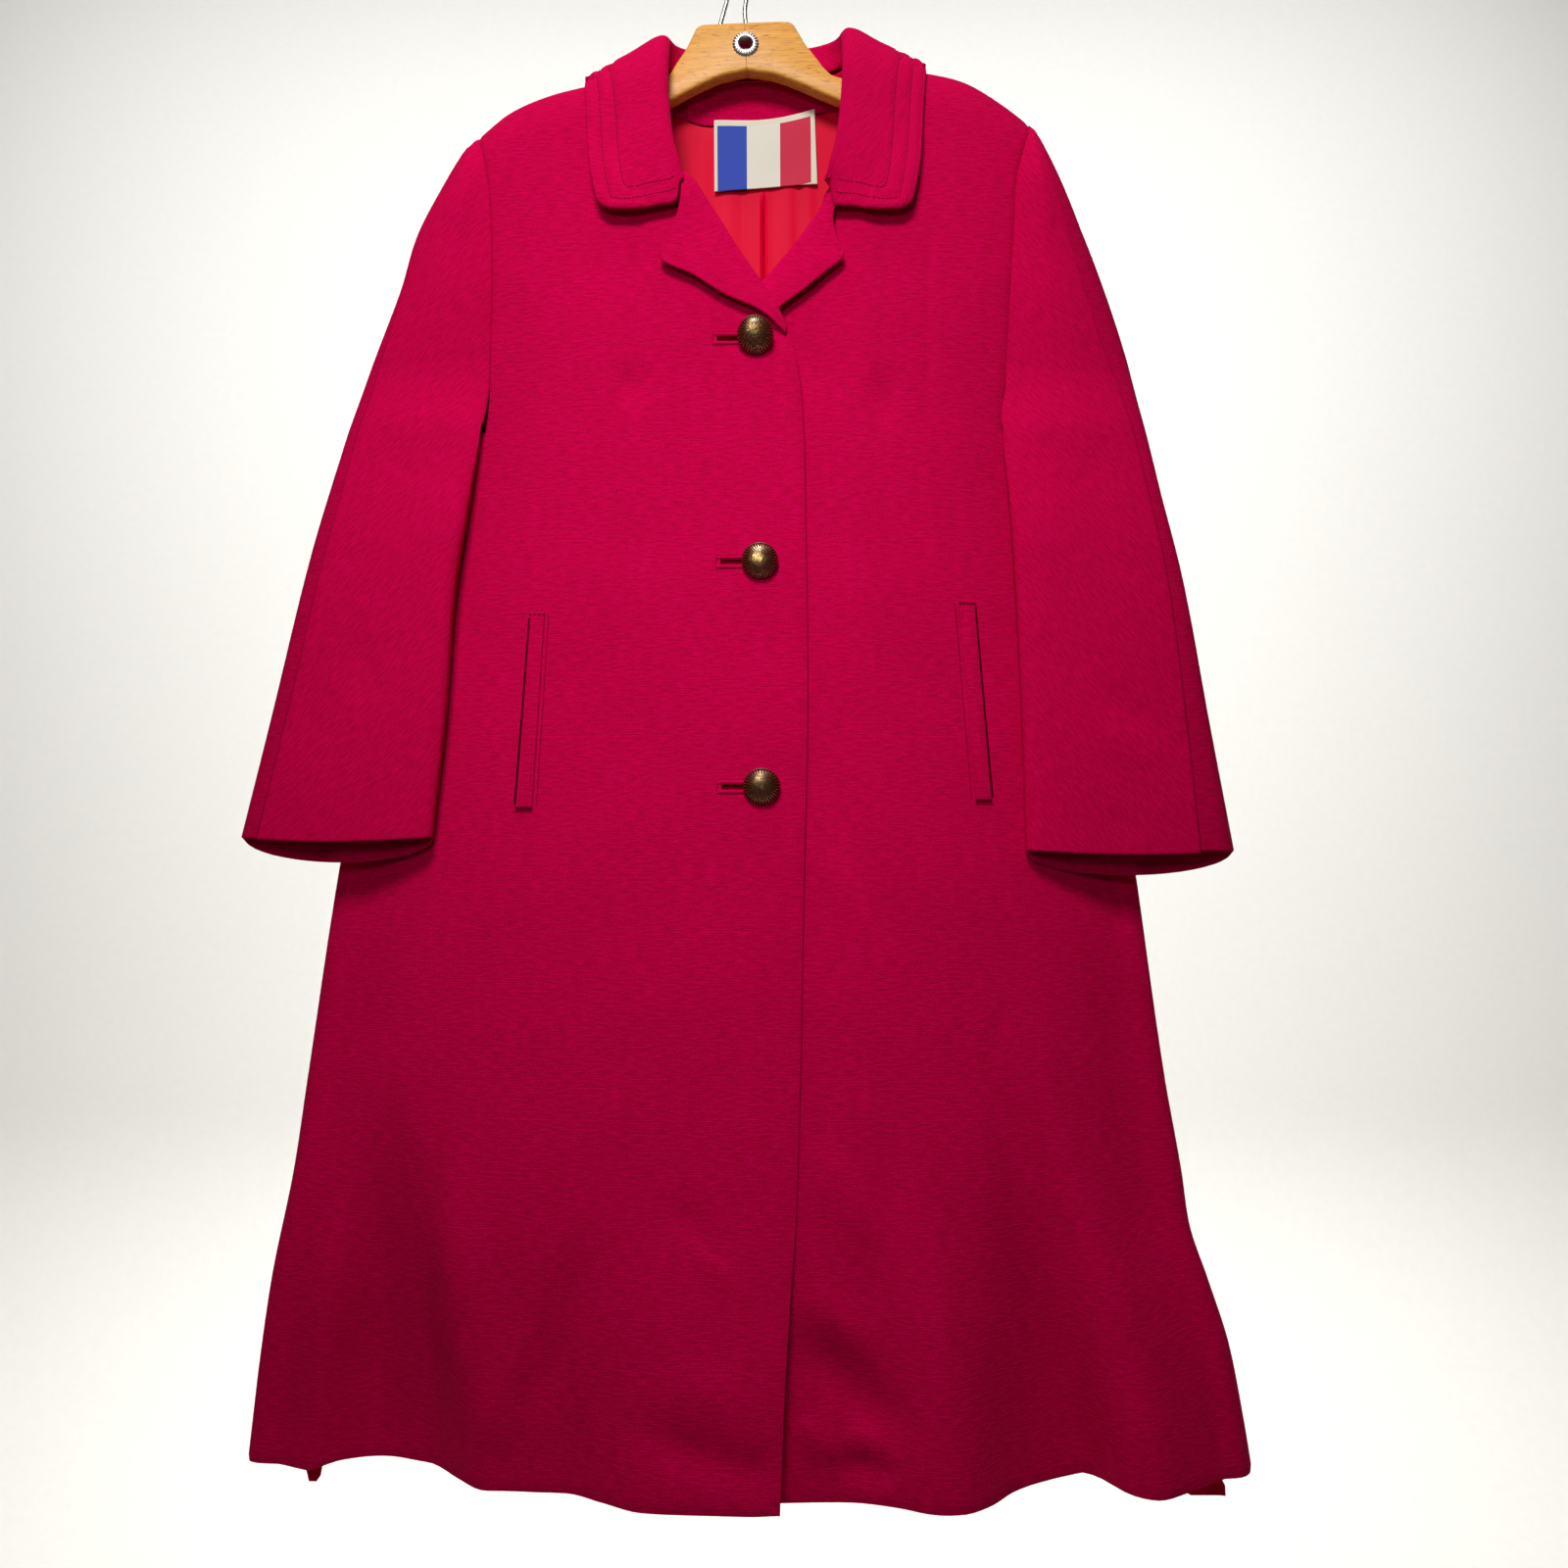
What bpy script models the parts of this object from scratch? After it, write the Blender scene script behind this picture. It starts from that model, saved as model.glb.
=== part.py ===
"""A woman's single-breasted swing coat, hanging open-necked on a wooden hanger.

Lengths are millimetres until a point is placed, where MM turns them to metres. Z is up and the
coat's front faces -Y. "Depth" is the distance in front of the flat plane that the back hangs
against. Sides are the wearer's: the right side lies at -X. The origin is the inside of the wire
hook's bend, which holds the whole thing up.
"""

import math
from collections import namedtuple

import bmesh
import bpy
import numpy as np

MM = 0.001

# Driving sizes
PLANE_Y = 32.0  # the plane behind the coat; depth 0 lies on it
HANGER_X = 6.0  # the hook's shank stands this far beside the origin
COAT_X = HANGER_X + 8.0  # the coat's centre line, slipped a little along the hanger
HANG_TILT = 0.042  # slope of hanger and neck, the left side higher
SEAM_GAP = 0.3
ARMHOLE_GAP = 0.8
CLOTH = 2.4
COLLAR_CLOTH = 3.2
FACING_CLOTH = 1.6
LINING_CLOTH = 1.0
LABEL_CLOTH = 1.0
HEM_Z = -1140.0
UNDERARM_Z = -372.0
SHOULDER_DEPTH = 32.0
FOLD_TOP_Z = -850.0  # the hem's waves have died out above this height

RIGHT, LEFT = -1, 1

# Sleeve and armhole, half widths from the coat's centre line. "inner" is the armhole seam above
# the underarm and the sleeve's inner fold below it; "strip" is how far the overarm seam lies
# inside the sleeve's outer edge.
SleeveRow = namedtuple("SleeveRow", "z inner outer strip")
SLEEVE = {
    RIGHT: (
        SleeveRow(z=-133, inner=217, outer=219, strip=0.6),
        SleeveRow(z=-172, inner=207, outer=241, strip=1.0),
        SleeveRow(z=-215, inner=203, outer=262, strip=1.5),
        SleeveRow(z=-260, inner=202, outer=274, strip=3),
        SleeveRow(z=-310, inner=203, outer=291, strip=6),
        SleeveRow(z=-346, inner=204, outer=302, strip=8),
        SleeveRow(z=-372, inner=207, outer=310, strip=9),
        SleeveRow(z=-435, inner=215, outer=326, strip=13),
        SleeveRow(z=-495, inner=223, outer=340, strip=14),
        SleeveRow(z=-590, inner=228, outer=360, strip=15),
        SleeveRow(z=-700, inner=238, outer=384, strip=15),
    ),
    LEFT: (
        SleeveRow(z=-133, inner=213, outer=220, strip=1.0),
        SleeveRow(z=-172, inner=202, outer=238, strip=8),
        SleeveRow(z=-215, inner=199, outer=255, strip=16),
        SleeveRow(z=-260, inner=196, outer=270, strip=19),
        SleeveRow(z=-310, inner=193, outer=284, strip=17),
        SleeveRow(z=-346, inner=191, outer=292, strip=12),
        SleeveRow(z=-372, inner=190, outer=298, strip=11),
        SleeveRow(z=-435, inner=194, outer=311, strip=12),
        SleeveRow(z=-495, inner=197, outer=324, strip=15),
        SleeveRow(z=-590, inner=200, outer=339, strip=20),
        SleeveRow(z=-700, inner=202, outer=357, strip=29),
    ),
}
CUFF_Z = {RIGHT: -682.0, LEFT: -691.5}
BACK_CUFF_DROP = 11.0

# The body's side edge below the underarm
SideRow = namedtuple("SideRow", "z half depth")
SIDE = {
    RIGHT: (
        SideRow(z=-130, half=270, depth=17),
        SideRow(z=-372, half=260, depth=16),
        SideRow(z=-500, half=282, depth=15),
        SideRow(z=-695, half=315, depth=15),
        SideRow(z=-860, half=336, depth=14),
        SideRow(z=-930, half=345, depth=13),
        SideRow(z=-1005, half=359, depth=12),
        SideRow(z=-1058, half=366, depth=11),
        SideRow(z=-1140, half=374, depth=10),
    ),
    LEFT: (
        SideRow(z=-130, half=264, depth=17),
        SideRow(z=-372, half=245, depth=16),
        SideRow(z=-500, half=262, depth=15),
        SideRow(z=-703, half=289, depth=15),
        SideRow(z=-860, half=308, depth=15),
        SideRow(z=-930, half=319, depth=15),
        SideRow(z=-970, half=324, depth=16),
        SideRow(z=-1007, half=336, depth=16),
        SideRow(z=-1050, half=349, depth=17),
        SideRow(z=-1096, half=357, depth=18),
        SideRow(z=-1140, half=363, depth=19),
    ),
}
SIDE_ROUND = 20.0

ShoulderRow = namedtuple("ShoulderRow", "x z")
SHOULDER = {
    RIGHT: (
        ShoulderRow(x=72, z=-81),
        ShoulderRow(x=100, z=-86.5),
        ShoulderRow(x=132, z=-93.2),
        ShoulderRow(x=162, z=-101.3),
        ShoulderRow(x=193, z=-115.7),
        ShoulderRow(x=208, z=-128),
        ShoulderRow(x=219, z=-138),
    ),
    LEFT: (
        ShoulderRow(x=72, z=-74.5),
        ShoulderRow(x=100, z=-77.5),
        ShoulderRow(x=132, z=-82.2),
        ShoulderRow(x=164, z=-90.5),
        ShoulderRow(x=191, z=-107),
        ShoulderRow(x=208, z=-120),
        ShoulderRow(x=219, z=-130),
    ),
}
FRONT_SHOULDER_DROP = 40.0
BACK_SHOULDER_DROP = 110.0

# The fronts' inner edges: the neckline, the roll line of the lapel, then the buttoned edge
EdgeRow = namedtuple("EdgeRow", "z x")
FRONT_EDGE = {
    RIGHT: (
        EdgeRow(z=-80, x=-72),
        EdgeRow(z=-120, x=-69),
        EdgeRow(z=-151, x=-64.5),
        EdgeRow(z=-172, x=-56.5),
        EdgeRow(z=-201, x=-38),
        EdgeRow(z=-234, x=-18.5),
        EdgeRow(z=-270, x=5.5),
        EdgeRow(z=-302, x=25.5),
        EdgeRow(z=-333, x=33),
        EdgeRow(z=-378, x=36.7),
        EdgeRow(z=-424, x=37.7),
        EdgeRow(z=-571, x=39.2),
        EdgeRow(z=-742, x=35.7),
        EdgeRow(z=-852, x=33.5),
        EdgeRow(z=-951, x=30.2),
        EdgeRow(z=-1016, x=25.4),
        EdgeRow(z=-1073, x=22),
        EdgeRow(z=-1140, x=19.4),
    ),
    LEFT: (
        EdgeRow(z=-80, x=72),
        EdgeRow(z=-120, x=70),
        EdgeRow(z=-151, x=65.5),
        EdgeRow(z=-180, x=59.5),
        EdgeRow(z=-200, x=53),
        EdgeRow(z=-232, x=31.5),
        EdgeRow(z=-260, x=8.3),
        EdgeRow(z=-280, x=-8),
        EdgeRow(z=-300, x=-19),
        EdgeRow(z=-330, x=-26),
        EdgeRow(z=-378, x=-28),
        EdgeRow(z=-1140, x=-28),
    ),
}

# How far the front stands before the plane: at the centre, half way out, at the armhole's line
# and where the side starts to turn in
DepthRow = namedtuple("DepthRow", "z centre half armhole turn")
FRONT_DEPTH = (
    DepthRow(z=-80, centre=49, half=48, armhole=42, turn=30),
    DepthRow(z=-150, centre=50, half=50, armhole=43, turn=30),
    DepthRow(z=-250, centre=54, half=51, armhole=42, turn=28),
    DepthRow(z=-372, centre=56, half=52, armhole=37, turn=25),
    DepthRow(z=-500, centre=59, half=53, armhole=34, turn=23),
    DepthRow(z=-700, centre=65, half=57, armhole=36, turn=23),
    DepthRow(z=-850, centre=73, half=62, armhole=39, turn=25),
    DepthRow(z=-1140, centre=84, half=70, armhole=44, turn=28),
)
ACROSS = (0.0, 0.5, 0.8, 0.93)

# The hem's waves: where each fold stands on the hem, where it stands as it dies out above, its
# depth on the hem, and how far up it reaches as a share of the height to FOLD_TOP_Z
FoldRow = namedtuple("FoldRow", "low high depth reach")
HEM_FOLDS = {
    RIGHT: (
        FoldRow(low=-357, high=-325, depth=17, reach=0.9),
        FoldRow(low=-325, high=-300, depth=27, reach=0.6),
        FoldRow(low=-305, high=-280, depth=12, reach=0.9),
        FoldRow(low=-279, high=-262, depth=7.5, reach=1.0),
        FoldRow(low=-241, high=-235, depth=15, reach=0.9),
        FoldRow(low=-212, high=-215, depth=38, reach=0.6),
        FoldRow(low=-186, high=-195, depth=55, reach=1.0),
        FoldRow(low=-160, high=-175, depth=59, reach=0.8),
        FoldRow(low=-131, high=-140, depth=61, reach=0.6),
        FoldRow(low=-105, high=-105, depth=73, reach=0.5),
        FoldRow(low=-75, high=-70, depth=87, reach=0.7),
        FoldRow(low=-40, high=-35, depth=90, reach=0.7),
        FoldRow(low=40, high=45, depth=90, reach=0.8),
    ),
    LEFT: (
        FoldRow(low=-30, high=-30, depth=75, reach=1.0),
        FoldRow(low=24, high=30, depth=74, reach=0.9),
        FoldRow(low=66, high=50, depth=73, reach=0.8),
        FoldRow(low=98, high=85, depth=80, reach=0.7),
        FoldRow(low=120, high=100, depth=88, reach=0.9),
        FoldRow(low=143, high=115, depth=88, reach=0.9),
        FoldRow(low=164, high=130, depth=78, reach=0.7),
        FoldRow(low=184, high=145, depth=58, reach=0.8),
        FoldRow(low=208, high=155, depth=43, reach=0.9),
        FoldRow(low=236, high=165, depth=32, reach=1.0),
        FoldRow(low=247, high=190, depth=41, reach=0.8),
        FoldRow(low=262, high=205, depth=62, reach=0.9),
        FoldRow(low=284, high=225, depth=67, reach=1.0),
        FoldRow(low=308, high=260, depth=58, reach=0.8),
        FoldRow(low=340, high=300, depth=40, reach=0.7),
    ),
}

# The left front lies under the right one
LapRow = namedtuple("LapRow", "z drop")
LAP = (
    LapRow(z=-130, drop=5),
    LapRow(z=-200, drop=9),
    LapRow(z=-310, drop=9),
    LapRow(z=-390, drop=4.6),
    LapRow(z=-1140, drop=4.6),
)
LAP_FULL_X, LAP_END_X = 44.0, 82.0

# The back: depth of its neck edge and of the flat below
NeckRow = namedtuple("NeckRow", "x z depth")
BACK_NECK = (
    NeckRow(x=0, z=-74.5, depth=12.2),
    NeckRow(x=30, z=-75, depth=13.2),
    NeckRow(x=50, z=-76, depth=16),
    NeckRow(x=63, z=-77, depth=21),
    NeckRow(x=68, z=-77.4, depth=25),
    NeckRow(x=72, z=-77.8, depth=SHOULDER_DEPTH - SEAM_GAP),
)
BackRow = namedtuple("BackRow", "z depth")
BACK_FLAT = (
    BackRow(z=-75, depth=9),
    BackRow(z=-130, depth=7.5),
    BackRow(z=-190, depth=4.5),
    BackRow(z=-300, depth=1.6),
    BackRow(z=-500, depth=0.6),
    BackRow(z=-1140, depth=0.6),
)

# The collar's sections from its front end round to the centre back, half widths from the coat's
# centre line: foot of the stand, top of the roll and outer edge
CollarRow = namedtuple(
    "CollarRow", "foot_x foot_z foot_depth roll_x roll_z roll_depth edge_x edge_z edge_depth roll"
)
COLLAR = (
    CollarRow(60, -173, 51, 57, -170, 61, 122, -192, 56, 2.2),
    CollarRow(67, -151, 49.5, 62, -151, 61, 126.5, -165, 55, 2.6),
    CollarRow(70.5, -120, 48.5, 66, -119, 59, 129, -132, 52, 3.2),
    CollarRow(71, -96, 45, 68, -90, 56, 131, -108, 50, 3.8),
    CollarRow(70.5, -83, 40, 69.5, -65, 48, 132.5, -93, 44, 4.4),
    CollarRow(69, -75.5, 33.5, 69.5, -50, 35, 131.5, -81, 34, 4.6),
    CollarRow(62, -74.5, 23.5, 63, -48.5, 22, 128, -92, 21, 4.6),
    CollarRow(46, -74, 17.4, 48, -48, 14.5, 105, -112, 9, 4.6),
    CollarRow(24, -73, 15.5, 25, -48.5, 11.6, 55, -121, 4, 4.6),
    CollarRow(0, -72.5, 15.2, 0, -49, 11.2, 0, -122.5, 3.6, 4.6),
)
COLLAR_LIFT = COLLAR_CLOTH + 1.2
FOOT_LIFT = 1.1
COLLAR_END = (  # the collar's short front end, from the roll to its outer corner
    EdgeRow(z=-188, x=57),
    EdgeRow(z=-204, x=59),
    EdgeRow(z=-209, x=76),
    EdgeRow(z=-213.5, x=96),
    EdgeRow(z=-212, x=116),
)

# The lapels: points along the front's roll line and on the lapel's outer edge beside them
LapelRow = namedtuple("LapelRow", "roll_x roll_z edge_x edge_z")
LAPEL = {
    RIGHT: (
        LapelRow(roll_x=-50, roll_z=-182, edge_x=-54.5, edge_z=-190),
        LapelRow(roll_x=-43.5, roll_z=-192, edge_x=-58, edge_z=-207.5),
        LapelRow(roll_x=-37.5, roll_z=-202, edge_x=-65, edge_z=-226),
        LapelRow(roll_x=-29.5, roll_z=-215, edge_x=-71.7, edge_z=-244),
        LapelRow(roll_x=-17, roll_z=-236, edge_x=-46, edge_z=-259.5),
        LapelRow(roll_x=-4.5, roll_z=-255, edge_x=-22, edge_z=-275),
        LapelRow(roll_x=6, roll_z=-271, edge_x=-2, edge_z=-284),
        LapelRow(roll_x=13.5, roll_z=-283, edge_x=11, edge_z=-291.5),
    ),
    LEFT: (
        LapelRow(roll_x=55, roll_z=-197, edge_x=57.5, edge_z=-211.5),
        LapelRow(roll_x=50.5, roll_z=-205, edge_x=60, edge_z=-222),
        LapelRow(roll_x=44.5, roll_z=-213.5, edge_x=63.5, edge_z=-233),
        LapelRow(roll_x=37, roll_z=-224.5, edge_x=67, edge_z=-242.5),
        LapelRow(roll_x=27.5, roll_z=-237, edge_x=52, edge_z=-254.5),
        LapelRow(roll_x=18.5, roll_z=-248, edge_x=36, edge_z=-267.5),
        LapelRow(roll_x=10.5, roll_z=-257.5, edge_x=21, edge_z=-279),
    ),
}

# Inside the back neck
FACING_LOW = (
    EdgeRow(z=-108, x=-63),
    EdgeRow(z=-113.5, x=-38),
    EdgeRow(z=-111, x=0),
    EdgeRow(z=-105, x=40),
    EdgeRow(z=-103, x=63),
)
LABEL_CORNERS = ((-33.7, -109.5), (46.3, -103), (48.6, -159.5), (-33.4, -167.5))
LINING_TIPS = (  # where the lining hangs below the hem: middle, half width, drop
    (-331.0, 9.0, 18.0),
    (338.0, 31.0, 28.0),
)

# Buttons and their bound holes
BUTTON_RADIUS = 13.6
BUTTON_DOME = 6.0
BUTTON_RIBS = 24
SHANK_RADIUS = 1.5
HOLE_LEFT_OF_BUTTON = 29.0
HOLE_RIGHT_OF_BUTTON = 3.0
HOLE_SLIT = 3.8
LIP_BORDER = 3.2
BUTTONS = {"top": (0.4, -306.0), "middle": (4.1, -478.0), "bottom": (5.8, -645.5)}

# Pocket welts: top inner and outer corners, bottom inner and outer corners
WeltRow = namedtuple("WeltRow", "inner outer z")
WELT = {
    RIGHT: (WeltRow(inner=-156, outer=-167, z=-515), WeltRow(inner=-162.5, outer=-175, z=-661)),
    LEFT: (WeltRow(inner=152.5, outer=164.5, z=-506), WeltRow(inner=163, outer=175, z=-655)),
}
WELT_CLOTH = 2.0
WELT_SLIT = 3.0

# Hanger
WOOD = 12.0
WIRE_RADIUS = 1.5
EYELET_Z = -61.0
EYELET_BORE = 5.0
EYELET_RIM = 10.0
ARM_HALF = 195.0


def column(table, name):
    return np.array([getattr(row, name) for row in table], float)


def smooth_curve(nodes, values, at):
    """A monotone cubic through the nodes, held flat past both ends."""
    nodes, values = np.asarray(nodes, float), np.asarray(values, float)
    if nodes[0] > nodes[-1]:
        nodes, values = nodes[::-1], values[::-1]
    if at <= nodes[0]:
        return float(values[0])
    if at >= nodes[-1]:
        return float(values[-1])
    step = np.diff(nodes)
    slope = np.diff(values) / step
    tangent = np.concatenate([[slope[0]], (slope[1:] + slope[:-1]) / 2, [slope[-1]]])
    for i, flat in enumerate(slope):
        if flat == 0:
            tangent[i] = tangent[i + 1] = 0
            continue
        first, last = tangent[i] / flat, tangent[i + 1] / flat
        if first < 0:
            tangent[i] = first = 0
        if last < 0:
            tangent[i + 1] = last = 0
        size = math.hypot(first, last)
        if size > 3:
            tangent[i] = 3 * first / size * flat
            tangent[i + 1] = 3 * last / size * flat
    i = int(np.searchsorted(nodes, at) - 1)
    t = (at - nodes[i]) / step[i]
    return float(
        values[i] * (2 * t**3 - 3 * t**2 + 1)
        + step[i] * tangent[i] * (t**3 - 2 * t**2 + t)
        + values[i + 1] * (3 * t**2 - 2 * t**3)
        + step[i] * tangent[i + 1] * (t**3 - t**2)
    )


def read(table, name, at, key="z"):
    return smooth_curve(column(table, key), column(table, name), at)


def mix(a, b, share):
    return a + (b - a) * share


def ease(start, end, at):
    """0 before start, 1 past end, and a smooth step between them."""
    t = min(1.0, max(0.0, (at - start) / (end - start)))
    return t * t * (3 - 2 * t)


def bow(t, power):
    """A rounded arch that is 1 at t = 0 and falls steeply to 0 at t = 1."""
    return (1 - min(1.0, abs(t)) ** power) ** (1 / power)


def place(x, depth, z, centre=COAT_X):
    return ((x + centre) * MM, (PLANE_Y - depth) * MM, z * MM)


def neck_tilt(x, z):
    return HANG_TILT * x * ease(-195, -110, z)


def side_of(x):
    return LEFT if x > 0 else RIGHT


def shoulder_z(x):
    """Height of the shoulder seam, and of the back's neck edge inside it."""
    if abs(x) < BACK_NECK[-1].x:
        return read(BACK_NECK, "z", abs(x), "x") + HANG_TILT * x
    return read(SHOULDER[side_of(x)], "z", abs(x), "x")


def side_half(side, z):
    return read(SIDE[side], "half", z)


def hem_waves(side, x, z, base_at):
    """How far the hem's waves move the front from its plain depth."""
    rise = (z - HEM_Z) / (FOLD_TOP_Z - HEM_Z)
    if rise >= 1:
        return 0.0
    places, moves = [], []
    for fold in HEM_FOLDS[side]:
        at = mix(fold.low, fold.high, max(0.0, rise))
        share = 1 - ease(0.0, fold.reach, rise)
        places.append(at)
        moves.append((fold.depth - base_at(at)) * share)
    return smooth_curve(places, moves, x)


def front_depth(side, x, z):
    """Depth of the outer face of a front panel, without the turn at the shoulder."""
    body_side = side_of(x)
    half = side_half(body_side, z)
    nodes = [read(FRONT_DEPTH, name, z) for name in ("centre", "half", "armhole", "turn")]

    def plain(at):
        across = abs(at) / half
        return smooth_curve(ACROSS, nodes, across)

    start = half - SIDE_ROUND
    inside = math.copysign(min(abs(x), start), x)
    depth = plain(inside) + hem_waves(side, inside, z, plain)
    if side == LEFT:
        fade = 1 - ease(LAP_FULL_X, LAP_END_X, x)
        low = ease(FOLD_TOP_Z, HEM_Z, z) if z < FOLD_TOP_Z else 0.0
        depth -= read(LAP, "drop", z) * fade * (1 - low)
    if abs(x) > start:
        edge = read(SIDE[body_side], "depth", z)
        depth = edge + (depth - edge) * bow((abs(x) - start) / SIDE_ROUND, 2)
    return depth


def turned_front_depth(side, x, z):
    """The same with the turn back to the shoulder seam."""
    depth = front_depth(side, x, z)
    drop = (shoulder_z(x) - z) / FRONT_SHOULDER_DROP
    if drop >= 1:
        return depth
    turn = bow(1 - max(0.0, drop - 0.004), 2)
    return SHOULDER_DEPTH + (depth - SHOULDER_DEPTH) * turn


def back_depth(x, z):
    """Depth of the back's outer face, which turns forward to the side, shoulder and neck."""
    side = side_of(x)
    half = side_half(side, z)
    depth = read(BACK_FLAT, "depth", z)
    drop = min(1.0, max(0.0, (shoulder_z(x) - z - 0.2) / BACK_SHOULDER_DROP))
    top = read(BACK_NECK, "depth", abs(x), "x")
    arch = 1 - bow(1 - drop, 2)
    lean = (1 - drop) ** 2
    share = mix(lean, arch, ease(45, 85, abs(x)))
    depth += (top - depth) * share
    start = half - SIDE_ROUND
    if abs(x) > start and z <= UNDERARM_Z:
        edge = read(SIDE[side], "depth", z) - SEAM_GAP
        depth = edge + (depth - edge) * bow((abs(x) - start) / SIDE_ROUND, 2)
    return depth


def slope_factor(surface, x, z):
    """How much longer a step through the surface is in depth than square to it."""
    along = (surface(x + 1, z) - surface(x - 1, z)) / 2
    down = (surface(x, z + 1) - surface(x, z - 1)) / 2
    return min(2.5, math.sqrt(1 + along**2 + down**2))


def lifted_front(side, x, z, lift):
    """Depth of a point that far off a front's outer face, measured square to it."""
    factor = slope_factor(lambda a, b: turned_front_depth(side, a, b), x, z)
    return turned_front_depth(side, x, z) + lift * factor


def lifted_back(x, z, lift):
    """Depth of a point that far inside the back's outer face, or behind it where negative."""
    return back_depth(x, z) + lift * slope_factor(back_depth, x, z)


def finish(name, colour, roughness, metallic=0.0):
    material = bpy.data.materials.new(name)
    material.use_nodes = True
    shader = material.node_tree.nodes["Principled BSDF"]
    shader.inputs["Base Color"].default_value = (*colour, 1.0)
    shader.inputs["Roughness"].default_value = roughness
    shader.inputs["Metallic"].default_value = metallic
    return material


def new_object(name, builder, material, smooth_angle=40):
    """An object from a bmesh, whose loose points are dropped first."""
    bmesh.ops.delete(
        builder, geom=[point for point in builder.verts if not point.link_faces], context="VERTS"
    )
    mesh = bpy.data.meshes.new(name)
    builder.to_mesh(mesh)
    builder.free()
    mesh.materials.append(material)
    mesh.shade_smooth()
    mesh.set_sharp_from_angle(angle=math.radians(smooth_angle))
    made = bpy.data.objects.new(name, mesh)
    bpy.context.scene.collection.objects.link(made)
    return made


def cloth_wall(name, grid, thickness, material, outward, keep=None, rim=None):
    """A wall of cloth whose outer face runs through rows of (x, depth, z).

    The outer face looks along outward. keep(i, j) leaves cells out, and rim(i, j) gives the
    direction of the thickness for points on a seam, so that two walls meet there cleanly.
    """
    points = np.array([[place(*at) for at in row] for row in grid])
    rows, columns = points.shape[:2]
    cells = [
        (i, j)
        for i in range(rows - 1)
        for j in range(columns - 1)
        if keep is None or keep(i, j)
    ]
    around = ((0, 0), (0, 1), (1, 1), (1, 0))
    facing = {}
    total = np.zeros_like(points)
    side = 0.0
    for i, j in cells:
        normal = np.cross(points[i + 1, j + 1] - points[i, j], points[i + 1, j] - points[i, j + 1])
        side += float(np.dot(normal, outward))
        facing[i, j] = normal / np.linalg.norm(normal)
    turn = 1.0 if side > 0 else -1.0
    shares = np.zeros((rows, columns))
    for (i, j), normal in facing.items():
        for di, dj in around:
            total[i + di, j + dj] += normal * turn
    length = np.linalg.norm(total, axis=2, keepdims=True)
    inward = -total / np.where(length > 0, length, 1)
    counts = np.zeros((rows, columns))
    for (i, j), normal in facing.items():
        for di, dj in around:
            shares[i + di, j + dj] -= float(np.dot(inward[i + di, j + dj], normal * turn))
            counts[i + di, j + dj] += 1
    even = np.maximum(0.75, shares / np.maximum(counts, 1))
    used = np.argwhere(counts > 0)
    builder = bmesh.new()
    outer, inner = {}, {}
    for i, j in map(tuple, used):
        along = rim(i, j) if rim else None
        step = inward[i, j] / even[i, j] if along is None else np.array(along, float)
        outer[i, j] = builder.verts.new(points[i, j])
        inner[i, j] = builder.verts.new(points[i, j] + step * thickness * MM)
    directed = set()
    for i, j in cells:
        loop = [(i + di, j + dj) for di, dj in around]
        if turn < 0:
            loop.reverse()
        builder.faces.new([outer[at] for at in loop])
        builder.faces.new([inner[at] for at in reversed(loop)])
        directed.update(zip(loop, loop[1:] + loop[:1]))
    for a, b in sorted(directed):
        if (b, a) not in directed:
            builder.faces.new((outer[b], outer[a], inner[a], inner[b]))
    return new_object(name, builder, material)


def block(name, corners, low, high, material):
    """A prism over a closed outline of (x, z), from depth low to depth high."""
    builder = bmesh.new()
    front = [builder.verts.new(place(x, high, z)) for x, z in corners]
    back = [builder.verts.new(place(x, low, z)) for x, z in corners]
    builder.faces.new(front)
    builder.faces.new(back[::-1])
    for i in range(len(corners)):
        k = (i + 1) % len(corners)
        builder.faces.new((front[k], front[i], back[i], back[k]))
    bmesh.ops.recalc_face_normals(builder, faces=builder.faces[:])
    return new_object(name, builder, material, 30)


def cut(made, cutter):
    cutter.hide_render = True
    cutter.display_type = "WIRE"
    hole = made.modifiers.new("Cut " + cutter.name, "BOOLEAN")
    hole.operation = "DIFFERENCE"
    hole.object = cutter


# Body panels

TURN_STEPS = 4
BODY_HEIGHTS = (
    [-134, -158, -180, -197, -214, -235, -260, -290, -330, UNDERARM_Z]
    + list(np.linspace(-430, FOLD_TOP_Z, 6))
    + [-895, -940, -985, -1030, -1070, -1108, HEM_Z]
)
# Shares of a front's width where its columns stand, closest along the hem's folds
FRONT_COLUMNS = {
    RIGHT: (0, 0.09, 0.19, 0.30, 0.39, 0.475, 0.57, 0.655, 0.735, 0.82, 0.91, 1.0),
    LEFT: (0, 0.1, 0.2, 0.3, 0.41, 0.48, 0.555, 0.62, 0.685, 0.765, 0.85, 0.93, 1.0),
}
FLAP_COLUMNS = {RIGHT: (0.2, 0.5, 0.78, 1.0), LEFT: (0.3, 0.66, 1.0)}


def body_rows(x_top):
    """Heights of a panel's rows at x_top: five while the shoulder turns, then level ones."""
    rows = [
        FRONT_SHOULDER_DROP * (1 - math.cos(math.pi / 2 * i / TURN_STEPS))
        for i in range(TURN_STEPS + 1)
    ]
    top = shoulder_z(x_top)
    return [top - SEAM_GAP / 2 - drop for drop in rows] + [z for z in BODY_HEIGHTS if z < top - 50]


def armhole_half(side, z):
    return read(SLEEVE[side], "inner", max(z, UNDERARM_Z)) - ARMHOLE_GAP


def flap_start(side, z):
    """Where the columns outside the armhole's line begin, below the underarm."""
    if z >= UNDERARM_Z:
        return armhole_half(side, z)
    share = armhole_half(side, UNDERARM_Z) / side_half(side, UNDERARM_Z)
    return share * side_half(side, z)


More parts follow.
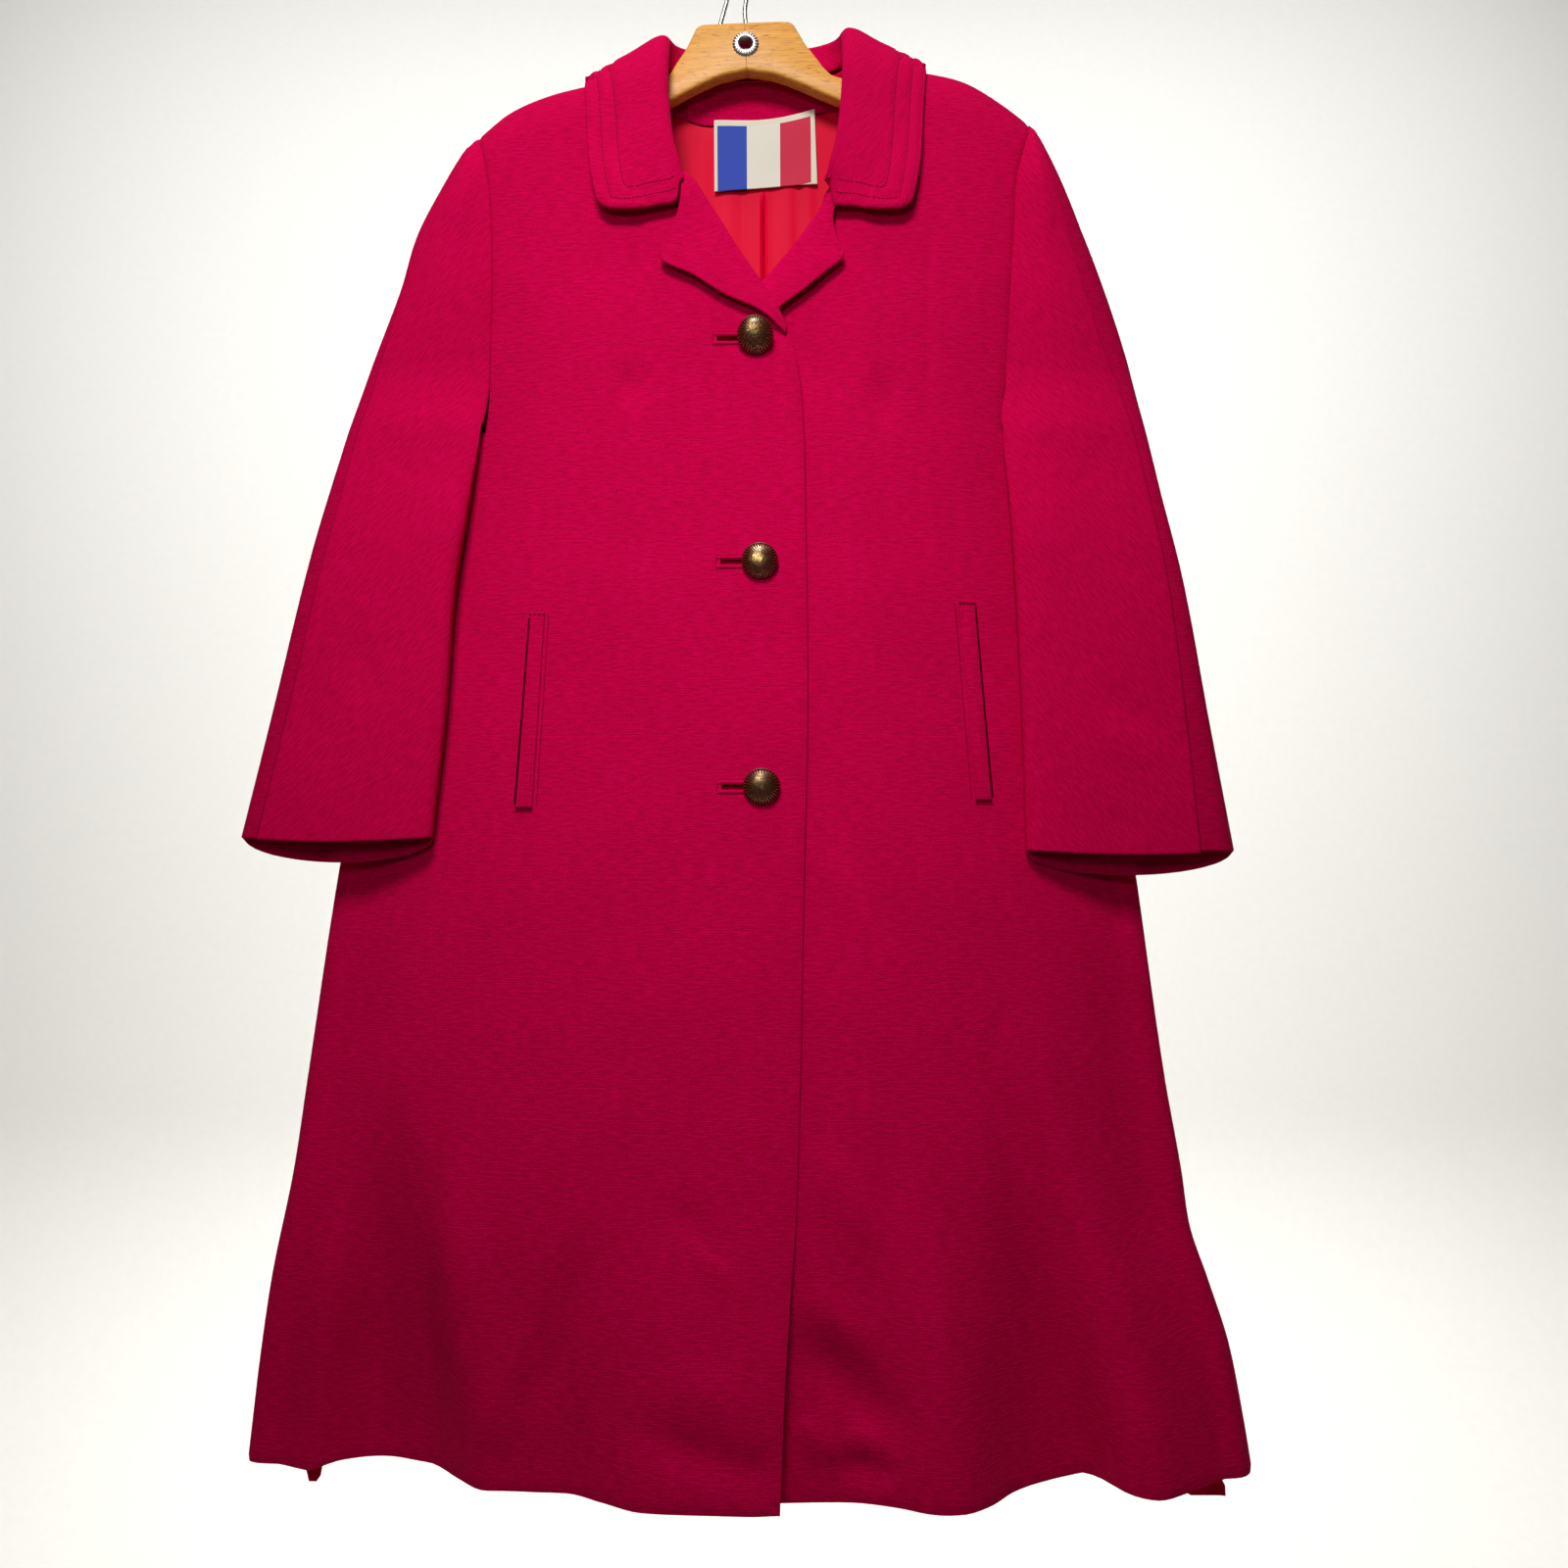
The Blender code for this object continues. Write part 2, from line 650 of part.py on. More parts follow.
def outer_columns(side, z, shares):
    """Half widths of the columns from the armhole's line to the side edge."""
    start, half = flap_start(side, z), side_half(side, z)
    flat = [mix(start, half - SIDE_ROUND, share) for share in shares]
    turn = [half - SIDE_ROUND * (1 - math.sin(math.pi / 2 * i / 4)) for i in range(1, 5)]
    return flat + turn


def sloped(z, x, top_x):
    """A row's height at x: rows follow the shoulder's slope at the top and level out below."""
    top = shoulder_z(top_x)
    share = min(1.0, max(0.0, (z - UNDERARM_Z) / (top - UNDERARM_Z)))
    return z + (shoulder_z(x) - top) * share


def panel_rim(side, i, j, flap_row, armhole, last, inward):
    """Direction of a panel's thickness along its shoulder, armhole and side seams."""
    if j == last and i >= flap_row:
        return (-side, 0, 0)
    if i == 0:
        return (0, 0, -1)
    if (j == armhole and i <= flap_row) or (i == flap_row and j > armhole):
        return (0, inward, 0)
    return None


def front_panel(side, material):
    top_x = side * SHOULDER[side][0].x
    heights = body_rows(top_x)
    armhole = len(FRONT_COLUMNS[side]) - 1
    grid = []
    for z in heights:
        row = []
        for share in FRONT_COLUMNS[side]:
            level = z
            for _ in range(4):
                edge = read(FRONT_EDGE[side], "x", level)
                x = mix(edge, side * flap_start(side, level), share)
                level = sloped(z, x, top_x) if abs(x) > abs(top_x) else z
            row.append((x, turned_front_depth(side, x, level), level))
        for half in outer_columns(side, min(z, UNDERARM_Z), FLAP_COLUMNS[side]):
            row.append((side * half, front_depth(side, side * half, z), z))
        grid.append(row)
    flap_row = next(i for i, z in enumerate(heights) if z <= UNDERARM_Z + 0.01)
    last = len(grid[0]) - 1
    return cloth_wall(
        "front_left" if side == LEFT else "front_right",
        grid,
        CLOTH,
        material,
        (0, -1, 0),
        lambda i, j: j < armhole or i >= flap_row,
        lambda i, j: panel_rim(side, i, j, flap_row, armhole, last, 1),
    )


BACK_HEIGHTS = [-212, -250, -295, -335, UNDERARM_Z, -450, -560, -680, -800, -920, -1030, -1090]
BACK_COLUMNS = (0.09, 0.17, 0.235, 0.29, 0.335, 0.42, 0.6, 0.77, 0.9, 1.0)
BACK_FLAP = (0.5, 1.0)


def back_panel(material):
    drops = [BACK_SHOULDER_DROP * (1 - math.cos(math.pi / 2 * i / 6)) for i in range(7)]
    middle = shoulder_z(0) - SEAM_GAP / 2
    heights = [middle - drop for drop in drops] + BACK_HEIGHTS + [HEM_Z + 3]
    flap_row = next(i for i, z in enumerate(heights) if z <= UNDERARM_Z + 0.01)
    grid = []
    for z in heights:
        halves = {}
        for side in (RIGHT, LEFT):
            points = []
            for share in (0.0,) + BACK_COLUMNS:
                level = z
                for _ in range(4):
                    x = side * flap_start(side, level) * share
                    level = sloped(z, x, 0.0)
                points.append((x, back_depth(x, level), level))
            for half in outer_columns(side, min(z, UNDERARM_Z), BACK_FLAP):
                points.append((side * half, back_depth(side * half, min(z, UNDERARM_Z)), z))
            halves[side] = points
        grid.append(halves[RIGHT][:0:-1] + halves[LEFT])
    outer = len(BACK_FLAP) + 4
    last = len(grid[0]) - 1

    def rim(i, j):
        side = RIGHT if j < last / 2 else LEFT
        if i == 0 and abs(grid[i][j][0]) < BACK_NECK[-1].x:
            return None
        from_middle = abs(j - last // 2)
        return panel_rim(side, i, from_middle, flap_row, last // 2 - outer, last // 2, -1)

    return cloth_wall(
        "back",
        grid,
        CLOTH,
        material,
        (0, 1, 0),
        lambda i, j: outer <= j < last - outer or i >= flap_row,
        rim,
    )


# Sleeves

SLEEVE_HEIGHTS = [-143, -158, -176, -200, -230, -265, -302, -340]
LOW_SLEEVE_HEIGHTS = [UNDERARM_Z, -392, -425, -470, -525, -585, -640]
FOLD_OUT_DEPTH = 46.0
BODY_SHARE = 0.55  # the part of the sleeve's width that lies before the body


def sleeve_fold_depth(side, z):
    """Depth of the sleeve's inner edge: flush with the armhole, then swinging forward."""
    start = armhole_half(side, max(z, UNDERARM_Z))
    flush = turned_front_depth(side, side * start, max(z, UNDERARM_Z))
    return mix(flush, FOLD_OUT_DEPTH + 2 * ease(-372, -600, z), ease(-318, -378, z))


def sleeve_edge_depth(z):
    return mix(SHOULDER_DEPTH, 41, ease(-150, -500, z))


def sleeve_front_depth(side, share, z):
    inner, outer = sleeve_fold_depth(side, z), sleeve_edge_depth(z)
    drop = shoulder_z(side * armhole_half(side, -140)) - z
    swell = 7 * ease(0, 70, drop)
    high = outer + (inner - outer + swell * math.sin(math.pi * share)) * bow(share, 2.2)
    low = mix(inner, outer, share) + 13 * bow(2 * share - 1, 2.6)
    return mix(high, low, ease(-350, -470, z))


def sleeve_back_depth_high(side, share, z):
    x = side * (armhole_half(side, z) + ARMHOLE_GAP)
    flush = back_depth(x, z)
    outer = sleeve_edge_depth(z) - SEAM_GAP
    return outer - (outer - flush) * bow(share, 2.2)


def sleeve_back_depth_low(side, share, z):
    x = abs(sleeve_x(side, share, z))
    inner = sleeve_fold_depth(side, z) - SEAM_GAP
    outer = sleeve_edge_depth(z) - SEAM_GAP
    free = mix(inner, outer, share) - 9 * bow(2 * share - 1, 2.6)
    if share > BODY_SHARE:
        start = sleeve_back_depth_high(side, share, UNDERARM_Z)
        hung = outer - (outer - 26) * bow(share, 3)
        free = mix(start, hung, ease(UNDERARM_Z + 10, -620, z))
    side_x = side_half(side, z)
    if x < side_x + 1.5:
        clear = 0.8 + 2.0 * ease(UNDERARM_Z, -450, z)
        body = lifted_front(side, side * min(x, side_x - 4), z, clear)
        return min(inner, max(free, body))
    return free


def sleeve_x(side, share, z):
    return side * mix(read(SLEEVE[side], "inner", z), read(SLEEVE[side], "outer", z), share)


def sleeve_tops(side):
    top = shoulder_z(side * armhole_half(side, -137)) - 7.0
    return [top] + [z for z in SLEEVE_HEIGHTS if z < top - 8]


def seam_share(side, z):
    inner, outer = read(SLEEVE[side], "inner", z), read(SLEEVE[side], "outer", z)
    strip = min(read(SLEEVE[side], "strip", z), 0.3 * (outer - inner))
    return 1 - strip / (outer - inner)


def seam_inward(side, z):
    """Into the sleeve, square to its surface at the overarm seam."""
    share, step = seam_share(side, z), 0.004
    run = abs(sleeve_x(side, share, z) - sleeve_x(side, share - step, z))
    fall = sleeve_front_depth(side, share - step, z) - sleeve_front_depth(side, share, z)
    length = math.hypot(run, fall)
    return (-side * fall / length, run / length, 0)


def sleeve_rim(side, z, on_seam, on_fold, inward):
    if on_seam:
        return seam_inward(side, z)
    if on_fold:
        return (0, inward, 0) if z > UNDERARM_Z + 0.3 else (side, 0, 0)
    return None


SLEEVE_FRONT_COLUMNS = 8


def sleeve_front(side, material):
    heights = sleeve_tops(side) + LOW_SLEEVE_HEIGHTS + [CUFF_Z[side]]
    grid = []
    for z in heights:
        last = seam_share(side, z)
        width = abs(sleeve_x(side, 1, z) - sleeve_x(side, 0, z))
        row = []
        for j in range(SLEEVE_FRONT_COLUMNS + 1):
            angle = math.pi * j / SLEEVE_FRONT_COLUMNS * 0.94
            share = (1 - math.cos(angle)) / (1 - math.cos(math.pi * 0.94))
            share *= last - (SEAM_GAP + 0.5 * ease(-170, -140, z)) / width
            level = z - 3 * math.sin(math.pi * share) if z == heights[-1] else z
            row.append((sleeve_x(side, share, z), sleeve_front_depth(side, share, z), level))
        grid.append(row)
    return cloth_wall(
        "sleeve_front_left" if side == LEFT else "sleeve_front_right",
        grid,
        CLOTH,
        material,
        (0, -1, 0),
        None,
        lambda i, j: sleeve_rim(side, heights[i], j == SLEEVE_FRONT_COLUMNS, j == 0, 1),
    )


BEHIND_SHARES = (0, 0.015, 0.06, 0.16, 0.3, 0.43, 0.53)
OUTSIDE_SHARES = (0.585, 0.7, 0.82, 0.92, 0.98)


def sleeve_back(side, material):
    """The back piece, from the overarm seam round the outer edge; a slit opens it to the body."""
    tops = sleeve_tops(side)
    lows = LOW_SLEEVE_HEIGHTS + [CUFF_Z[side]]
    rows = [(z, sleeve_back_depth_high) for z in tops + [UNDERARM_Z + 0.6]]
    rows += [(z, sleeve_back_depth_low) for z in lows]
    shares = BEHIND_SHARES + OUTSIDE_SHARES
    grid = []
    for z, depth_at in rows:
        seam = seam_share(side, z)
        cuff = z == rows[-1][0]
        row = []
        for share in shares:
            fall = BACK_CUFF_DROP * bow(2 * share - 1, 2) if cuff else 0.0
            row.append((sleeve_x(side, share, z), depth_at(side, share, z), z - fall))
        row.append((sleeve_x(side, 1.0, z), sleeve_edge_depth(z), z))
        for step in (0.4, 1.0):
            share = mix(1.0, seam, step)
            row.append((sleeve_x(side, share, z), sleeve_front_depth(side, share, z), z))
        grid.append(row)
    slit_row, slit_end = len(tops), len(BEHIND_SHARES)
    last = len(grid[0]) - 1

    def rim(i, j):
        z = rows[i][0]
        if i in (slit_row, slit_row + 1) and 0 < j < slit_end:
            return (0, -1, 0)
        return sleeve_rim(side, z, j == last, j == 0, -1)

    return cloth_wall(
        "sleeve_back_left" if side == LEFT else "sleeve_back_right",
        grid,
        CLOTH,
        material,
        (side * 0.3, 1, 0),
        lambda i, j: i != slit_row or j >= slit_end,
        rim,
    )


# Collar and lapels

def on_front(side, x, z, lift):
    return (x, lifted_front(side, x, z, lift), z)


def clear_of_coat(point):
    """A point of the collar's fall, moved out until the collar lies clear on the coat."""
    x, depth, z = point
    below = shoulder_z(x) - z
    if depth > SHOULDER_DEPTH + 1 and below > -2:
        depth = max(depth, lifted_front(side_of(x), x, z, COLLAR_LIFT))
    elif depth < SHOULDER_DEPTH - 1 and below > -2:
        depth = min(depth, lifted_back(x, z, -COLLAR_LIFT - 0.4))
    return (x, depth, z)


def collar_section(row, side):
    tilt = [neck_tilt(side * x, z) for x, z in
            ((row.foot_x, row.foot_z), (row.roll_x, row.roll_z), (row.edge_x, row.edge_z))]
    foot = np.array([side * row.foot_x, row.foot_depth, row.foot_z + tilt[0]])
    if row.foot_depth > SHOULDER_DEPTH + 6:
        foot[1] = lifted_front(side, foot[0] + side * 3, foot[2], FOOT_LIFT)
    roll = np.array([side * row.roll_x, row.roll_depth, row.roll_z + tilt[1]])
    edge = np.array([side * row.edge_x, row.edge_depth, row.edge_z + tilt[2]])
    down = (foot - roll) / np.linalg.norm(foot - roll)
    out = (edge - roll) / np.linalg.norm(edge - roll)
    away = -down - out * np.dot(-down, out)
    away /= np.linalg.norm(away)
    back = -out - down * np.dot(-out, down)
    back /= np.linalg.norm(back)
    reach = min(7.0, 0.42 * np.linalg.norm(foot - roll))
    points = [
        foot,
        roll + down * reach + back * row.roll * 0.75,
        roll + down * 0.3 * reach + back * row.roll * 0.45,
        roll + out * 0.3 * reach + away * row.roll * 0.45,
        roll + out * reach * 1.3 + away * row.roll * 0.75,
    ]
    for share, lift in ((0.4, 2.0), (0.72, 1.0), (1.0, 0.0)):
        points.append(mix(roll, edge, share) + away * lift)
    return [tuple(points[i]) for i in range(5)] + [clear_of_coat(tuple(p)) for p in points[5:]]


def collar_end(side):
    """The last section, along the collar's short front end."""
    first = COLLAR[0]
    foot = (side * (first.foot_x - 2), first.foot_depth + 3, first.foot_z - 8)
    roll_z = first.roll_z - 12
    points = [
        foot,
        (side * (first.roll_x - 3), first.roll_depth - 3, roll_z),
        (side * (first.roll_x - 3.2), first.roll_depth - 0.5, roll_z - 1),
    ]
    for row in COLLAR_END:
        points.append(on_front(side, side * row.x, row.z, COLLAR_LIFT))
    return points


def collar(material):
    halves = {}
    for side in (RIGHT, LEFT):
        halves[side] = [collar_end(side)] + [collar_section(row, side) for row in COLLAR]
    rows = halves[RIGHT] + halves[LEFT][-2::-1]
    return cloth_wall("collar", rows, COLLAR_CLOTH, material, (0, -0.3, 1))


def roll_normals(rows):
    """Unit directions across the roll line, in the panel's plane and toward the neck."""
    points = np.array([(row.roll_x, row.roll_z) for row in rows], float)
    along = np.gradient(points, axis=0)
    across = np.stack([-along[:, 1], along[:, 0]], axis=1)
    across /= np.linalg.norm(across, axis=1, keepdims=True)
    over = points - np.array([(row.edge_x, row.edge_z) for row in rows], float)
    return across * np.sign((across * over).sum(axis=1))[:, None]


def lapel(side, material):
    grid = []
    for row, normal in zip(LAPEL[side], roll_normals(LAPEL[side])):
        width = math.hypot(row.roll_x - row.edge_x, row.roll_z - row.edge_z)
        small = min(1.0, width / 14)
        line = []
        for out, lift in ((3.3, -1.4), (4.2, 1.2), (2.6, 4.4)):
            x, z = row.roll_x + normal[0] * out, row.roll_z + normal[1] * out
            depth = turned_front_depth(side, row.roll_x, row.roll_z)
            line.append((x, depth + lift, z))
        for share, lift in ((0.16, 4.8), (0.45, mix(3.3, 4.4, small)), (1.0, 3.1)):
            lift += 1.2 if side == LEFT else 0.6
            x = mix(row.roll_x, row.edge_x, share)
            z = mix(row.roll_z, row.edge_z, share)
            line.append(on_front(side, x, z, lift))
        grid.append(line)
    name = "lapel_left" if side == LEFT else "lapel_right"
    return cloth_wall(name, grid, CLOTH, material, (0, -1, 0))


# Inside the back neck

def inside_back(x, z, lift):
    """A point that far in front of the back's inner face."""
    return (x, lifted_back(x, z, CLOTH + lift), z)


def back_neck_facing(material):
    grid = []
    for i in range(4):
        row = []
        for j in range(11):
            x = mix(-55, 55, j / 10)
            low = read(FACING_LOW, "z", x, "x")
            high = shoulder_z(x) - 2.5
            z = mix(high, low, i / 3)
            row.append(inside_back(x, z, SEAM_GAP + 0.5 + FACING_CLOTH))
        grid.append(row)
    return cloth_wall("back_neck_facing", grid, FACING_CLOTH, material, (0, -1, 0))


def lining_low(x):
    z = HEM_Z + 14
    for middle, half, drop in LINING_TIPS:
        z -= (14 + drop) * (1 - ease(half * 0.5, half, abs(x - middle)))
    return z


LINING_ROWS = (0, 0.025, 0.055, 0.09, 0.14, 0.24, 0.42, 0.62, 0.82, 0.985, 1.0)
LINING_COLUMNS = (-0.97, -0.92, -0.9, -0.88, -0.855, -0.7, -0.45, -0.2, -0.03, 0.0)
LINING_COLUMNS += (0.03, 0.2, 0.45, 0.7, 0.83, 0.87, 0.9, 0.935, 0.975)


def lining_back(material):
    grid = []
    for fall in LINING_ROWS:
        row = []
        for share in LINING_COLUMNS:
            side = side_of(share)
            top_x = share * 155.0
            if abs(top_x) < FACING_LOW[-1].x:
                top = read(FACING_LOW, "z", top_x, "x") - 1.0
            else:
                top = read(FACING_LOW, "z", top_x, "x") - 0.35 * (abs(top_x) - FACING_LOW[-1].x)
            low_x = share * (side_half(side, HEM_Z) - 5)
            low = lining_low(low_x)
            z = mix(top, low, fall)
            wide = share * (side_half(side, z) - 9)
            x = mix(top_x, share * 175, ease(top, UNDERARM_Z, z))
            x = mix(x, wide, ease(UNDERARM_Z - 30, UNDERARM_Z - 200, z))
            if z < HEM_Z - 20:
                x = low_x
            pleat = 2.2 * max(0.0, 1 - abs(share) / 0.03) * ease(-172, -200, z)
            point = inside_back(x, max(z, HEM_Z), 0.8 + LINING_CLOTH + pleat)
            row.append((point[0], point[1], z))
        grid.append(row)
    return cloth_wall("lining_back", grid, LINING_CLOTH, material, (0, -1, 0))


def label(material):
    (ax, az), (bx, bz), (cx, cz), (dx, dz) = LABEL_CORNERS
    grid = []
    for i in range(4):
        row = []
        for j in range(7):
            s, t = j / 6, i / 3
            x = mix(mix(ax, bx, s), mix(dx, cx, s), t)
            z = mix(mix(az, bz, s), mix(dz, cz, s), t)
            row.append(inside_back(x, z, SEAM_GAP + 1.7 + FACING_CLOTH + LABEL_CLOTH))
        grid.append(row)
    return cloth_wall("label", grid, LABEL_CLOTH, material, (0, -1, 0))


# Fastenings and pockets

def buttonhole(which, front, material):
    """Cuts the hole through the front and returns the bound lips that line it."""
    x, z = BUTTONS[which]
    left, right = x - HOLE_LEFT_OF_BUTTON, x + HOLE_RIGHT_OF_BUTTON
    depth = front_depth(RIGHT, (left + right) / 2, z)
    grow = LIP_BORDER + SEAM_GAP
    high, low = z + HOLE_SLIT / 2 + grow, z - HOLE_SLIT / 2 - grow
    outline = [(left - grow, low), (right + grow, low), (right + grow, high), (left - grow, high)]
    cut(front, block("cut_hole_" + which, outline, depth - 12, depth + 12, None))
    top, bottom = z + HOLE_SLIT / 2 + LIP_BORDER, z - HOLE_SLIT / 2 - LIP_BORDER
    xs = [left - LIP_BORDER] + list(np.linspace(left, right, 5)) + [right + LIP_BORDER]
    zs = [top, z + HOLE_SLIT / 2, z - HOLE_SLIT / 2, bottom]
    grid = [[(across, front_depth(RIGHT, across, z) + 0.5, level) for across in xs] for level in zs]
    return cloth_wall(
        "buttonhole_" + which,
        grid,
        CLOTH + 0.6,
        material,
        (0, -1, 0),
        lambda i, j: i != 1 or j in (0, len(xs) - 2),
        lambda i, j: (0, 1, 0),
    )


def button(which, material):
    """A domed button with raised rays, on a shank that reaches down through its hole."""
    x, z = BUTTONS[which]
    base = front_depth(RIGHT, x, z) + (3.4 if which == "top" else 1.8)
    foot = front_depth(LEFT, x, z) + 0.35
    tip = 0.15 if which == "top" else 0.03
    rings = ((1.0, 0.0, 0.0), (1.0, 1.6, 0.5), (0.86, 3.4, 1.0), (0.62, 4.9, 1.0), (0.3, 5.8, 0.6))
    builder = bmesh.new()
    loops = []
    count = BUTTON_RIBS * 2

    def point(radius, angle, height):
        lift = height + tip * radius * math.sin(angle) * BUTTON_RADIUS
        across = radius * BUTTON_RADIUS
        return place(x + across * math.cos(angle), base + lift, z + across * math.sin(angle))

    for radius, height, relief in rings:
        loop = []
        for k in range(count):
            ray = 0.35 * relief if k % 2 == 0 else -0.35 * relief
            loop.append(builder.verts.new(point(radius, 2 * math.pi * k / count, height + ray)))
        loops.append(loop)
    for lower, upper in zip(loops, loops[1:]):
        for k in range(count):
            n = (k + 1) % count
            builder.faces.new((lower[k], lower[n], upper[n], upper[k]))
    crown = builder.verts.new(point(0, 0, BUTTON_DOME))
    for k in range(count):
        builder.faces.new((loops[-1][k], loops[-1][(k + 1) % count], crown))
    shank, sole = [], []
    stem = count // 4
    for k in range(stem):
        angle = 2 * math.pi * k / stem
        across, up = SHANK_RADIUS * math.cos(angle), SHANK_RADIUS * math.sin(angle)
        shank.append(builder.verts.new(place(x + across, base, z + up)))
        sole.append(builder.verts.new(place(x + across, foot, z + up)))
    for k in range(stem):
        n = (k + 1) % stem
        builder.faces.new((sole[k], sole[n], shank[n], shank[k]))
        rim = [loops[0][(4 * k + i) % count] for i in range(5)]
        for i in range(4):
            builder.faces.new((shank[k], rim[i + 1], rim[i]))
        builder.faces.new((shank[k], shank[n], rim[4]))
    builder.faces.new(sole[::-1])
    bmesh.ops.recalc_face_normals(builder, faces=builder.faces[:])
    return new_object("button_" + which, builder, material, 55)


def welt(side, front, material):
    """Cuts the pocket's slit beside the welt and returns the welt."""
    top, bottom = WELT[side]
    grid = []
    for i in range(7):
        z = mix(top.z, bottom.z, i / 6)
        row = []
        for j in range(3):
            x = mix(mix(top.inner, top.outer, j / 2), mix(bottom.inner, bottom.outer, j / 2), i / 6)
            row.append((x, front_depth(side, x, z) + WELT_CLOTH + 0.4, z))
        grid.append(row)
    half = side * WELT_SLIT / 2
    corners = [
        (top.outer - half, top.z - 3),
        (top.outer + half, top.z - 3),
        (bottom.outer + half, bottom.z + 3),
        (bottom.outer - half, bottom.z + 3),
    ]
    depth = front_depth(side, (top.outer + bottom.outer) / 2, (top.z + bottom.z) / 2)
    name = "left" if side == LEFT else "right"
    cut(front, block("cut_pocket_" + name, corners, depth - 9, depth + 9, None))
    return cloth_wall("welt_" + name, grid, WELT_CLOTH, material, (0, -1, 0))


# Hanger

def hanger_outline():
    """The right half's outline, from the joint's top round to its foot, as (x, z) points."""
    top = [(0, -42.5), (34, -42.5), (38, -45), (42.5, -54), (47, -63), (54, -72.5), (60, -82)]
    arm_top = [(66, -88.5), (78, -92.5), (110, -99), (140, -106.5), (168, -114), (186, -120.5)]
    tip = [(192, -124.5), (ARM_HALF, -131), (193.5, -138), (188, -142)]
    under = [(165, -138.5), (130, -130), (100, -121.5), (77, -112.5), (60, -104.5), (42, -95)]
    return top + arm_top + tip + under + [(22, -86), (0, -82)]


def turn_on_hook(x, z):
    """Leans a point of the level hanger with the garment."""
    return x - HANG_TILT * (z - EYELET_Z), z + HANG_TILT * x


def hanger_half(side, cutters, material):
    outline = []
    for x, z in hanger_outline():
        x = side * (x if x > 0 else SEAM_GAP / 2)
        outline.append(turn_on_hook(x, z))
    shift = HANGER_X - COAT_X
    outline = [(x + shift, z) for x, z in outline]
    low, high = PLANE_Y - WOOD / 2, PLANE_Y + WOOD / 2
    name = "hanger_half_left" if side == LEFT else "hanger_half_right"
    made = block(name, outline, low, high, material)
    bevel = made.modifiers.new("Round edges", "BEVEL")
    bevel.width = 2.2 * MM
    bevel.segments = 2
    bevel.limit_method = "ANGLE"
    bevel.angle_limit = math.radians(60)
    for cutter in cutters:
        cut(made, cutter)
    return made


def turned(name, profile, centre_x, centre_z, material, steps=24):
    """A ring turned about the Y axis from a closed profile of (radius, depth)."""
    builder = bmesh.new()
    loops = []
    for k in range(steps):
        angle = 2 * math.pi * k / steps
        loops.append(
            [
                builder.verts.new(
                    place(
                        centre_x + radius * math.cos(angle),
                        PLANE_Y + depth,
                        centre_z + radius * math.sin(angle),
                        0.0,
                    )
                )
                for radius, depth in profile
            ]
        )
    for k, loop in enumerate(loops):
        following = loops[(k + 1) % steps]
        for i in range(len(profile)):
            n = (i + 1) % len(profile)
            builder.faces.new((loop[i], loop[n], following[n], following[i]))
    bmesh.ops.recalc_face_normals(builder, faces=builder.faces[:])
    return new_object(name, builder, material, 35)


def eyelet(material):
    half = WOOD / 2 + SEAM_GAP
    bore, tube, rim = EYELET_BORE, EYELET_BORE + 1.2, EYELET_RIM
    profile = (
        (bore, -half - 0.4),
        (bore, half + 0.4),
        (tube, half + 1.3),
        (rim - 1, half + 1.0),
        (rim, half),
        (tube, half),
        (tube, -half),
        (rim, -half),
        (rim - 1, -half - 1.0),
        (tube, -half - 1.3),
    )
    return turned("hanger_eyelet", profile, HANGER_X, EYELET_Z, material)


def drill(name, centre_x, radius, top, bottom):
    """A cutter for a hole that runs down into the hanger."""
    builder = bmesh.new()
    steps = 12
    rings = []
    for z in (top, bottom):
        rings.append(
            [
                builder.verts.new(
                    place(
                        centre_x + radius * math.cos(2 * math.pi * k / steps),
                        PLANE_Y + radius * math.sin(2 * math.pi * k / steps),
                        z,
                        0.0,
                    )
                )
                for k in range(steps)
            ]
        )
    builder.faces.new(rings[0])
    builder.faces.new(rings[1][::-1])
    for k in range(steps):
        n = (k + 1) % steps
        builder.faces.new((rings[0][k], rings[1][k], rings[1][n], rings[0][n]))
    bmesh.ops.recalc_face_normals(builder, faces=builder.faces[:])
    return new_object(name, builder, None)


HOOK_INNER = 5.0
SHANK_FOOT_Z = -51.0
TAIL_FOOT_Z = -46.5
TAIL_X = HANGER_X - 20.5


def hook(material):
    """A wire hook: up from the wood, over a tight bend and down again to the wood's top."""
    radius = HOOK_INNER + WIRE_RADIUS
    centre_z = -HOOK_INNER
    route = [(HANGER_X, SHANK_FOOT_Z), (HANGER_X, -44), (HANGER_X - 1.0, -30)]
    route += [(radius - 0.1, -16)]
    for k in range(9):
        angle = math.pi * k / 8
        route.append((radius * math.cos(angle), centre_z + radius * math.sin(angle)))
    route += [(-radius - 1.2, -16), (-radius - 4.6, -30), (TAIL_X, -43), (TAIL_X - 0.2, TAIL_FOOT_Z)]
    curve = bpy.data.curves.new("hanger_hook", "CURVE")
    curve.dimensions = "3D"
    curve.bevel_depth = WIRE_RADIUS * MM
    curve.bevel_resolution = 2
    curve.use_fill_caps = True
    spline = curve.splines.new("POLY")
    spline.points.add(len(route) - 1)
    for point, (x, z) in zip(spline.points, route):
        point.co = (*place(x, PLANE_Y, z, 0.0), 1.0)
    curve.materials.append(material)
    made = bpy.data.objects.new("hanger_hook", curve)
    bpy.context.scene.collection.objects.link(made)
    return made


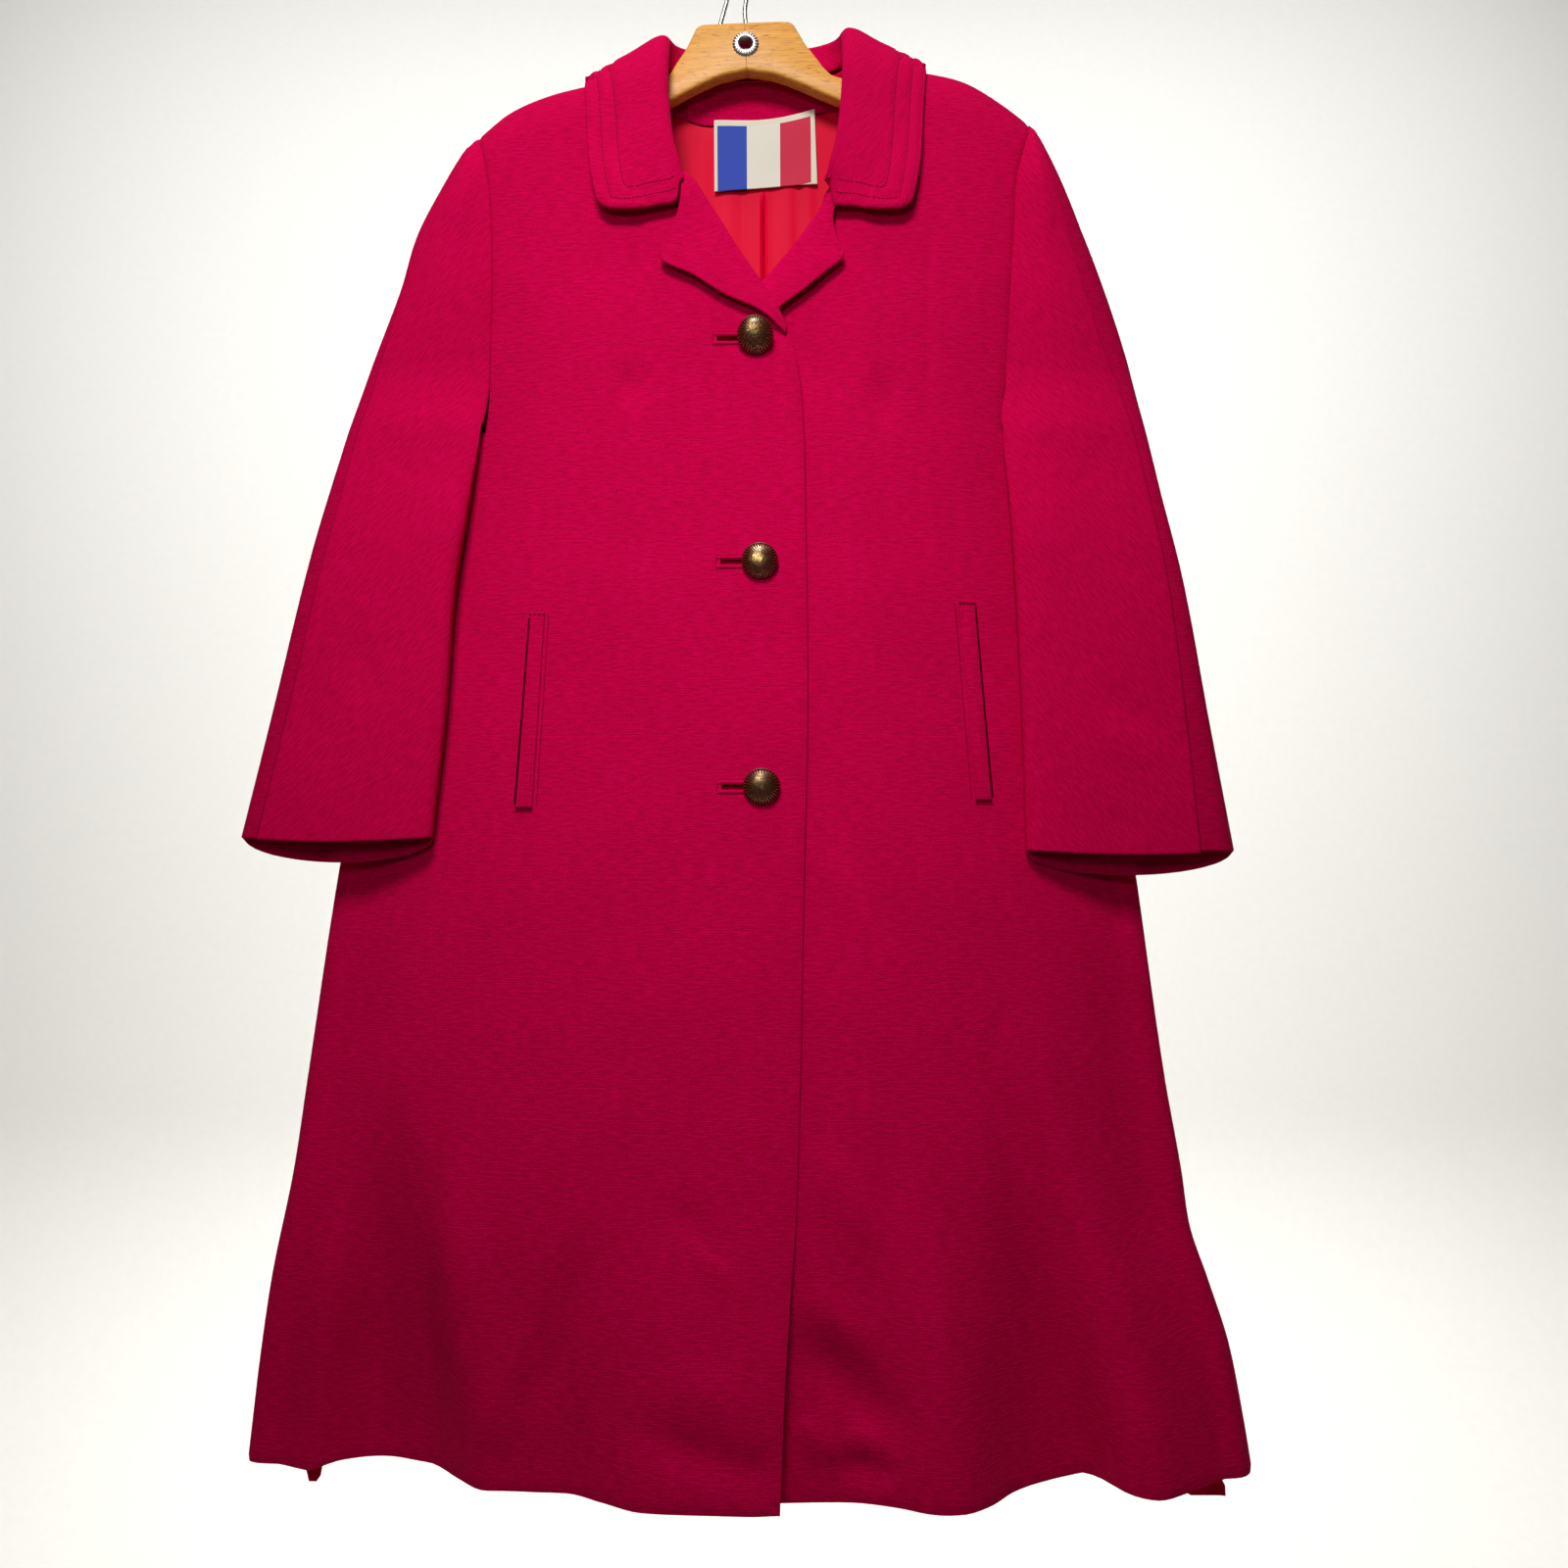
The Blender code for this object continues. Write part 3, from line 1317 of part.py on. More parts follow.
def main():
    for old in list(bpy.data.objects):
        bpy.data.objects.remove(old, do_unlink=True)
    wool = finish("magenta wool crepe", (0.52, 0.0, 0.06), 0.85)
    satin = finish("red lining", (0.8, 0.0, 0.05), 0.4)
    woven = finish("woven label", (0.85, 0.85, 0.78), 0.6)
    gold = finish("gilt brass", (0.83, 0.6, 0.25), 0.3, 1.0)
    beech = finish("varnished beech", (0.62, 0.33, 0.1), 0.35)
    nickel = finish("nickel plate", (0.75, 0.75, 0.72), 0.3, 1.0)

    fronts = {side: front_panel(side, wool) for side in (RIGHT, LEFT)}
    back_panel(wool)
    for side in (RIGHT, LEFT):
        sleeve_front(side, wool)
        sleeve_back(side, wool)
        lapel(side, wool)
        welt(side, fronts[side], wool)
    collar(wool)
    back_neck_facing(wool)
    lining_back(satin)
    label(woven)
    for which in BUTTONS:
        buttonhole(which, fronts[RIGHT], wool)
        button(which, gold)
    eyelet(nickel)
    cutters = [
        turned_bore(),
        drill("cut_shank", HANGER_X, WIRE_RADIUS + SEAM_GAP, -30, SHANK_FOOT_Z - SEAM_GAP),
        drill("cut_tail", TAIL_X, WIRE_RADIUS + 0.6, -30, TAIL_FOOT_Z - SEAM_GAP),
    ]
    for side in (RIGHT, LEFT):
        hanger_half(side, cutters, beech)
    hook(nickel)


def turned_bore():
    """A cutter for the eyelet's hole through the wood."""
    radius = EYELET_BORE + 1.2 + SEAM_GAP
    steps = 24
    outline = []
    for k in range(steps):
        angle = 2 * math.pi * k / steps
        outline.append(
            (
                HANGER_X - COAT_X + radius * math.cos(angle),
                EYELET_Z + radius * math.sin(angle),
            )
        )
    return block("cut_eyelet", outline, PLANE_Y - WOOD, PLANE_Y + WOOD, None)


main()
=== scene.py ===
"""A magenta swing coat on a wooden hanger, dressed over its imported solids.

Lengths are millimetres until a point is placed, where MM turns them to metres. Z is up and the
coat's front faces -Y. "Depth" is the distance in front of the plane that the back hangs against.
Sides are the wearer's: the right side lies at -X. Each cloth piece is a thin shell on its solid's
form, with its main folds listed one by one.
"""

from __future__ import annotations

import logging
import math
from dataclasses import dataclass, field
from enum import Enum
from typing import Callable, NamedTuple

import bmesh
import bpy
import numpy as np
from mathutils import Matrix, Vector


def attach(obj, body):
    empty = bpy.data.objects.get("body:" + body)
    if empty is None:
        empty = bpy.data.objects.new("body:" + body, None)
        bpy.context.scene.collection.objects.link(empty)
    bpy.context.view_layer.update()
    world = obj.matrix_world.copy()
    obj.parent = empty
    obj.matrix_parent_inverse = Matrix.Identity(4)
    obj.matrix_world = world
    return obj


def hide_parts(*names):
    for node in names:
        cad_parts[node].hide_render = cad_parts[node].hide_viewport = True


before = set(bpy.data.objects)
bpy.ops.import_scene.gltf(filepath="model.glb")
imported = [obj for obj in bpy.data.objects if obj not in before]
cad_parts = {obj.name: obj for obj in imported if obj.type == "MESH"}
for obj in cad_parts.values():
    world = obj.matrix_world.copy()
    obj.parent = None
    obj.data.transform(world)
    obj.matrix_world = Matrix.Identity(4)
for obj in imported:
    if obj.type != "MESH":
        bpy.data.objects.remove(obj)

LOG = logging.getLogger("coat")
MM = 0.001
BODY = "root"
CLOTH_UV = "Cloth"


class Side(Enum):
    """The wearer's side, as the sign of X."""

    RIGHT = -1
    LEFT = 1

    @property
    def sign(self) -> int:
        """The side's sign along X."""
        return self.value

    @property
    def word(self) -> str:
        """The side as it stands in node names."""
        return self.name.lower()


class Hold(Enum):
    """How a sheet of cloth is held."""

    HUNG = "hung"
    FOLDED = "folded"
    LAID = "laid"


class Grain(Enum):
    """What a piece's cloth coordinates follow: level threads, its own rows, or its corner."""

    LEVEL = "level"
    RUN = "run"
    CORNER = "corner"


# Rows of the named tables


class SleeveRow(NamedTuple):
    """Half widths of a sleeve: its armhole or fold, its outer edge and its seam's inset."""

    z: float
    inner: float
    outer: float
    strip: float


class SideRow(NamedTuple):
    """The body's side edge: half width and depth."""

    z: float
    half: float
    depth: float


class LineRow(NamedTuple):
    """A point of an edge or line on the coat."""

    x: float
    z: float


class DepthRow(NamedTuple):
    """Depths of the front across its width."""

    z: float
    centre: float
    half: float
    armhole: float
    turn: float


class WaveRow(NamedTuple):
    """A wave of the hem: its place on the hem and above, its depth and its reach."""

    low: float
    high: float
    depth: float
    reach: float


class LapRow(NamedTuple):
    """How far the left front lies behind the right one."""

    z: float
    drop: float


class NeckRow(NamedTuple):
    """The back's neck edge."""

    x: float
    z: float
    depth: float


class BackRow(NamedTuple):
    """Depth of the back's flat."""

    z: float
    depth: float


class CollarRow(NamedTuple):
    """A section of the collar: foot of its stand, top of its roll, outer edge."""

    foot_x: float
    foot_z: float
    foot_depth: float
    roll_x: float
    roll_z: float
    roll_depth: float
    edge_x: float
    edge_z: float
    edge_depth: float
    roll: float


class LapelRow(NamedTuple):
    """A point of the roll line and of the lapel's outer edge beside it."""

    roll_x: float
    roll_z: float
    edge_x: float
    edge_z: float


class Fold(NamedTuple):
    """A soft ridge (height over 0) or trough that runs along a path of (x, z) points."""

    path: tuple[tuple[float, float], ...]
    height: float
    width: float
    fade_in: float = 0.3
    fade_out: float = 0.3


# Numbers and curves


def smooth_curve(nodes: np.ndarray, values: np.ndarray, at: np.ndarray) -> np.ndarray:
    """A monotone cubic through the nodes, held flat past both ends.

    Args:
        nodes: Positions, one row for all points or one for each.
        values: Values at the nodes, in the same form.
        at: Positions to read.

    Returns:
        One value for each position, in the shape of at.
    """
    at = np.asarray(at, float)
    flat = at.reshape(-1)
    nodes, values = np.atleast_2d(nodes).astype(float), np.atleast_2d(values).astype(float)
    if nodes[0, 0] > nodes[0, -1]:
        nodes, values = nodes[:, ::-1], values[:, ::-1]
    count = nodes.shape[1]
    nodes = np.broadcast_to(nodes, (len(flat), count))
    values = np.broadcast_to(values, (len(flat), count))
    step = np.diff(nodes, axis=1)
    slope = np.diff(values, axis=1) / step
    tangent = np.concatenate([slope[:, :1], (slope[:, 1:] + slope[:, :-1]) / 2, slope[:, -1:]], 1)
    for i in range(count - 1):
        level = slope[:, i] == 0
        safe = np.where(level, 1, slope[:, i])
        first = np.where(level, 0, np.maximum(0, tangent[:, i] / safe))
        last = np.where(level, 0, np.maximum(0, tangent[:, i + 1] / safe))
        size = np.hypot(first, last)
        limit = np.where(size > 3, 3 / np.maximum(size, 1e-9), 1)
        tangent[:, i] = first * limit * slope[:, i]
        tangent[:, i + 1] = last * limit * slope[:, i]
    index = np.clip((nodes <= flat[:, None]).sum(axis=1) - 1, 0, count - 2)
    row = np.arange(len(flat))
    t = np.clip((flat - nodes[row, index]) / step[row, index], 0, 1)
    found = (
        values[row, index] * (2 * t**3 - 3 * t**2 + 1)
        + step[row, index] * tangent[row, index] * (t**3 - 2 * t**2 + t)
        + values[row, index + 1] * (3 * t**2 - 2 * t**3)
        + step[row, index] * tangent[row, index + 1] * (t**3 - t**2)
    )
    return found.reshape(at.shape)


def column(table: tuple, name: str) -> np.ndarray:
    """One named column of a table."""
    return np.array([getattr(row, name) for row in table], float)


def read(table: tuple, name: str, at: np.ndarray, key: str = "z") -> np.ndarray:
    """A named column of a table, read at positions of its key column."""
    return smooth_curve(column(table, key), column(table, name), at)


def mix(a: np.ndarray, b: np.ndarray, share: np.ndarray) -> np.ndarray:
    """A straight mix from a at share 0 to b at share 1."""
    return a + (b - a) * share


def ease(start: float, end: float, at: np.ndarray) -> np.ndarray:
    """0 before start, 1 past end and a smooth step between them."""
    t = np.clip((np.asarray(at, float) - start) / (end - start), 0, 1)
    return t * t * (3 - 2 * t)


def bow(t: np.ndarray, power: float) -> np.ndarray:
    """A rounded arch that is 1 at t = 0 and falls steeply to 0 at t = 1."""
    return (1 - np.minimum(1, np.abs(t)) ** power) ** (1 / power)


def bump(distance: np.ndarray, width: float) -> np.ndarray:
    """A soft bell, 1 on the line and near 0 at twice the width."""
    return np.exp(-((distance / width) ** 2))


def path_distance(
    path: tuple[tuple[float, float], ...], x: np.ndarray, z: np.ndarray
) -> tuple[np.ndarray, np.ndarray]:
    """Distance from a path of straight steps, and how far along it the nearest point lies.

    Args:
        path: The path's (x, z) points.
        x: Positions along X.
        z: Positions along Z.

    Returns:
        Distance in millimetres and share of the path's length, in the shape of x.
    """
    points = np.array(path, float)
    lengths = np.linalg.norm(np.diff(points, axis=0), axis=1)
    total = lengths.sum()
    best, share, run = np.full(np.shape(x), 1e9), np.zeros(np.shape(x)), 0.0
    for start, end, length in zip(points, points[1:], lengths):
        step = (end - start) / length
        along = np.clip((x - start[0]) * step[0] + (z - start[1]) * step[1], 0, length)
        gap = np.hypot(x - start[0] - along * step[0], z - start[1] - along * step[1])
        closer = gap < best
        best = np.where(closer, gap, best)
        share = np.where(closer, (run + along) / total, share)
        run += length
    return best, share


def relief(folds: tuple[Fold, ...], x: np.ndarray, z: np.ndarray) -> np.ndarray:
    """The folds' heights, added up, at points of a panel.

    Args:
        folds: The folds to add up.
        x: Positions along X, in millimetres.
        z: Heights, in millimetres.

    Returns:
        Heights in millimetres, in the shape of x.
    """
    total = np.zeros(np.shape(x))
    for fold in folds:
        gap, share = path_distance(fold.path, x, z)
        strength = ease(0, fold.fade_in, share) if fold.fade_in else 1.0
        if fold.fade_out:
            strength = strength * (1 - ease(1 - fold.fade_out, 1, share))
        total += fold.height * strength * bump(gap, fold.width)
    return total


def unevenness(x: np.ndarray, z: np.ndarray, phase: float, size: float) -> np.ndarray:
    """Slow, irregular swells of hanging cloth, about size millimetres high.

    Args:
        x: Positions along X, in millimetres.
        z: Heights, in millimetres.
        phase: Where the swells start, so that two panels differ.
        size: Their height in millimetres.

    Returns:
        Heights in millimetres, in the shape of x.
    """
    swell = np.sin(x / 31 + 1.7 * np.sin(z / 83 + phase) + phase)
    swell += 0.7 * np.sin(x / 53 - z / 71 + 2.3 * phase)
    swell += 0.5 * np.sin(z / 39 + 1.3 * np.sin(x / 47 - phase))
    return size * swell / 2.2


def placed(points: np.ndarray, centre: float) -> np.ndarray:
    """Points of (x, depth, z) in millimetres as metres in the frame."""
    x, depth, z = points[..., 0], points[..., 1], points[..., 2]
    return np.stack([(x + centre) * MM, (CoatForm.PLANE_Y - depth) * MM, z * MM], axis=-1)


# Nodes and finishes


def add_node(
    tree: bpy.types.NodeTree,
    kind: str,
    settings: dict | None = None,
    links: dict | None = None,
) -> bpy.types.Node:
    """Adds a node with its settings and links.

    Args:
        tree: The node tree that takes it.
        kind: The node's type.
        settings: Input defaults by socket name or number, or the node's own settings by name.
        links: Source sockets by the name or number of the input that they feed.

    Returns:
        The new node.
    """
    node = tree.nodes.new(kind)
    for key, value in (settings or {}).items():
        if isinstance(key, int) or key in node.inputs:
            node.inputs[key].default_value = value
        else:
            setattr(node, key, value)
    for key, source in (links or {}).items():
        tree.links.new(source, node.inputs[key])
    return node


def linear(code: str) -> tuple[float, float, float, float]:
    """An sRGB hex colour as linear red, green, blue and alpha.

    Args:
        code: The colour, as # and six hex digits.

    Returns:
        Four numbers from 0 to 1.
    """
    parts = [int(code[i : i + 2], 16) / 255 for i in (1, 3, 5)]
    parts = [c / 12.92 if c <= 0.04045 else ((c + 0.055) / 1.055) ** 2.4 for c in parts]
    return (*parts, 1.0)


def empty_material(name: str) -> tuple[bpy.types.Material, bpy.types.NodeTree, bpy.types.Node]:
    """A new material, its node tree and its Principled shader.

    Args:
        name: The material's name.

    Returns:
        The material, its node tree and its shader.
    """
    material = bpy.data.materials.new(name)
    material.use_nodes = True
    tree = material.node_tree
    return material, tree, tree.nodes["Principled BSDF"]


@dataclass(frozen=True)
class WoolCrepe:
    """Ribbed wool crepe: a dull napped cloth with fine, broken crossways ribs and pebbles."""

    name: str = "ribbed wool crepe"
    light: str = "#E00056"
    dark: str = "#B00032"
    rib_mm: float = 1.7  # the real rib is about 1 mm; drawn this coarse to show in the render
    dash_mm: float = 9.0
    twill: float = 0.0

    def material(self) -> bpy.types.Material:
        """Builds the cloth's material on the piece's own cloth coordinates, in metres.

        Returns:
            The finished material.
        """
        material, tree, shader = empty_material(self.name)
        cloth = add_node(tree, "ShaderNodeUVMap", {"uv_map": CLOTH_UV}).outputs[0]
        turn = {"Rotation": (0, 0, self.twill)}
        turned = add_node(tree, "ShaderNodeMapping", turn, {"Vector": cloth}).outputs[0]
        wave = {
            "bands_direction": "Y",
            "Scale": 0.314 / (self.rib_mm * MM),
            "Distortion": 3.0,
            "Detail": 2.0,
            "Detail Scale": 0.9,
        }
        weave = add_node(tree, "ShaderNodeTexWave", wave, {"Vector": turned}).outputs["Fac"]
        long, short = 1 / (self.dash_mm * MM), 1 / (self.rib_mm * MM)
        weave = add_node(
            tree, "ShaderNodeMath", {"operation": "MULTIPLY", 1: 0.2}, {0: weave}
        ).outputs[0]
        for scale, low, high, share in (
            ((long, short, 1), 0.36, 0.68, 0.46),
            ((short, short, 1), 0.32, 0.7, 0.34),
        ):
            spot = add_node(tree, "ShaderNodeMapping", {"Scale": scale}, {"Vector": turned})
            fine = {"Scale": 1.0, "Detail": 2.0}
            noise = add_node(tree, "ShaderNodeTexNoise", fine, {"Vector": spot.outputs[0]})
            part = add_node(
                tree, "ShaderNodeMapRange", {1: low, 2: high, 4: share}, {0: noise.outputs["Fac"]}
            )
            weave = add_node(tree, "ShaderNodeMath", {}, {0: weave, 1: part.outputs[0]}).outputs[0]
        ends = {"data_type": "RGBA", 6: linear(self.dark), 7: linear(self.light)}
        colour = add_node(tree, "ShaderNodeMix", ends, {0: weave}).outputs[2]
        spot = add_node(tree, "ShaderNodeMapping", {"Scale": (9, 14, 1)}, {"Vector": cloth})
        patch = add_node(
            tree, "ShaderNodeTexNoise", {"Scale": 1.0, "Detail": 3.0}, {"Vector": spot.outputs[0]}
        )
        ends = {"data_type": "RGBA", 6: (0.88, 0.88, 0.88, 1), 7: (1.09, 1.09, 1.09, 1)}
        shade = add_node(tree, "ShaderNodeMix", ends, {0: patch.outputs["Fac"]}).outputs[2]
        both = {"data_type": "RGBA", "blend_type": "MULTIPLY", 0: 1.0}
        colour = add_node(tree, "ShaderNodeMix", both, {6: colour, 7: shade}).outputs[2]
        tree.links.new(colour, shader.inputs["Base Color"])
        raised = {"Strength": 0.4, "Distance": 0.0007}
        bump_node = add_node(tree, "ShaderNodeBump", raised, {"Height": weave})
        tree.links.new(bump_node.outputs[0], shader.inputs["Normal"])
        shader.inputs["Roughness"].default_value = 0.95
        shader.inputs["Specular IOR Level"].default_value = 0.04
        shader.inputs["Sheen Weight"].default_value = 0.07
        shader.inputs["Sheen Roughness"].default_value = 0.45
        shader.inputs["Sheen Tint"].default_value = linear("#FF2C6E")
        return material


@dataclass(frozen=True)
class LiningSatin:
    """Acetate satin: a smooth red lining, brighter than the cloth, with a soft long gloss."""

    name: str = "acetate satin lining"
    light: str = "#EE0038"
    dark: str = "#D60030"

    def material(self) -> bpy.types.Material:
        """Builds the lining's material; its fine filaments run down the piece.

        Returns:
            The finished material.
        """
        material, tree, shader = empty_material(self.name)
        cloth = add_node(tree, "ShaderNodeUVMap", {"uv_map": CLOTH_UV}).outputs[0]
        found = []
        for scale in ((1500, 90, 1), (16, 7, 1)):
            spot = add_node(tree, "ShaderNodeMapping", {"Scale": scale}, {"Vector": cloth})
            found.append(
                add_node(
                    tree,
                    "ShaderNodeTexNoise",
                    {"Scale": 1.0, "Detail": 2.0},
                    {"Vector": spot.outputs[0]},
                ).outputs["Fac"]
            )
        threads, patch = found
        share = add_node(tree, "ShaderNodeMapRange", {1: 0.3, 2: 0.7}, {0: patch}).outputs[0]
        ends = {"data_type": "RGBA", 6: linear(self.dark), 7: linear(self.light)}
        colour = add_node(tree, "ShaderNodeMix", ends, {0: share}).outputs[2]
        tree.links.new(colour, shader.inputs["Base Color"])
        raised = {"Strength": 0.2, "Distance": 0.0002}
        bump_node = add_node(tree, "ShaderNodeBump", raised, {"Height": threads})
        tree.links.new(bump_node.outputs[0], shader.inputs["Normal"])
        shader.inputs["Roughness"].default_value = 0.46
        shader.inputs["Specular IOR Level"].default_value = 0.05
        return material


@dataclass(frozen=True)
class WovenRibbon:
    """A woven satin ribbon label: blue, white and red stripes inside a narrow pale border."""

    name: str = "woven satin label"
    width_mm: float = 80.0
    height_mm: float = 57.0
    border_mm: float = 2.6
    pale: str = "#EFE8D2"
    blue: str = "#3A52BA"
    white: str = "#F1ECDC"
    red: str = "#D83450"

    def material(self) -> bpy.types.Material:
        """Builds the label's material from its cloth coordinates.

        Returns:
            The finished material.
        """
        material, tree, shader = empty_material(self.name)
        cloth = add_node(tree, "ShaderNodeUVMap", {"uv_map": CLOTH_UV}).outputs[0]
        apart = add_node(tree, "ShaderNodeSeparateXYZ", {}, {0: cloth})
        edge_x, edge_z = self.border_mm / self.width_mm, self.border_mm / self.height_mm
        stripes = (
            (0.0, self.pale), (edge_x, self.blue), (0.325, self.white), (0.66, self.red),
            (1 - edge_x, self.pale),
        )
        border = ((0.0, "#FFFFFF"), (edge_z, "#000000"), (1 - edge_z, "#FFFFFF"))
        found = []
        for place, size, bands in ((0, self.width_mm, stripes), (1, self.height_mm, border)):
            share = add_node(
                tree, "ShaderNodeMapRange", {1: 0.0, 2: size * MM}, {0: apart.outputs[place]}
            )
            ramp = add_node(tree, "ShaderNodeValToRGB", {}, {0: share.outputs[0]})
            ramp.color_ramp.interpolation = "CONSTANT"
            for i, (start, colour) in enumerate(bands):
                stops = ramp.color_ramp.elements
                stop = stops[i] if i < 2 else stops.new(start)
                stop.position, stop.color = start, linear(colour)
            found.append(ramp.outputs[0])
        ends = {"data_type": "RGBA", 7: linear(self.pale)}
        colour = add_node(tree, "ShaderNodeMix", ends, {0: found[1], 6: found[0]}).outputs[2]
        spot = add_node(tree, "ShaderNodeMapping", {"Scale": (900, 2600, 1)}, {"Vector": cloth})
        threads = add_node(
            tree, "ShaderNodeTexNoise", {"Scale": 1.0, "Detail": 1.0}, {"Vector": spot.outputs[0]}
        ).outputs["Fac"]
        ends = {"data_type": "RGBA", 6: (0.82, 0.82, 0.82, 1), 7: (1.08, 1.08, 1.08, 1)}
        worn = add_node(tree, "ShaderNodeMix", ends, {0: threads}).outputs[2]
        both = {"data_type": "RGBA", "blend_type": "MULTIPLY", 0: 1.0}
        colour = add_node(tree, "ShaderNodeMix", both, {6: colour, 7: worn}).outputs[2]
        tree.links.new(colour, shader.inputs["Base Color"])
        raised = {"Strength": 0.35, "Distance": 0.0003}
        bump_node = add_node(tree, "ShaderNodeBump", raised, {"Height": threads})
        tree.links.new(bump_node.outputs[0], shader.inputs["Normal"])
        shader.inputs["Roughness"].default_value = 0.6
        shader.inputs["Specular IOR Level"].default_value = 0.1
        return material


@dataclass(frozen=True)
class Metal:
    """A plated or gilt metal with faint handling marks."""

    name: str
    colour: str
    worn: str
    roughness: float
    metallic: float = 1.0

    def material(self) -> bpy.types.Material:
        """Builds the metal's material; its marks are about 2.5 mm across.

        Returns:
            The finished material.
        """
        material, tree, shader = empty_material(self.name)
        where = add_node(tree, "ShaderNodeTexCoord").outputs["Object"]
        noise = {"Scale": 420.0, "Detail": 3.0}
        marks = add_node(tree, "ShaderNodeTexNoise", noise, {"Vector": where}).outputs["Fac"]
        share = add_node(tree, "ShaderNodeMapRange", {1: 0.35, 2: 0.7}, {0: marks}).outputs[0]
        ends = {"data_type": "RGBA", 6: linear(self.colour), 7: linear(self.worn)}
        colour = add_node(tree, "ShaderNodeMix", ends, {0: share}).outputs[2]
        tree.links.new(colour, shader.inputs["Base Color"])
        rough = {1: 0.3, 2: 0.7, 3: self.roughness * 0.75, 4: self.roughness * 1.35}
        rough_node = add_node(tree, "ShaderNodeMapRange", rough, {0: marks})
        tree.links.new(rough_node.outputs[0], shader.inputs["Roughness"])
        raised = {"Strength": 0.12, "Distance": 0.0002}
        bump_node = add_node(tree, "ShaderNodeBump", raised, {"Height": marks})
        tree.links.new(bump_node.outputs[0], shader.inputs["Normal"])
        shader.inputs["Metallic"].default_value = self.metallic
        return material


@dataclass(frozen=True)
class SewingThread:
    """Mercerised sewing thread: smooth, twisted and darker than the cloth that it sinks into."""

    name: str = "mercerised sewing thread"
    light: str = "#980034"
    dark: str = "#700024"

    def material(self) -> bpy.types.Material:
        """Builds the thread's material; its twist is about 0.5 mm long.

        Returns:
            The finished material.
        """
        material, tree, shader = empty_material(self.name)
        where = add_node(tree, "ShaderNodeTexCoord").outputs["Object"]
        noise = {"Scale": 2000.0, "Detail": 1.0}
        twist = add_node(tree, "ShaderNodeTexNoise", noise, {"Vector": where}).outputs["Fac"]
        ends = {"data_type": "RGBA", 6: linear(self.dark), 7: linear(self.light)}
        colour = add_node(tree, "ShaderNodeMix", ends, {0: twist}).outputs[2]
        tree.links.new(colour, shader.inputs["Base Color"])
        raised = {"Strength": 0.3, "Distance": 0.0002}
        bump_node = add_node(tree, "ShaderNodeBump", raised, {"Height": twist})
        tree.links.new(bump_node.outputs[0], shader.inputs["Normal"])
        shader.inputs["Roughness"].default_value = 0.7
        shader.inputs["Specular IOR Level"].default_value = 0.08
        return material


@dataclass(frozen=True)
class VarnishedBeech:
    """Beech under amber varnish: short flecked grain along X and a hard warm gloss."""

    name: str = "varnished beech"
    light: str = "#F0AC4A"
    dark: str = "#D49038"
    fleck: str = "#9A5A1E"

    def material(self) -> bpy.types.Material:
        """Builds the wood's material; the real flecks are 2 to 4 mm long and 0.3 mm wide.

        Returns:
            The finished material.
        """
        material, tree, shader = empty_material(self.name)
        where = add_node(tree, "ShaderNodeTexCoord").outputs["Object"]
        bent = add_node(
            tree, "ShaderNodeMapping", {"Rotation": (0, 0.05, 0)}, {"Vector": where}
        ).outputs[0]
        found = []
        for scale, detail, low, high in (
            ((26, 300, 520), 5.0, 0.3, 0.72),
            ((140, 900, 1500), 2.0, 0.58, 0.74),
        ):
            spot = add_node(tree, "ShaderNodeMapping", {"Scale": scale}, {"Vector": bent})
            noise = add_node(
                tree,
                "ShaderNodeTexNoise",
                {"Scale": 1.0, "Detail": detail},
                {"Vector": spot.outputs[0]},
            )
            ends = {1: low, 2: high}
            found.append(
                add_node(tree, "ShaderNodeMapRange", ends, {0: noise.outputs["Fac"]}).outputs[0]
            )
        ends = {"data_type": "RGBA", 6: linear(self.light), 7: linear(self.dark)}
        colour = add_node(tree, "ShaderNodeMix", ends, {0: found[0]}).outputs[2]
        ends = {"data_type": "RGBA", 7: linear(self.fleck)}
        colour = add_node(tree, "ShaderNodeMix", ends, {0: found[1], 6: colour}).outputs[2]
        tree.links.new(colour, shader.inputs["Base Color"])
        raised = {"Strength": 0.1, "Distance": 0.0003}
        bump_node = add_node(tree, "ShaderNodeBump", raised, {"Height": found[0]})
        tree.links.new(bump_node.outputs[0], shader.inputs["Normal"])
        shader.inputs["Roughness"].default_value = 0.45
        shader.inputs["Specular IOR Level"].default_value = 0.18
        shader.inputs["Coat Weight"].default_value = 0.08
        shader.inputs["Coat Roughness"].default_value = 0.2
        return material


@dataclass(frozen=True)
class StudioPaper:
    """Matt backdrop paper for the floor and the wall behind."""

    name: str = "pale backdrop paper"
    light: str = "#EDEBE6"
    dark: str = "#E7E5E0"

    def material(self) -> bpy.types.Material:
        """Builds the paper's material; its cloudiness is about 25 mm across.

        Returns:
            The finished material.
        """
        material, tree, shader = empty_material(self.name)
        where = add_node(tree, "ShaderNodeTexCoord").outputs["Object"]
        noise = {"Scale": 40.0, "Detail": 3.0}
        fibre = add_node(tree, "ShaderNodeTexNoise", noise, {"Vector": where}).outputs["Fac"]
        ends = {"data_type": "RGBA", 6: linear(self.light), 7: linear(self.dark)}
        colour = add_node(tree, "ShaderNodeMix", ends, {0: fibre}).outputs[2]
        tree.links.new(colour, shader.inputs["Base Color"])
        shader.inputs["Roughness"].default_value = 0.95
        return material


# Meshes


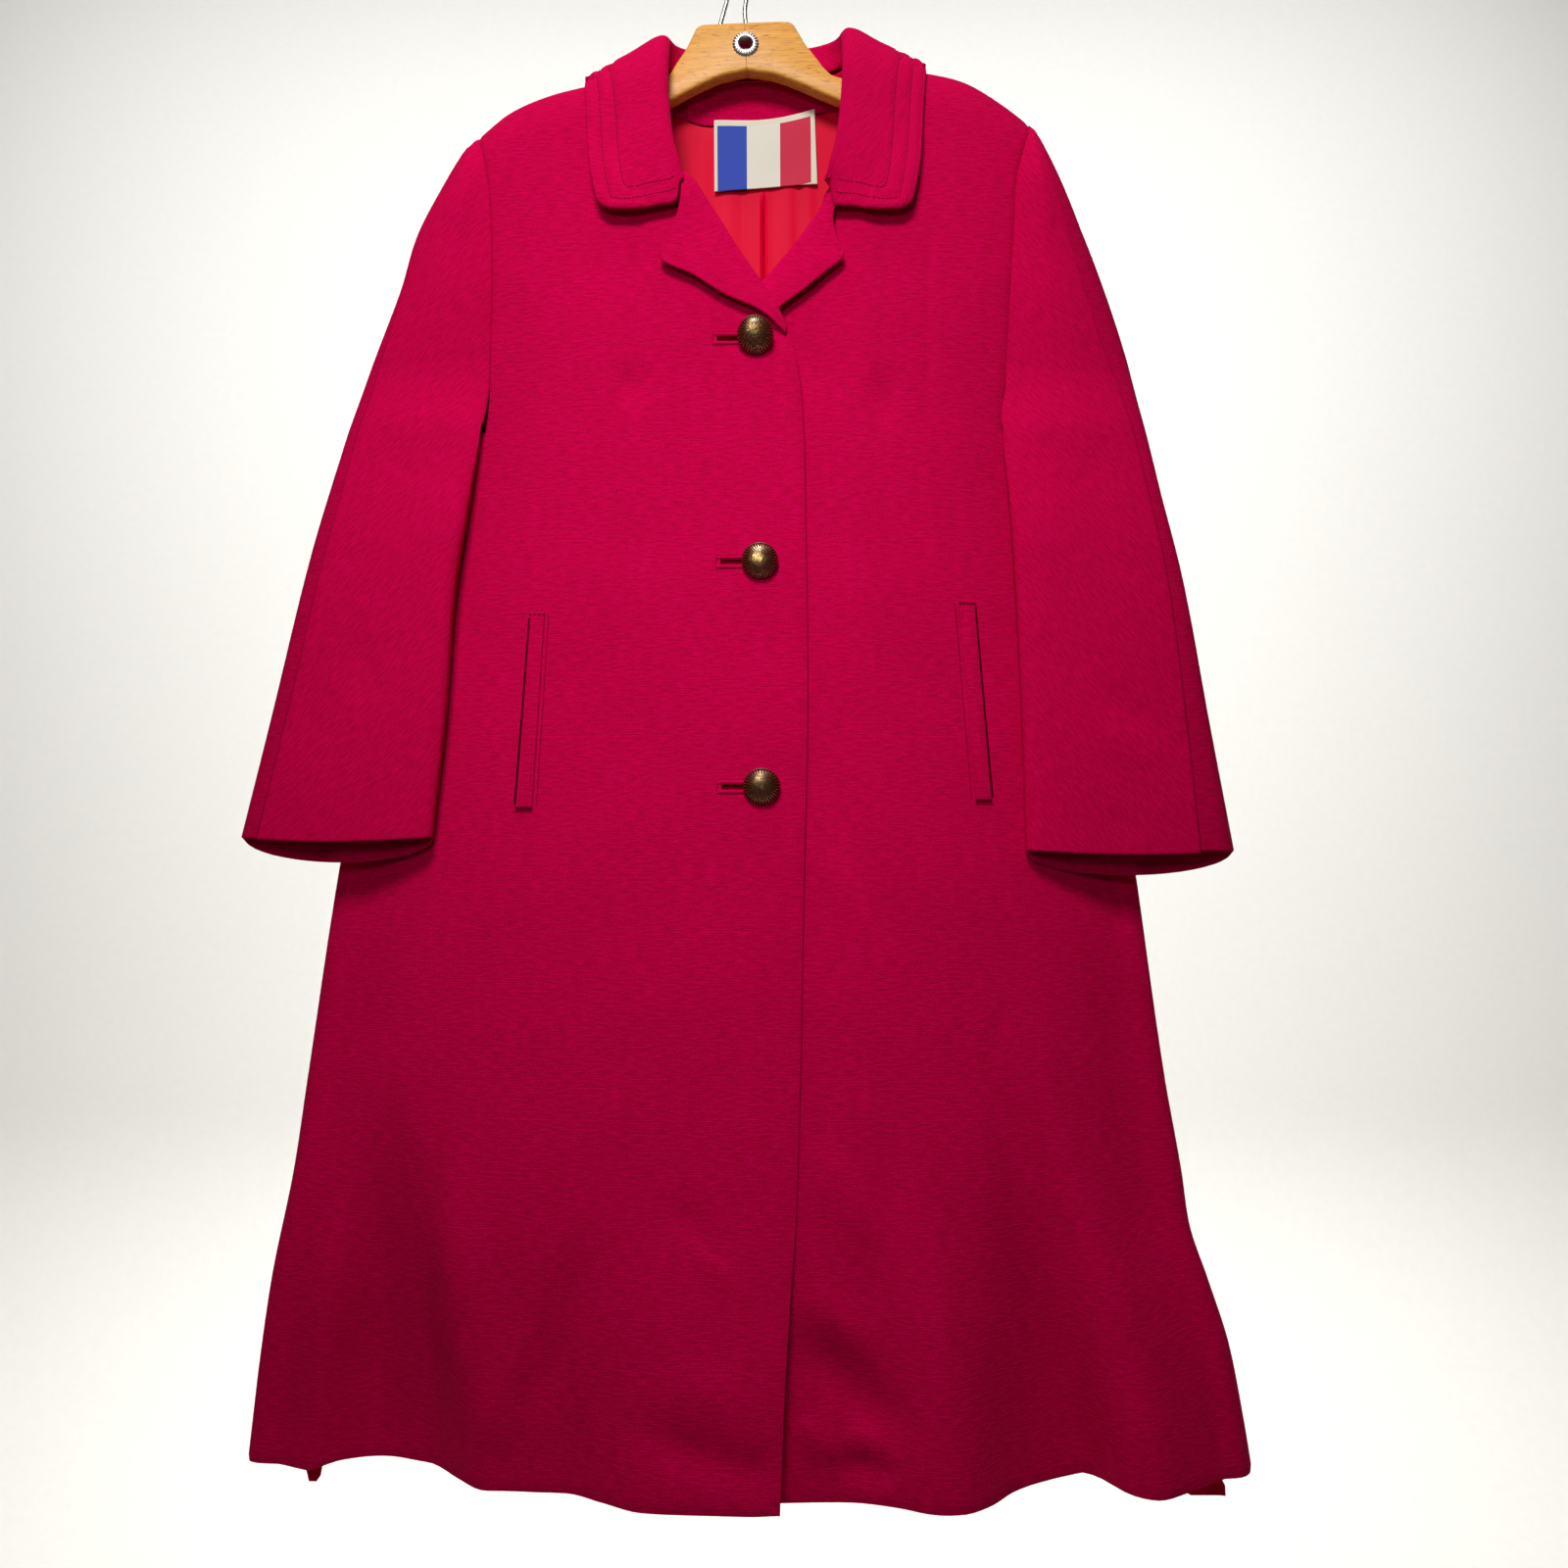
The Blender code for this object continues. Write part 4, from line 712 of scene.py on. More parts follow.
def joined_object(
    name: str,
    points: np.ndarray,
    faces: list[tuple[int, ...]],
    material: bpy.types.Material,
    cloth: np.ndarray | None = None,
    smooth_angle: float = 60.0,
) -> bpy.types.Object:
    """A smooth-shaded object from points and faces.

    Args:
        name: The object's name.
        points: Its points in metres.
        faces: Its faces, pointing outwards.
        material: Its finish.
        cloth: Cloth coordinates in metres, one pair a point.
        smooth_angle: Edges sharper than this many degrees stay crisp.

    Returns:
        The new object, at the origin.
    """
    mesh = bpy.data.meshes.new(name)
    mesh.from_pydata([tuple(point) for point in points], [], faces)
    mesh.validate()
    mesh.materials.append(material)
    if cloth is not None:
        layer = mesh.uv_layers.new(name=CLOTH_UV)
        corners = np.empty(len(mesh.loops), np.int32)
        mesh.loops.foreach_get("vertex_index", corners)
        layer.data.foreach_set("uv", cloth[corners].reshape(-1).astype(np.float32))
    mesh.shade_smooth()
    mesh.set_sharp_from_angle(angle=math.radians(smooth_angle))
    made = bpy.data.objects.new(name, mesh)
    bpy.context.scene.collection.objects.link(made)
    return made


def turned_outwards(mesh: bpy.types.Mesh) -> None:
    """Turns a closed mesh's faces outwards.

    Args:
        mesh: The mesh to change.
    """
    builder = bmesh.new()
    builder.from_mesh(mesh)
    bmesh.ops.recalc_face_normals(builder, faces=builder.faces[:])
    builder.to_mesh(mesh)
    builder.free()


def settled(made: bpy.types.Object) -> bpy.types.Object:
    """Turns an object's modifiers into plain mesh.

    Args:
        made: The object to settle.

    Returns:
        The same object, with a plain mesh.
    """
    graph = bpy.context.evaluated_depsgraph_get()
    mesh = bpy.data.meshes.new_from_object(made.evaluated_get(graph))
    made.modifiers.clear()
    made.data = mesh
    return made


def arc_lengths(points: np.ndarray, axis: int) -> np.ndarray:
    """Distance run along rows (axis 1) or columns (axis 0) of a grid of points.

    Args:
        points: Rows and columns of points.
        axis: 1 to run along rows, 0 along columns.

    Returns:
        One distance for each point.
    """
    steps = np.linalg.norm(np.diff(points, axis=axis), axis=2)
    run = np.cumsum(steps, axis=axis)
    pad = [(0, 0), (0, 0)]
    pad[axis] = (1, 0)
    return np.pad(run, pad)


def with_border_rows(grid: np.ndarray, axis: int, reach: tuple[float, ...]) -> np.ndarray:
    """Adds rows close inside both borders of a grid, for its edges to be rounded on.

    Args:
        grid: Rows and columns of points.
        axis: 0 adds rows, 1 adds columns.
        reach: Distances of the new rows from the border.

    Returns:
        The finer grid.
    """
    grid = np.moveaxis(grid, axis, 0)
    for end in (0, -1):
        edge, inner = (grid[0], grid[1]) if end == 0 else (grid[-1], grid[-2])
        gap = np.maximum(np.linalg.norm(inner - edge, axis=1, keepdims=True), 1e-6)
        rows = [mix(edge, inner, np.minimum(0.8, distance / gap)) for distance in reach]
        if end == 0:
            grid = np.concatenate([grid[:1], rows, grid[1:]])
        else:
            grid = np.concatenate([grid[:-1], rows[::-1], grid[-1:]])
    return np.moveaxis(grid, 0, axis)


@dataclass
class ClothShell:
    """A thin cloth shell through a grid of points, with softly turned edges.

    The outer face looks along outward. keep leaves cells out, and rim gives the direction of the
    thickness on a seam's points (a NaN leaves it square to the cloth).
    """

    name: str
    grid: np.ndarray
    material: bpy.types.Material
    outward: tuple[float, float, float]
    thickness: float = 2.2
    round_mm: float = 1.1
    centre: float = 14.0
    keep: np.ndarray | None = None
    rim: np.ndarray | None = None
    grain: Grain = Grain.RUN

    def build(self) -> bpy.types.Object:
        """Builds the shell.

        Returns:
            The new object, with cloth coordinates in metres.
        """
        points = placed(self.grid, self.centre)
        rows, columns = points.shape[:2]
        keep = np.ones((rows - 1, columns - 1), bool) if self.keep is None else self.keep
        normals = np.cross(points[1:, 1:] - points[:-1, :-1], points[1:, :-1] - points[:-1, 1:])
        turn = 1.0 if (normals[keep] @ np.array(self.outward)).sum() > 0 else -1.0
        size = np.linalg.norm(normals, axis=2, keepdims=True)
        unit = np.where(keep[..., None], normals / np.maximum(size, 1e-15), 0) * turn
        total = np.zeros_like(points)
        count = np.zeros((rows, columns))
        for di in (0, 1):
            for dj in (0, 1):
                total[di : rows - 1 + di, dj : columns - 1 + dj] += unit
                count[di : rows - 1 + di, dj : columns - 1 + dj] += keep
        inward = -total / np.maximum(np.linalg.norm(total, axis=2, keepdims=True), 1e-12)
        if self.rim is not None:
            given = ~np.isnan(self.rim[..., 0])
            inward[given] = self.rim[given]
        near = self.edge_distance(points, keep)
        drop = self.round_mm * MM * (1 - bow(1 - np.minimum(1, near / (self.round_mm * MM)), 2))
        outer = points + inward * drop[..., None]
        inner = points + inward * np.maximum(self.thickness * MM - drop, drop + 5e-5)[..., None]
        return self.mesh(outer, inner, keep, count > 0, turn)

    def edge_distance(self, points: np.ndarray, keep: np.ndarray) -> np.ndarray:
        """Distance in metres of each point from the nearest outer border of the grid.

        Args:
            points: Rows and columns of points.
            keep: Cells that are cloth.

        Returns:
            Distances, in the grid's shape.
        """
        along, across = arc_lengths(points, 0), arc_lengths(points, 1)
        found = np.minimum(along, along[-1:] - along)
        found = np.minimum(found, np.minimum(across, across[:, -1:] - across))
        count = np.zeros(points.shape[:2])
        for di in (0, 1):
            for dj in (0, 1):
                count[di : len(count) - 1 + di, dj : count.shape[1] - 1 + dj] += keep
        border = (count > 0) & (count < 4)
        return np.where(border, 0.0, found)

    def mesh(
        self,
        outer: np.ndarray,
        inner: np.ndarray,
        keep: np.ndarray,
        used: np.ndarray,
        turn: float,
    ) -> bpy.types.Object:
        """Joins both faces and the rim into one closed mesh.

        Args:
            outer: The outer face's points.
            inner: The inner face's points.
            keep: Cells that are cloth.
            used: Points that touch a kept cell.
            turn: -1 to turn the faces round.

        Returns:
            The new object.
        """
        count = int(used.sum())
        number = np.full(used.shape, -1)
        number[used] = np.arange(count)
        first, second = number[:-1, :-1][keep], number[:-1, 1:][keep]
        third, fourth = number[1:, 1:][keep], number[1:, :-1][keep]
        quads = np.stack([first, second, third, fourth], axis=1)
        if turn < 0:
            quads = quads[:, ::-1]
        ends = np.concatenate([quads[:, [k, (k + 1) % 4]] for k in range(4)])
        present = {(int(a), int(b)) for a, b in ends}
        rim = [(b, a, a + count, b + count) for a, b in present if (b, a) not in present]
        faces = [tuple(quad) for quad in quads.tolist()]
        faces += [tuple(corner + count for corner in quad[::-1]) for quad in quads.tolist()]
        faces += sorted(rim)
        across, along = arc_lengths(outer, 1), arc_lengths(outer, 0)
        middle = slice(across.shape[1] // 2, across.shape[1] // 2 + 1)
        if self.grain is not Grain.CORNER:
            across = across - across[:, middle]
        if self.grain is Grain.LEVEL:
            along = along[:, middle] + outer[:, middle, 2] - outer[..., 2]
        cloth = np.stack([across, along.max() - along], axis=-1)[used]
        points = np.concatenate([outer[used], inner[used]])
        return joined_object(self.name, points, faces, self.material, np.concatenate([cloth] * 2))


def resampled(grid: np.ndarray, rows: int, columns: int) -> np.ndarray:
    """A finer grid through a coarse one, smooth both ways and even along its lengths.

    Args:
        grid: Rows and columns of points.
        rows: Rows wanted.
        columns: Columns wanted.

    Returns:
        The finer grid.
    """
    for axis, wanted in ((0, rows), (1, columns)):
        run = arc_lengths(grid, axis).mean(axis=1 - axis)
        wanted_at = np.linspace(0, run[-1], wanted)
        moved = np.moveaxis(grid, axis, 0)
        flat = moved.reshape(len(run), -1)
        fine = np.stack([smooth_curve(run, flat[:, k], wanted_at) for k in range(flat.shape[1])], 1)
        grid = np.moveaxis(fine.reshape(wanted, *moved.shape[1:]), 0, axis)
    return grid


def at_fraction(grid: np.ndarray, i: np.ndarray, j: np.ndarray) -> np.ndarray:
    """Points of a grid at fractional rows and columns.

    Args:
        grid: Rows and columns of points.
        i: Rows, with fractions.
        j: Columns, with fractions.

    Returns:
        One point for each pair of i and j.
    """
    i, j = np.clip(i, 0, grid.shape[0] - 1.001), np.clip(j, 0, grid.shape[1] - 1.001)
    a, b = i.astype(int), j.astype(int)
    s, t = (i - a)[:, None], (j - b)[:, None]
    top = mix(grid[a, b], grid[a, b + 1], t)
    return mix(top, mix(grid[a + 1, b], grid[a + 1, b + 1], t), s)


# Geometry Nodes for what repeats


@dataclass(frozen=True)
class StitchRow:
    """A row of even machine stitches along a path, each a small rounded thread."""

    pitch_mm: float = 3.2
    length_mm: float = 2.3
    thread_mm: float = 0.34

    def tree(self, material: bpy.types.Material) -> bpy.types.NodeTree:
        """The node tree that lays stitches along a mesh of edges.

        Args:
            material: The thread's finish.

        Returns:
            The tree, with Pitch, Length and Thread inputs.
        """
        tree = bpy.data.node_groups.new("stitch row", "GeometryNodeTree")
        tree.interface.new_socket("Geometry", in_out="INPUT", socket_type="NodeSocketGeometry")
        for name, value in (
            ("Pitch", self.pitch_mm),
            ("Length", self.length_mm),
            ("Thread", self.thread_mm),
        ):
            socket = tree.interface.new_socket(name, in_out="INPUT", socket_type="NodeSocketFloat")
            socket.default_value = value * MM
        tree.interface.new_socket("Geometry", in_out="OUTPUT", socket_type="NodeSocketGeometry")
        given = add_node(tree, "NodeGroupInput").outputs
        curve = add_node(tree, "GeometryNodeMeshToCurve", {}, {0: given["Geometry"]})
        spaced = add_node(
            tree,
            "GeometryNodeResampleCurve",
            {"mode": "LENGTH"},
            {"Curve": curve.outputs[0], "Length": given["Pitch"]},
        )
        tangent = add_node(tree, "GeometryNodeInputTangent")
        turned = add_node(
            tree, "FunctionNodeAlignEulerToVector", {"axis": "Z"}, {"Vector": tangent.outputs[0]}
        )
        thread = add_node(
            tree,
            "GeometryNodeMeshCylinder",
            {"Vertices": 6, "Side Segments": 1, "fill_type": "NGON"},
            {"Radius": given["Thread"], "Depth": given["Length"]},
        )
        laid = add_node(
            tree,
            "GeometryNodeInstanceOnPoints",
            {},
            {
                "Points": spaced.outputs[0],
                "Instance": thread.outputs[0],
                "Rotation": turned.outputs[0],
            },
        )
        real = add_node(tree, "GeometryNodeRealizeInstances", {}, {0: laid.outputs[0]})
        dressed = add_node(
            tree, "GeometryNodeSetMaterial", {"Material": material}, {0: real.outputs[0]}
        )
        add_node(tree, "NodeGroupOutput", {}, {0: dressed.outputs[0]})
        return tree

    def along(
        self, name: str, paths: list[np.ndarray], material: bpy.types.Material
    ) -> bpy.types.Object:
        """Lays stitches along paths of points in metres.

        Args:
            name: The new object's name.
            paths: The rows' points.
            material: The thread's finish.

        Returns:
            One plain mesh of stitches.
        """
        points, edges = [], []
        for path in paths:
            start = len(points)
            points += [tuple(point) for point in path]
            edges += [(start + k, start + k + 1) for k in range(len(path) - 1)]
        mesh = bpy.data.meshes.new(name)
        mesh.from_pydata(points, edges, [])
        made = bpy.data.objects.new(name, mesh)
        bpy.context.scene.collection.objects.link(made)
        tree = self.tree(material)
        modifier = made.modifiers.new("Stitches", "NODES")
        modifier.node_group = tree
        for item in tree.interface.items_tree:
            if item.name == "Pitch" and item.in_out == "INPUT":
                modifier[item.identifier] = self.pitch_mm * MM
        return settled(made)


@dataclass(frozen=True)
class Sunburst:
    """Raised rays round a button's dome, uneven in length, laid out by Geometry Nodes."""

    count: int = 34
    radius_mm: float = 13.2
    dome_mm: float = 7.2

    def ray(self) -> bpy.types.Object:
        """One ray that runs from near the crown down the dome, pointing along X.

        Returns:
            The ray's object.
        """
        points, faces = [], []
        steps = 8
        for k in range(steps):
            t = mix(0.03, 0.985, k / (steps - 1))
            radius = self.radius_mm * t
            height = self.dome_mm * bow(t, 2.2)
            half = 0.06 + 0.26 * t
            proud = 0.3 + 0.45 * t
            section = ((-half, -0.5), (-half / 2, proud), (half / 2, proud), (half, -0.5))
            for side, lift in section:
                points.append((radius * MM, side * MM, (height + lift) * MM))
        for k in range(steps - 1):
            for m in range(3):
                a = 4 * k + m
                faces.append((a, a + 4, a + 5, a + 1))
            faces.append((4 * k + 3, 4 * k + 7, 4 * k + 4, 4 * k))
        faces.append((0, 1, 2, 3))
        last = 4 * (steps - 1)
        faces.append((last + 3, last + 2, last + 1, last))
        mesh = bpy.data.meshes.new("ray")
        mesh.from_pydata(points, [], faces)
        return bpy.data.objects.new("ray", mesh)

    def tree(self, ray: bpy.types.Object, material: bpy.types.Material) -> bpy.types.NodeTree:
        """The node tree that turns copies of a ray about Z.

        Args:
            ray: The ray's object.
            material: The rays' finish.

        Returns:
            The tree, with a Count input and a fixed seed for the rays' unevenness.
        """
        tree = bpy.data.node_groups.new("sunburst", "GeometryNodeTree")
        tree.interface.new_socket("Geometry", in_out="INPUT", socket_type="NodeSocketGeometry")
        count = tree.interface.new_socket("Count", in_out="INPUT", socket_type="NodeSocketInt")
        count.default_value = self.count
        tree.interface.new_socket("Geometry", in_out="OUTPUT", socket_type="NodeSocketGeometry")
        given = add_node(tree, "NodeGroupInput").outputs
        spots = add_node(tree, "GeometryNodePoints", {}, {"Count": given["Count"]})
        index = add_node(tree, "GeometryNodeInputIndex")
        each = {0: index.outputs[0], 1: given["Count"]}
        turn = add_node(tree, "ShaderNodeMath", {"operation": "DIVIDE"}, each)
        angle = add_node(
            tree, "ShaderNodeMath", {"operation": "MULTIPLY", 1: 2 * math.pi}, {0: turn.outputs[0]}
        )
        rotation = add_node(tree, "ShaderNodeCombineXYZ", {}, {"Z": angle.outputs[0]})
        uneven = add_node(
            tree,
            "FunctionNodeRandomValue",
            {"data_type": "FLOAT", 2: 0.86, 3: 1.03, "Seed": 7},
            {"ID": index.outputs[0]},
        )
        plain = {"X": 1.0, "Z": 1.0}
        scale = add_node(tree, "ShaderNodeCombineXYZ", plain, {"Y": uneven.outputs[1]})
        source = add_node(tree, "GeometryNodeObjectInfo", {"Object": ray})
        laid = add_node(
            tree,
            "GeometryNodeInstanceOnPoints",
            {},
            {
                "Points": spots.outputs[0],
                "Instance": source.outputs["Geometry"],
                "Rotation": rotation.outputs[0],
                "Scale": scale.outputs[0],
            },
        )
        real = add_node(tree, "GeometryNodeRealizeInstances", {}, {0: laid.outputs[0]})
        dressed = add_node(
            tree, "GeometryNodeSetMaterial", {"Material": material}, {0: real.outputs[0]}
        )
        both = add_node(tree, "GeometryNodeJoinGeometry")
        tree.links.new(given["Geometry"], both.inputs[0])
        tree.links.new(dressed.outputs[0], both.inputs[0])
        add_node(tree, "NodeGroupOutput", {}, {0: both.outputs[0]})
        return tree


def declare(
    piece: bpy.types.Object,
    nodes: tuple[str, ...],
    flat: tuple[float, float],
    area: float,
    hold: Hold,
    rests_on: tuple[str, ...],
    slot: str = "wool",
    trims: tuple[bpy.types.Object, ...] = (),
) -> None:
    """Makes a cloth piece stand for its nodes: hangs it on the body, hides their solids and logs
    its cloth area.

    Args:
        piece: The cloth piece.
        nodes: The solids that it replaces.
        flat: Width and length of its cut, in metres; not used.
        area: Flat area of its cut, in square metres; not used.
        hold: How it is held; not used.
        rests_on: The nodes that carry it; not used.
        slot: The record's material slot; not used.
        trims: The pieces that are sewn on it, such as its stitches; not used.
    """
    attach(piece, BODY)
    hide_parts(*nodes)
    surface = sum(face.area for face in piece.data.polygons) / 2
    LOG.info("%s: %d faces, %.4f m2 of cloth", piece.name, len(piece.data.polygons), surface)


# The coat's form


@dataclass(frozen=True)
class CoatForm:
    """The coat's main shape, from the same named tables as its solids."""

    PLANE_Y = 32.0
    hang_tilt: float = 0.042
    hem_z: float = -1140.0
    underarm_z: float = -372.0
    shoulder_depth: float = 32.0
    fold_top_z: float = -850.0
    side_round: float = 20.0
    armhole_gap: float = 0.25
    front_drop: float = 40.0
    back_drop: float = 110.0
    across: tuple[float, ...] = (0.0, 0.5, 0.8, 0.93)
    sleeve: dict[Side, tuple[SleeveRow, ...]] = field(
        default_factory=lambda: {
            Side.RIGHT: (
                SleeveRow(-133, 217, 219, 0.6), SleeveRow(-172, 207, 241, 1.0),
                SleeveRow(-215, 203, 262, 1.5), SleeveRow(-260, 202, 274, 3),
                SleeveRow(-310, 203, 291, 6), SleeveRow(-346, 204, 302, 8),
                SleeveRow(-372, 207, 310, 9), SleeveRow(-435, 215, 326, 13),
                SleeveRow(-495, 223, 340, 14), SleeveRow(-590, 228, 360, 15),
                SleeveRow(-700, 238, 384, 15),
            ),
            Side.LEFT: (
                SleeveRow(-133, 213, 220, 1.0), SleeveRow(-172, 202, 238, 8),
                SleeveRow(-215, 199, 255, 16), SleeveRow(-260, 196, 270, 19),
                SleeveRow(-310, 193, 284, 17), SleeveRow(-346, 191, 292, 12),
                SleeveRow(-372, 190, 298, 11), SleeveRow(-435, 194, 311, 12),
                SleeveRow(-495, 197, 324, 15), SleeveRow(-590, 200, 339, 20),
                SleeveRow(-700, 202, 357, 29),
            ),
        }
    )
    side: dict[Side, tuple[SideRow, ...]] = field(
        default_factory=lambda: {
            Side.RIGHT: (
                SideRow(-130, 270, 17), SideRow(-372, 260, 16), SideRow(-500, 282, 15),
                SideRow(-695, 315, 15), SideRow(-860, 336, 14), SideRow(-930, 345, 13),
                SideRow(-1005, 359, 12), SideRow(-1058, 366, 11), SideRow(-1140, 374, 10),
            ),
            Side.LEFT: (
                SideRow(-130, 264, 17), SideRow(-372, 245, 16), SideRow(-500, 262, 15),
                SideRow(-703, 289, 15), SideRow(-860, 308, 15), SideRow(-930, 319, 15),
                SideRow(-970, 324, 16), SideRow(-1007, 336, 16), SideRow(-1050, 349, 17),
                SideRow(-1096, 357, 18), SideRow(-1140, 363, 19),
            ),
        }
    )
    shoulder_line: dict[Side, tuple[LineRow, ...]] = field(
        default_factory=lambda: {
            Side.RIGHT: (
                LineRow(72, -81), LineRow(100, -86.5), LineRow(132, -93.2), LineRow(162, -101.3),
                LineRow(193, -115.7), LineRow(208, -128), LineRow(219, -138),
            ),
            Side.LEFT: (
                LineRow(72, -74.5), LineRow(100, -77.5), LineRow(132, -82.2), LineRow(164, -90.5),
                LineRow(191, -107), LineRow(208, -120), LineRow(219, -130),
            ),
        }
    )
    front_edge: dict[Side, tuple[LineRow, ...]] = field(
        default_factory=lambda: {
            Side.RIGHT: (
                LineRow(-72, -80), LineRow(-69, -120), LineRow(-64.5, -151), LineRow(-56.5, -172),
                LineRow(-38, -201), LineRow(-18.5, -234), LineRow(5.5, -270), LineRow(25.5, -302),
                LineRow(33, -333), LineRow(36.7, -378), LineRow(37.7, -424), LineRow(39.2, -571),
                LineRow(35.7, -742), LineRow(33.5, -852), LineRow(30.2, -951),
                LineRow(25.4, -1016), LineRow(22, -1073), LineRow(19.4, -1140),
            ),
            Side.LEFT: (
                LineRow(72, -80), LineRow(70, -120), LineRow(65.5, -151), LineRow(59.5, -180),
                LineRow(53, -200), LineRow(31.5, -232), LineRow(8.3, -260), LineRow(-8, -280),
                LineRow(-19, -300), LineRow(-26, -330), LineRow(-28, -378), LineRow(-28, -1140),
            ),
        }
    )
    front_table: tuple[DepthRow, ...] = (
        DepthRow(-80, 49, 48, 42, 30), DepthRow(-150, 50, 50, 43, 30),
        DepthRow(-250, 54, 51, 42, 28), DepthRow(-372, 56, 52, 37, 25),
        DepthRow(-500, 59, 53, 34, 23), DepthRow(-700, 65, 57, 36, 23),
        DepthRow(-850, 73, 62, 39, 25), DepthRow(-1140, 84, 70, 44, 28),
    )
    waves: dict[Side, tuple[WaveRow, ...]] = field(
        default_factory=lambda: {
            Side.RIGHT: (
                WaveRow(-357, -325, 17, 0.9), WaveRow(-325, -300, 27, 0.6),
                WaveRow(-305, -280, 12, 0.9), WaveRow(-279, -262, 7.5, 1.0),
                WaveRow(-241, -235, 15, 0.9), WaveRow(-212, -215, 38, 0.6),
                WaveRow(-186, -195, 55, 1.0), WaveRow(-160, -175, 59, 0.8),
                WaveRow(-131, -140, 61, 0.6), WaveRow(-105, -105, 73, 0.5),
                WaveRow(-75, -70, 87, 0.7), WaveRow(-40, -35, 90, 0.7), WaveRow(40, 45, 90, 0.8),
            ),
            Side.LEFT: (
                WaveRow(-30, -30, 75, 1.0), WaveRow(24, 30, 74, 0.9), WaveRow(66, 50, 73, 0.8),
                WaveRow(98, 85, 80, 0.7), WaveRow(120, 100, 88, 0.9), WaveRow(143, 115, 88, 0.9),
                WaveRow(164, 130, 78, 0.7), WaveRow(184, 145, 58, 0.8), WaveRow(208, 155, 43, 0.9),
                WaveRow(236, 165, 32, 1.0), WaveRow(247, 190, 41, 0.8), WaveRow(262, 205, 62, 0.9),
                WaveRow(284, 225, 67, 1.0), WaveRow(308, 260, 58, 0.8), WaveRow(340, 300, 40, 0.7),
            ),
        }
    )
    lap: tuple[LapRow, ...] = (
        LapRow(-130, 5), LapRow(-200, 9), LapRow(-310, 9), LapRow(-390, 4.6), LapRow(-1140, 4.6),
    )
    neck: tuple[NeckRow, ...] = (
        NeckRow(0, -74.5, 12.2), NeckRow(30, -75, 13.2), NeckRow(50, -76, 16),
        NeckRow(63, -77, 21), NeckRow(68, -77.4, 25), NeckRow(72, -77.8, 31.7),
    )
    back_flat: tuple[BackRow, ...] = (
        BackRow(-75, 9), BackRow(-130, 7.5), BackRow(-190, 4.5), BackRow(-300, 1.6),
        BackRow(-500, 0.6), BackRow(-1140, 0.6),
    )

    def by_side(self, x: np.ndarray, value: Callable[[Side], np.ndarray]) -> np.ndarray:
        """A value that differs between the sides, read by the sign of x."""
        return np.where(np.asarray(x) > 0, value(Side.LEFT), value(Side.RIGHT))

    def neck_tilt(self, x: np.ndarray, z: np.ndarray) -> np.ndarray:
        """How far the slanting hanger lifts a point of the neck."""
        return self.hang_tilt * x * ease(-195, -110, z)

    def shoulder(self, x: np.ndarray) -> np.ndarray:
        """Height of the shoulder seam, and of the back's neck edge inside it.

        Args:
            x: Positions along X, in millimetres.

        Returns:
            Heights in millimetres.
        """
        inside = read(self.neck, "z", np.abs(x), "x") + self.hang_tilt * x
        line = self.by_side(x, lambda s: read(self.shoulder_line[s], "z", np.abs(x), "x"))
        return np.where(np.abs(x) < self.neck[-1].x, inside, line)

    def half(self, side: Side, z: np.ndarray) -> np.ndarray:
        """Half width of the body on one side."""
        return read(self.side[side], "half", z)

    def plain_front(self, x: np.ndarray, z: np.ndarray) -> np.ndarray:
        """Depth of the front without waves, lap or turned side.

        Args:
            x: Positions along X, in millimetres.
            z: Heights, in millimetres.

        Returns:
            Depths in millimetres, in the shape of z.
        """
        nodes = np.stack(
            [read(self.front_table, name, z) for name in ("centre", "half", "armhole", "turn")], -1
        )
        half = self.by_side(x, lambda s: self.half(s, z))
        share = np.abs(x) / half
        found = smooth_curve(np.array(self.across), nodes.reshape(-1, 4), share.reshape(-1))
        return found.reshape(np.shape(share))

    def hem_waves(self, side: Side, x: np.ndarray, z: np.ndarray) -> np.ndarray:
        """How far the hem's waves move the front from its plain depth.

        Args:
            side: The wearer's side.
            x: Positions along X, in millimetres.
            z: Heights, in millimetres.

        Returns:
            Depths in millimetres, in the shape of z.
        """
        x, z = np.broadcast_arrays(x, z)
        rise = (z - self.hem_z) / (self.fold_top_z - self.hem_z)
        places, moves = [], []
        for wave in self.waves[side]:
            at = mix(wave.low, wave.high, np.maximum(0, rise))
            share = 1 - ease(0, 1, rise / wave.reach)
            places.append(at.reshape(-1))
            moves.append(((wave.depth - self.plain_front(at, z)) * share).reshape(-1))
        found = smooth_curve(np.stack(places, 1), np.stack(moves, 1), x.reshape(-1))
        return np.where(rise >= 1, 0, found.reshape(x.shape))

    def front(self, side: Side, x: np.ndarray, z: np.ndarray) -> np.ndarray:
        """Depth of a front panel's outer face, without the turn at the shoulder.

        Args:
            side: The wearer's side.
            x: Positions along X, in millimetres.
            z: Heights, in millimetres.

        Returns:
            Depths in millimetres, in the shape of z.
        """
        x, z = np.broadcast_arrays(np.asarray(x, float), np.asarray(z, float))
        half = self.by_side(x, lambda s: self.half(s, z))
        start = half - self.side_round
        inside = np.copysign(np.minimum(np.abs(x), start), x)
        depth = self.plain_front(inside, z) + self.hem_waves(side, inside, z)
        if side is Side.LEFT:
            fade = 1 - ease(44, 82, x)
            low = np.where(z < self.fold_top_z, ease(self.fold_top_z, self.hem_z, z), 0)
            depth = depth - read(self.lap, "drop", z) * fade * (1 - low)
        edge = self.by_side(x, lambda s: read(self.side[s], "depth", z))
        turn = bow(np.maximum(0, np.abs(x) - start) / self.side_round, 2)
        return np.where(np.abs(x) > start, edge + (depth - edge) * turn, depth)

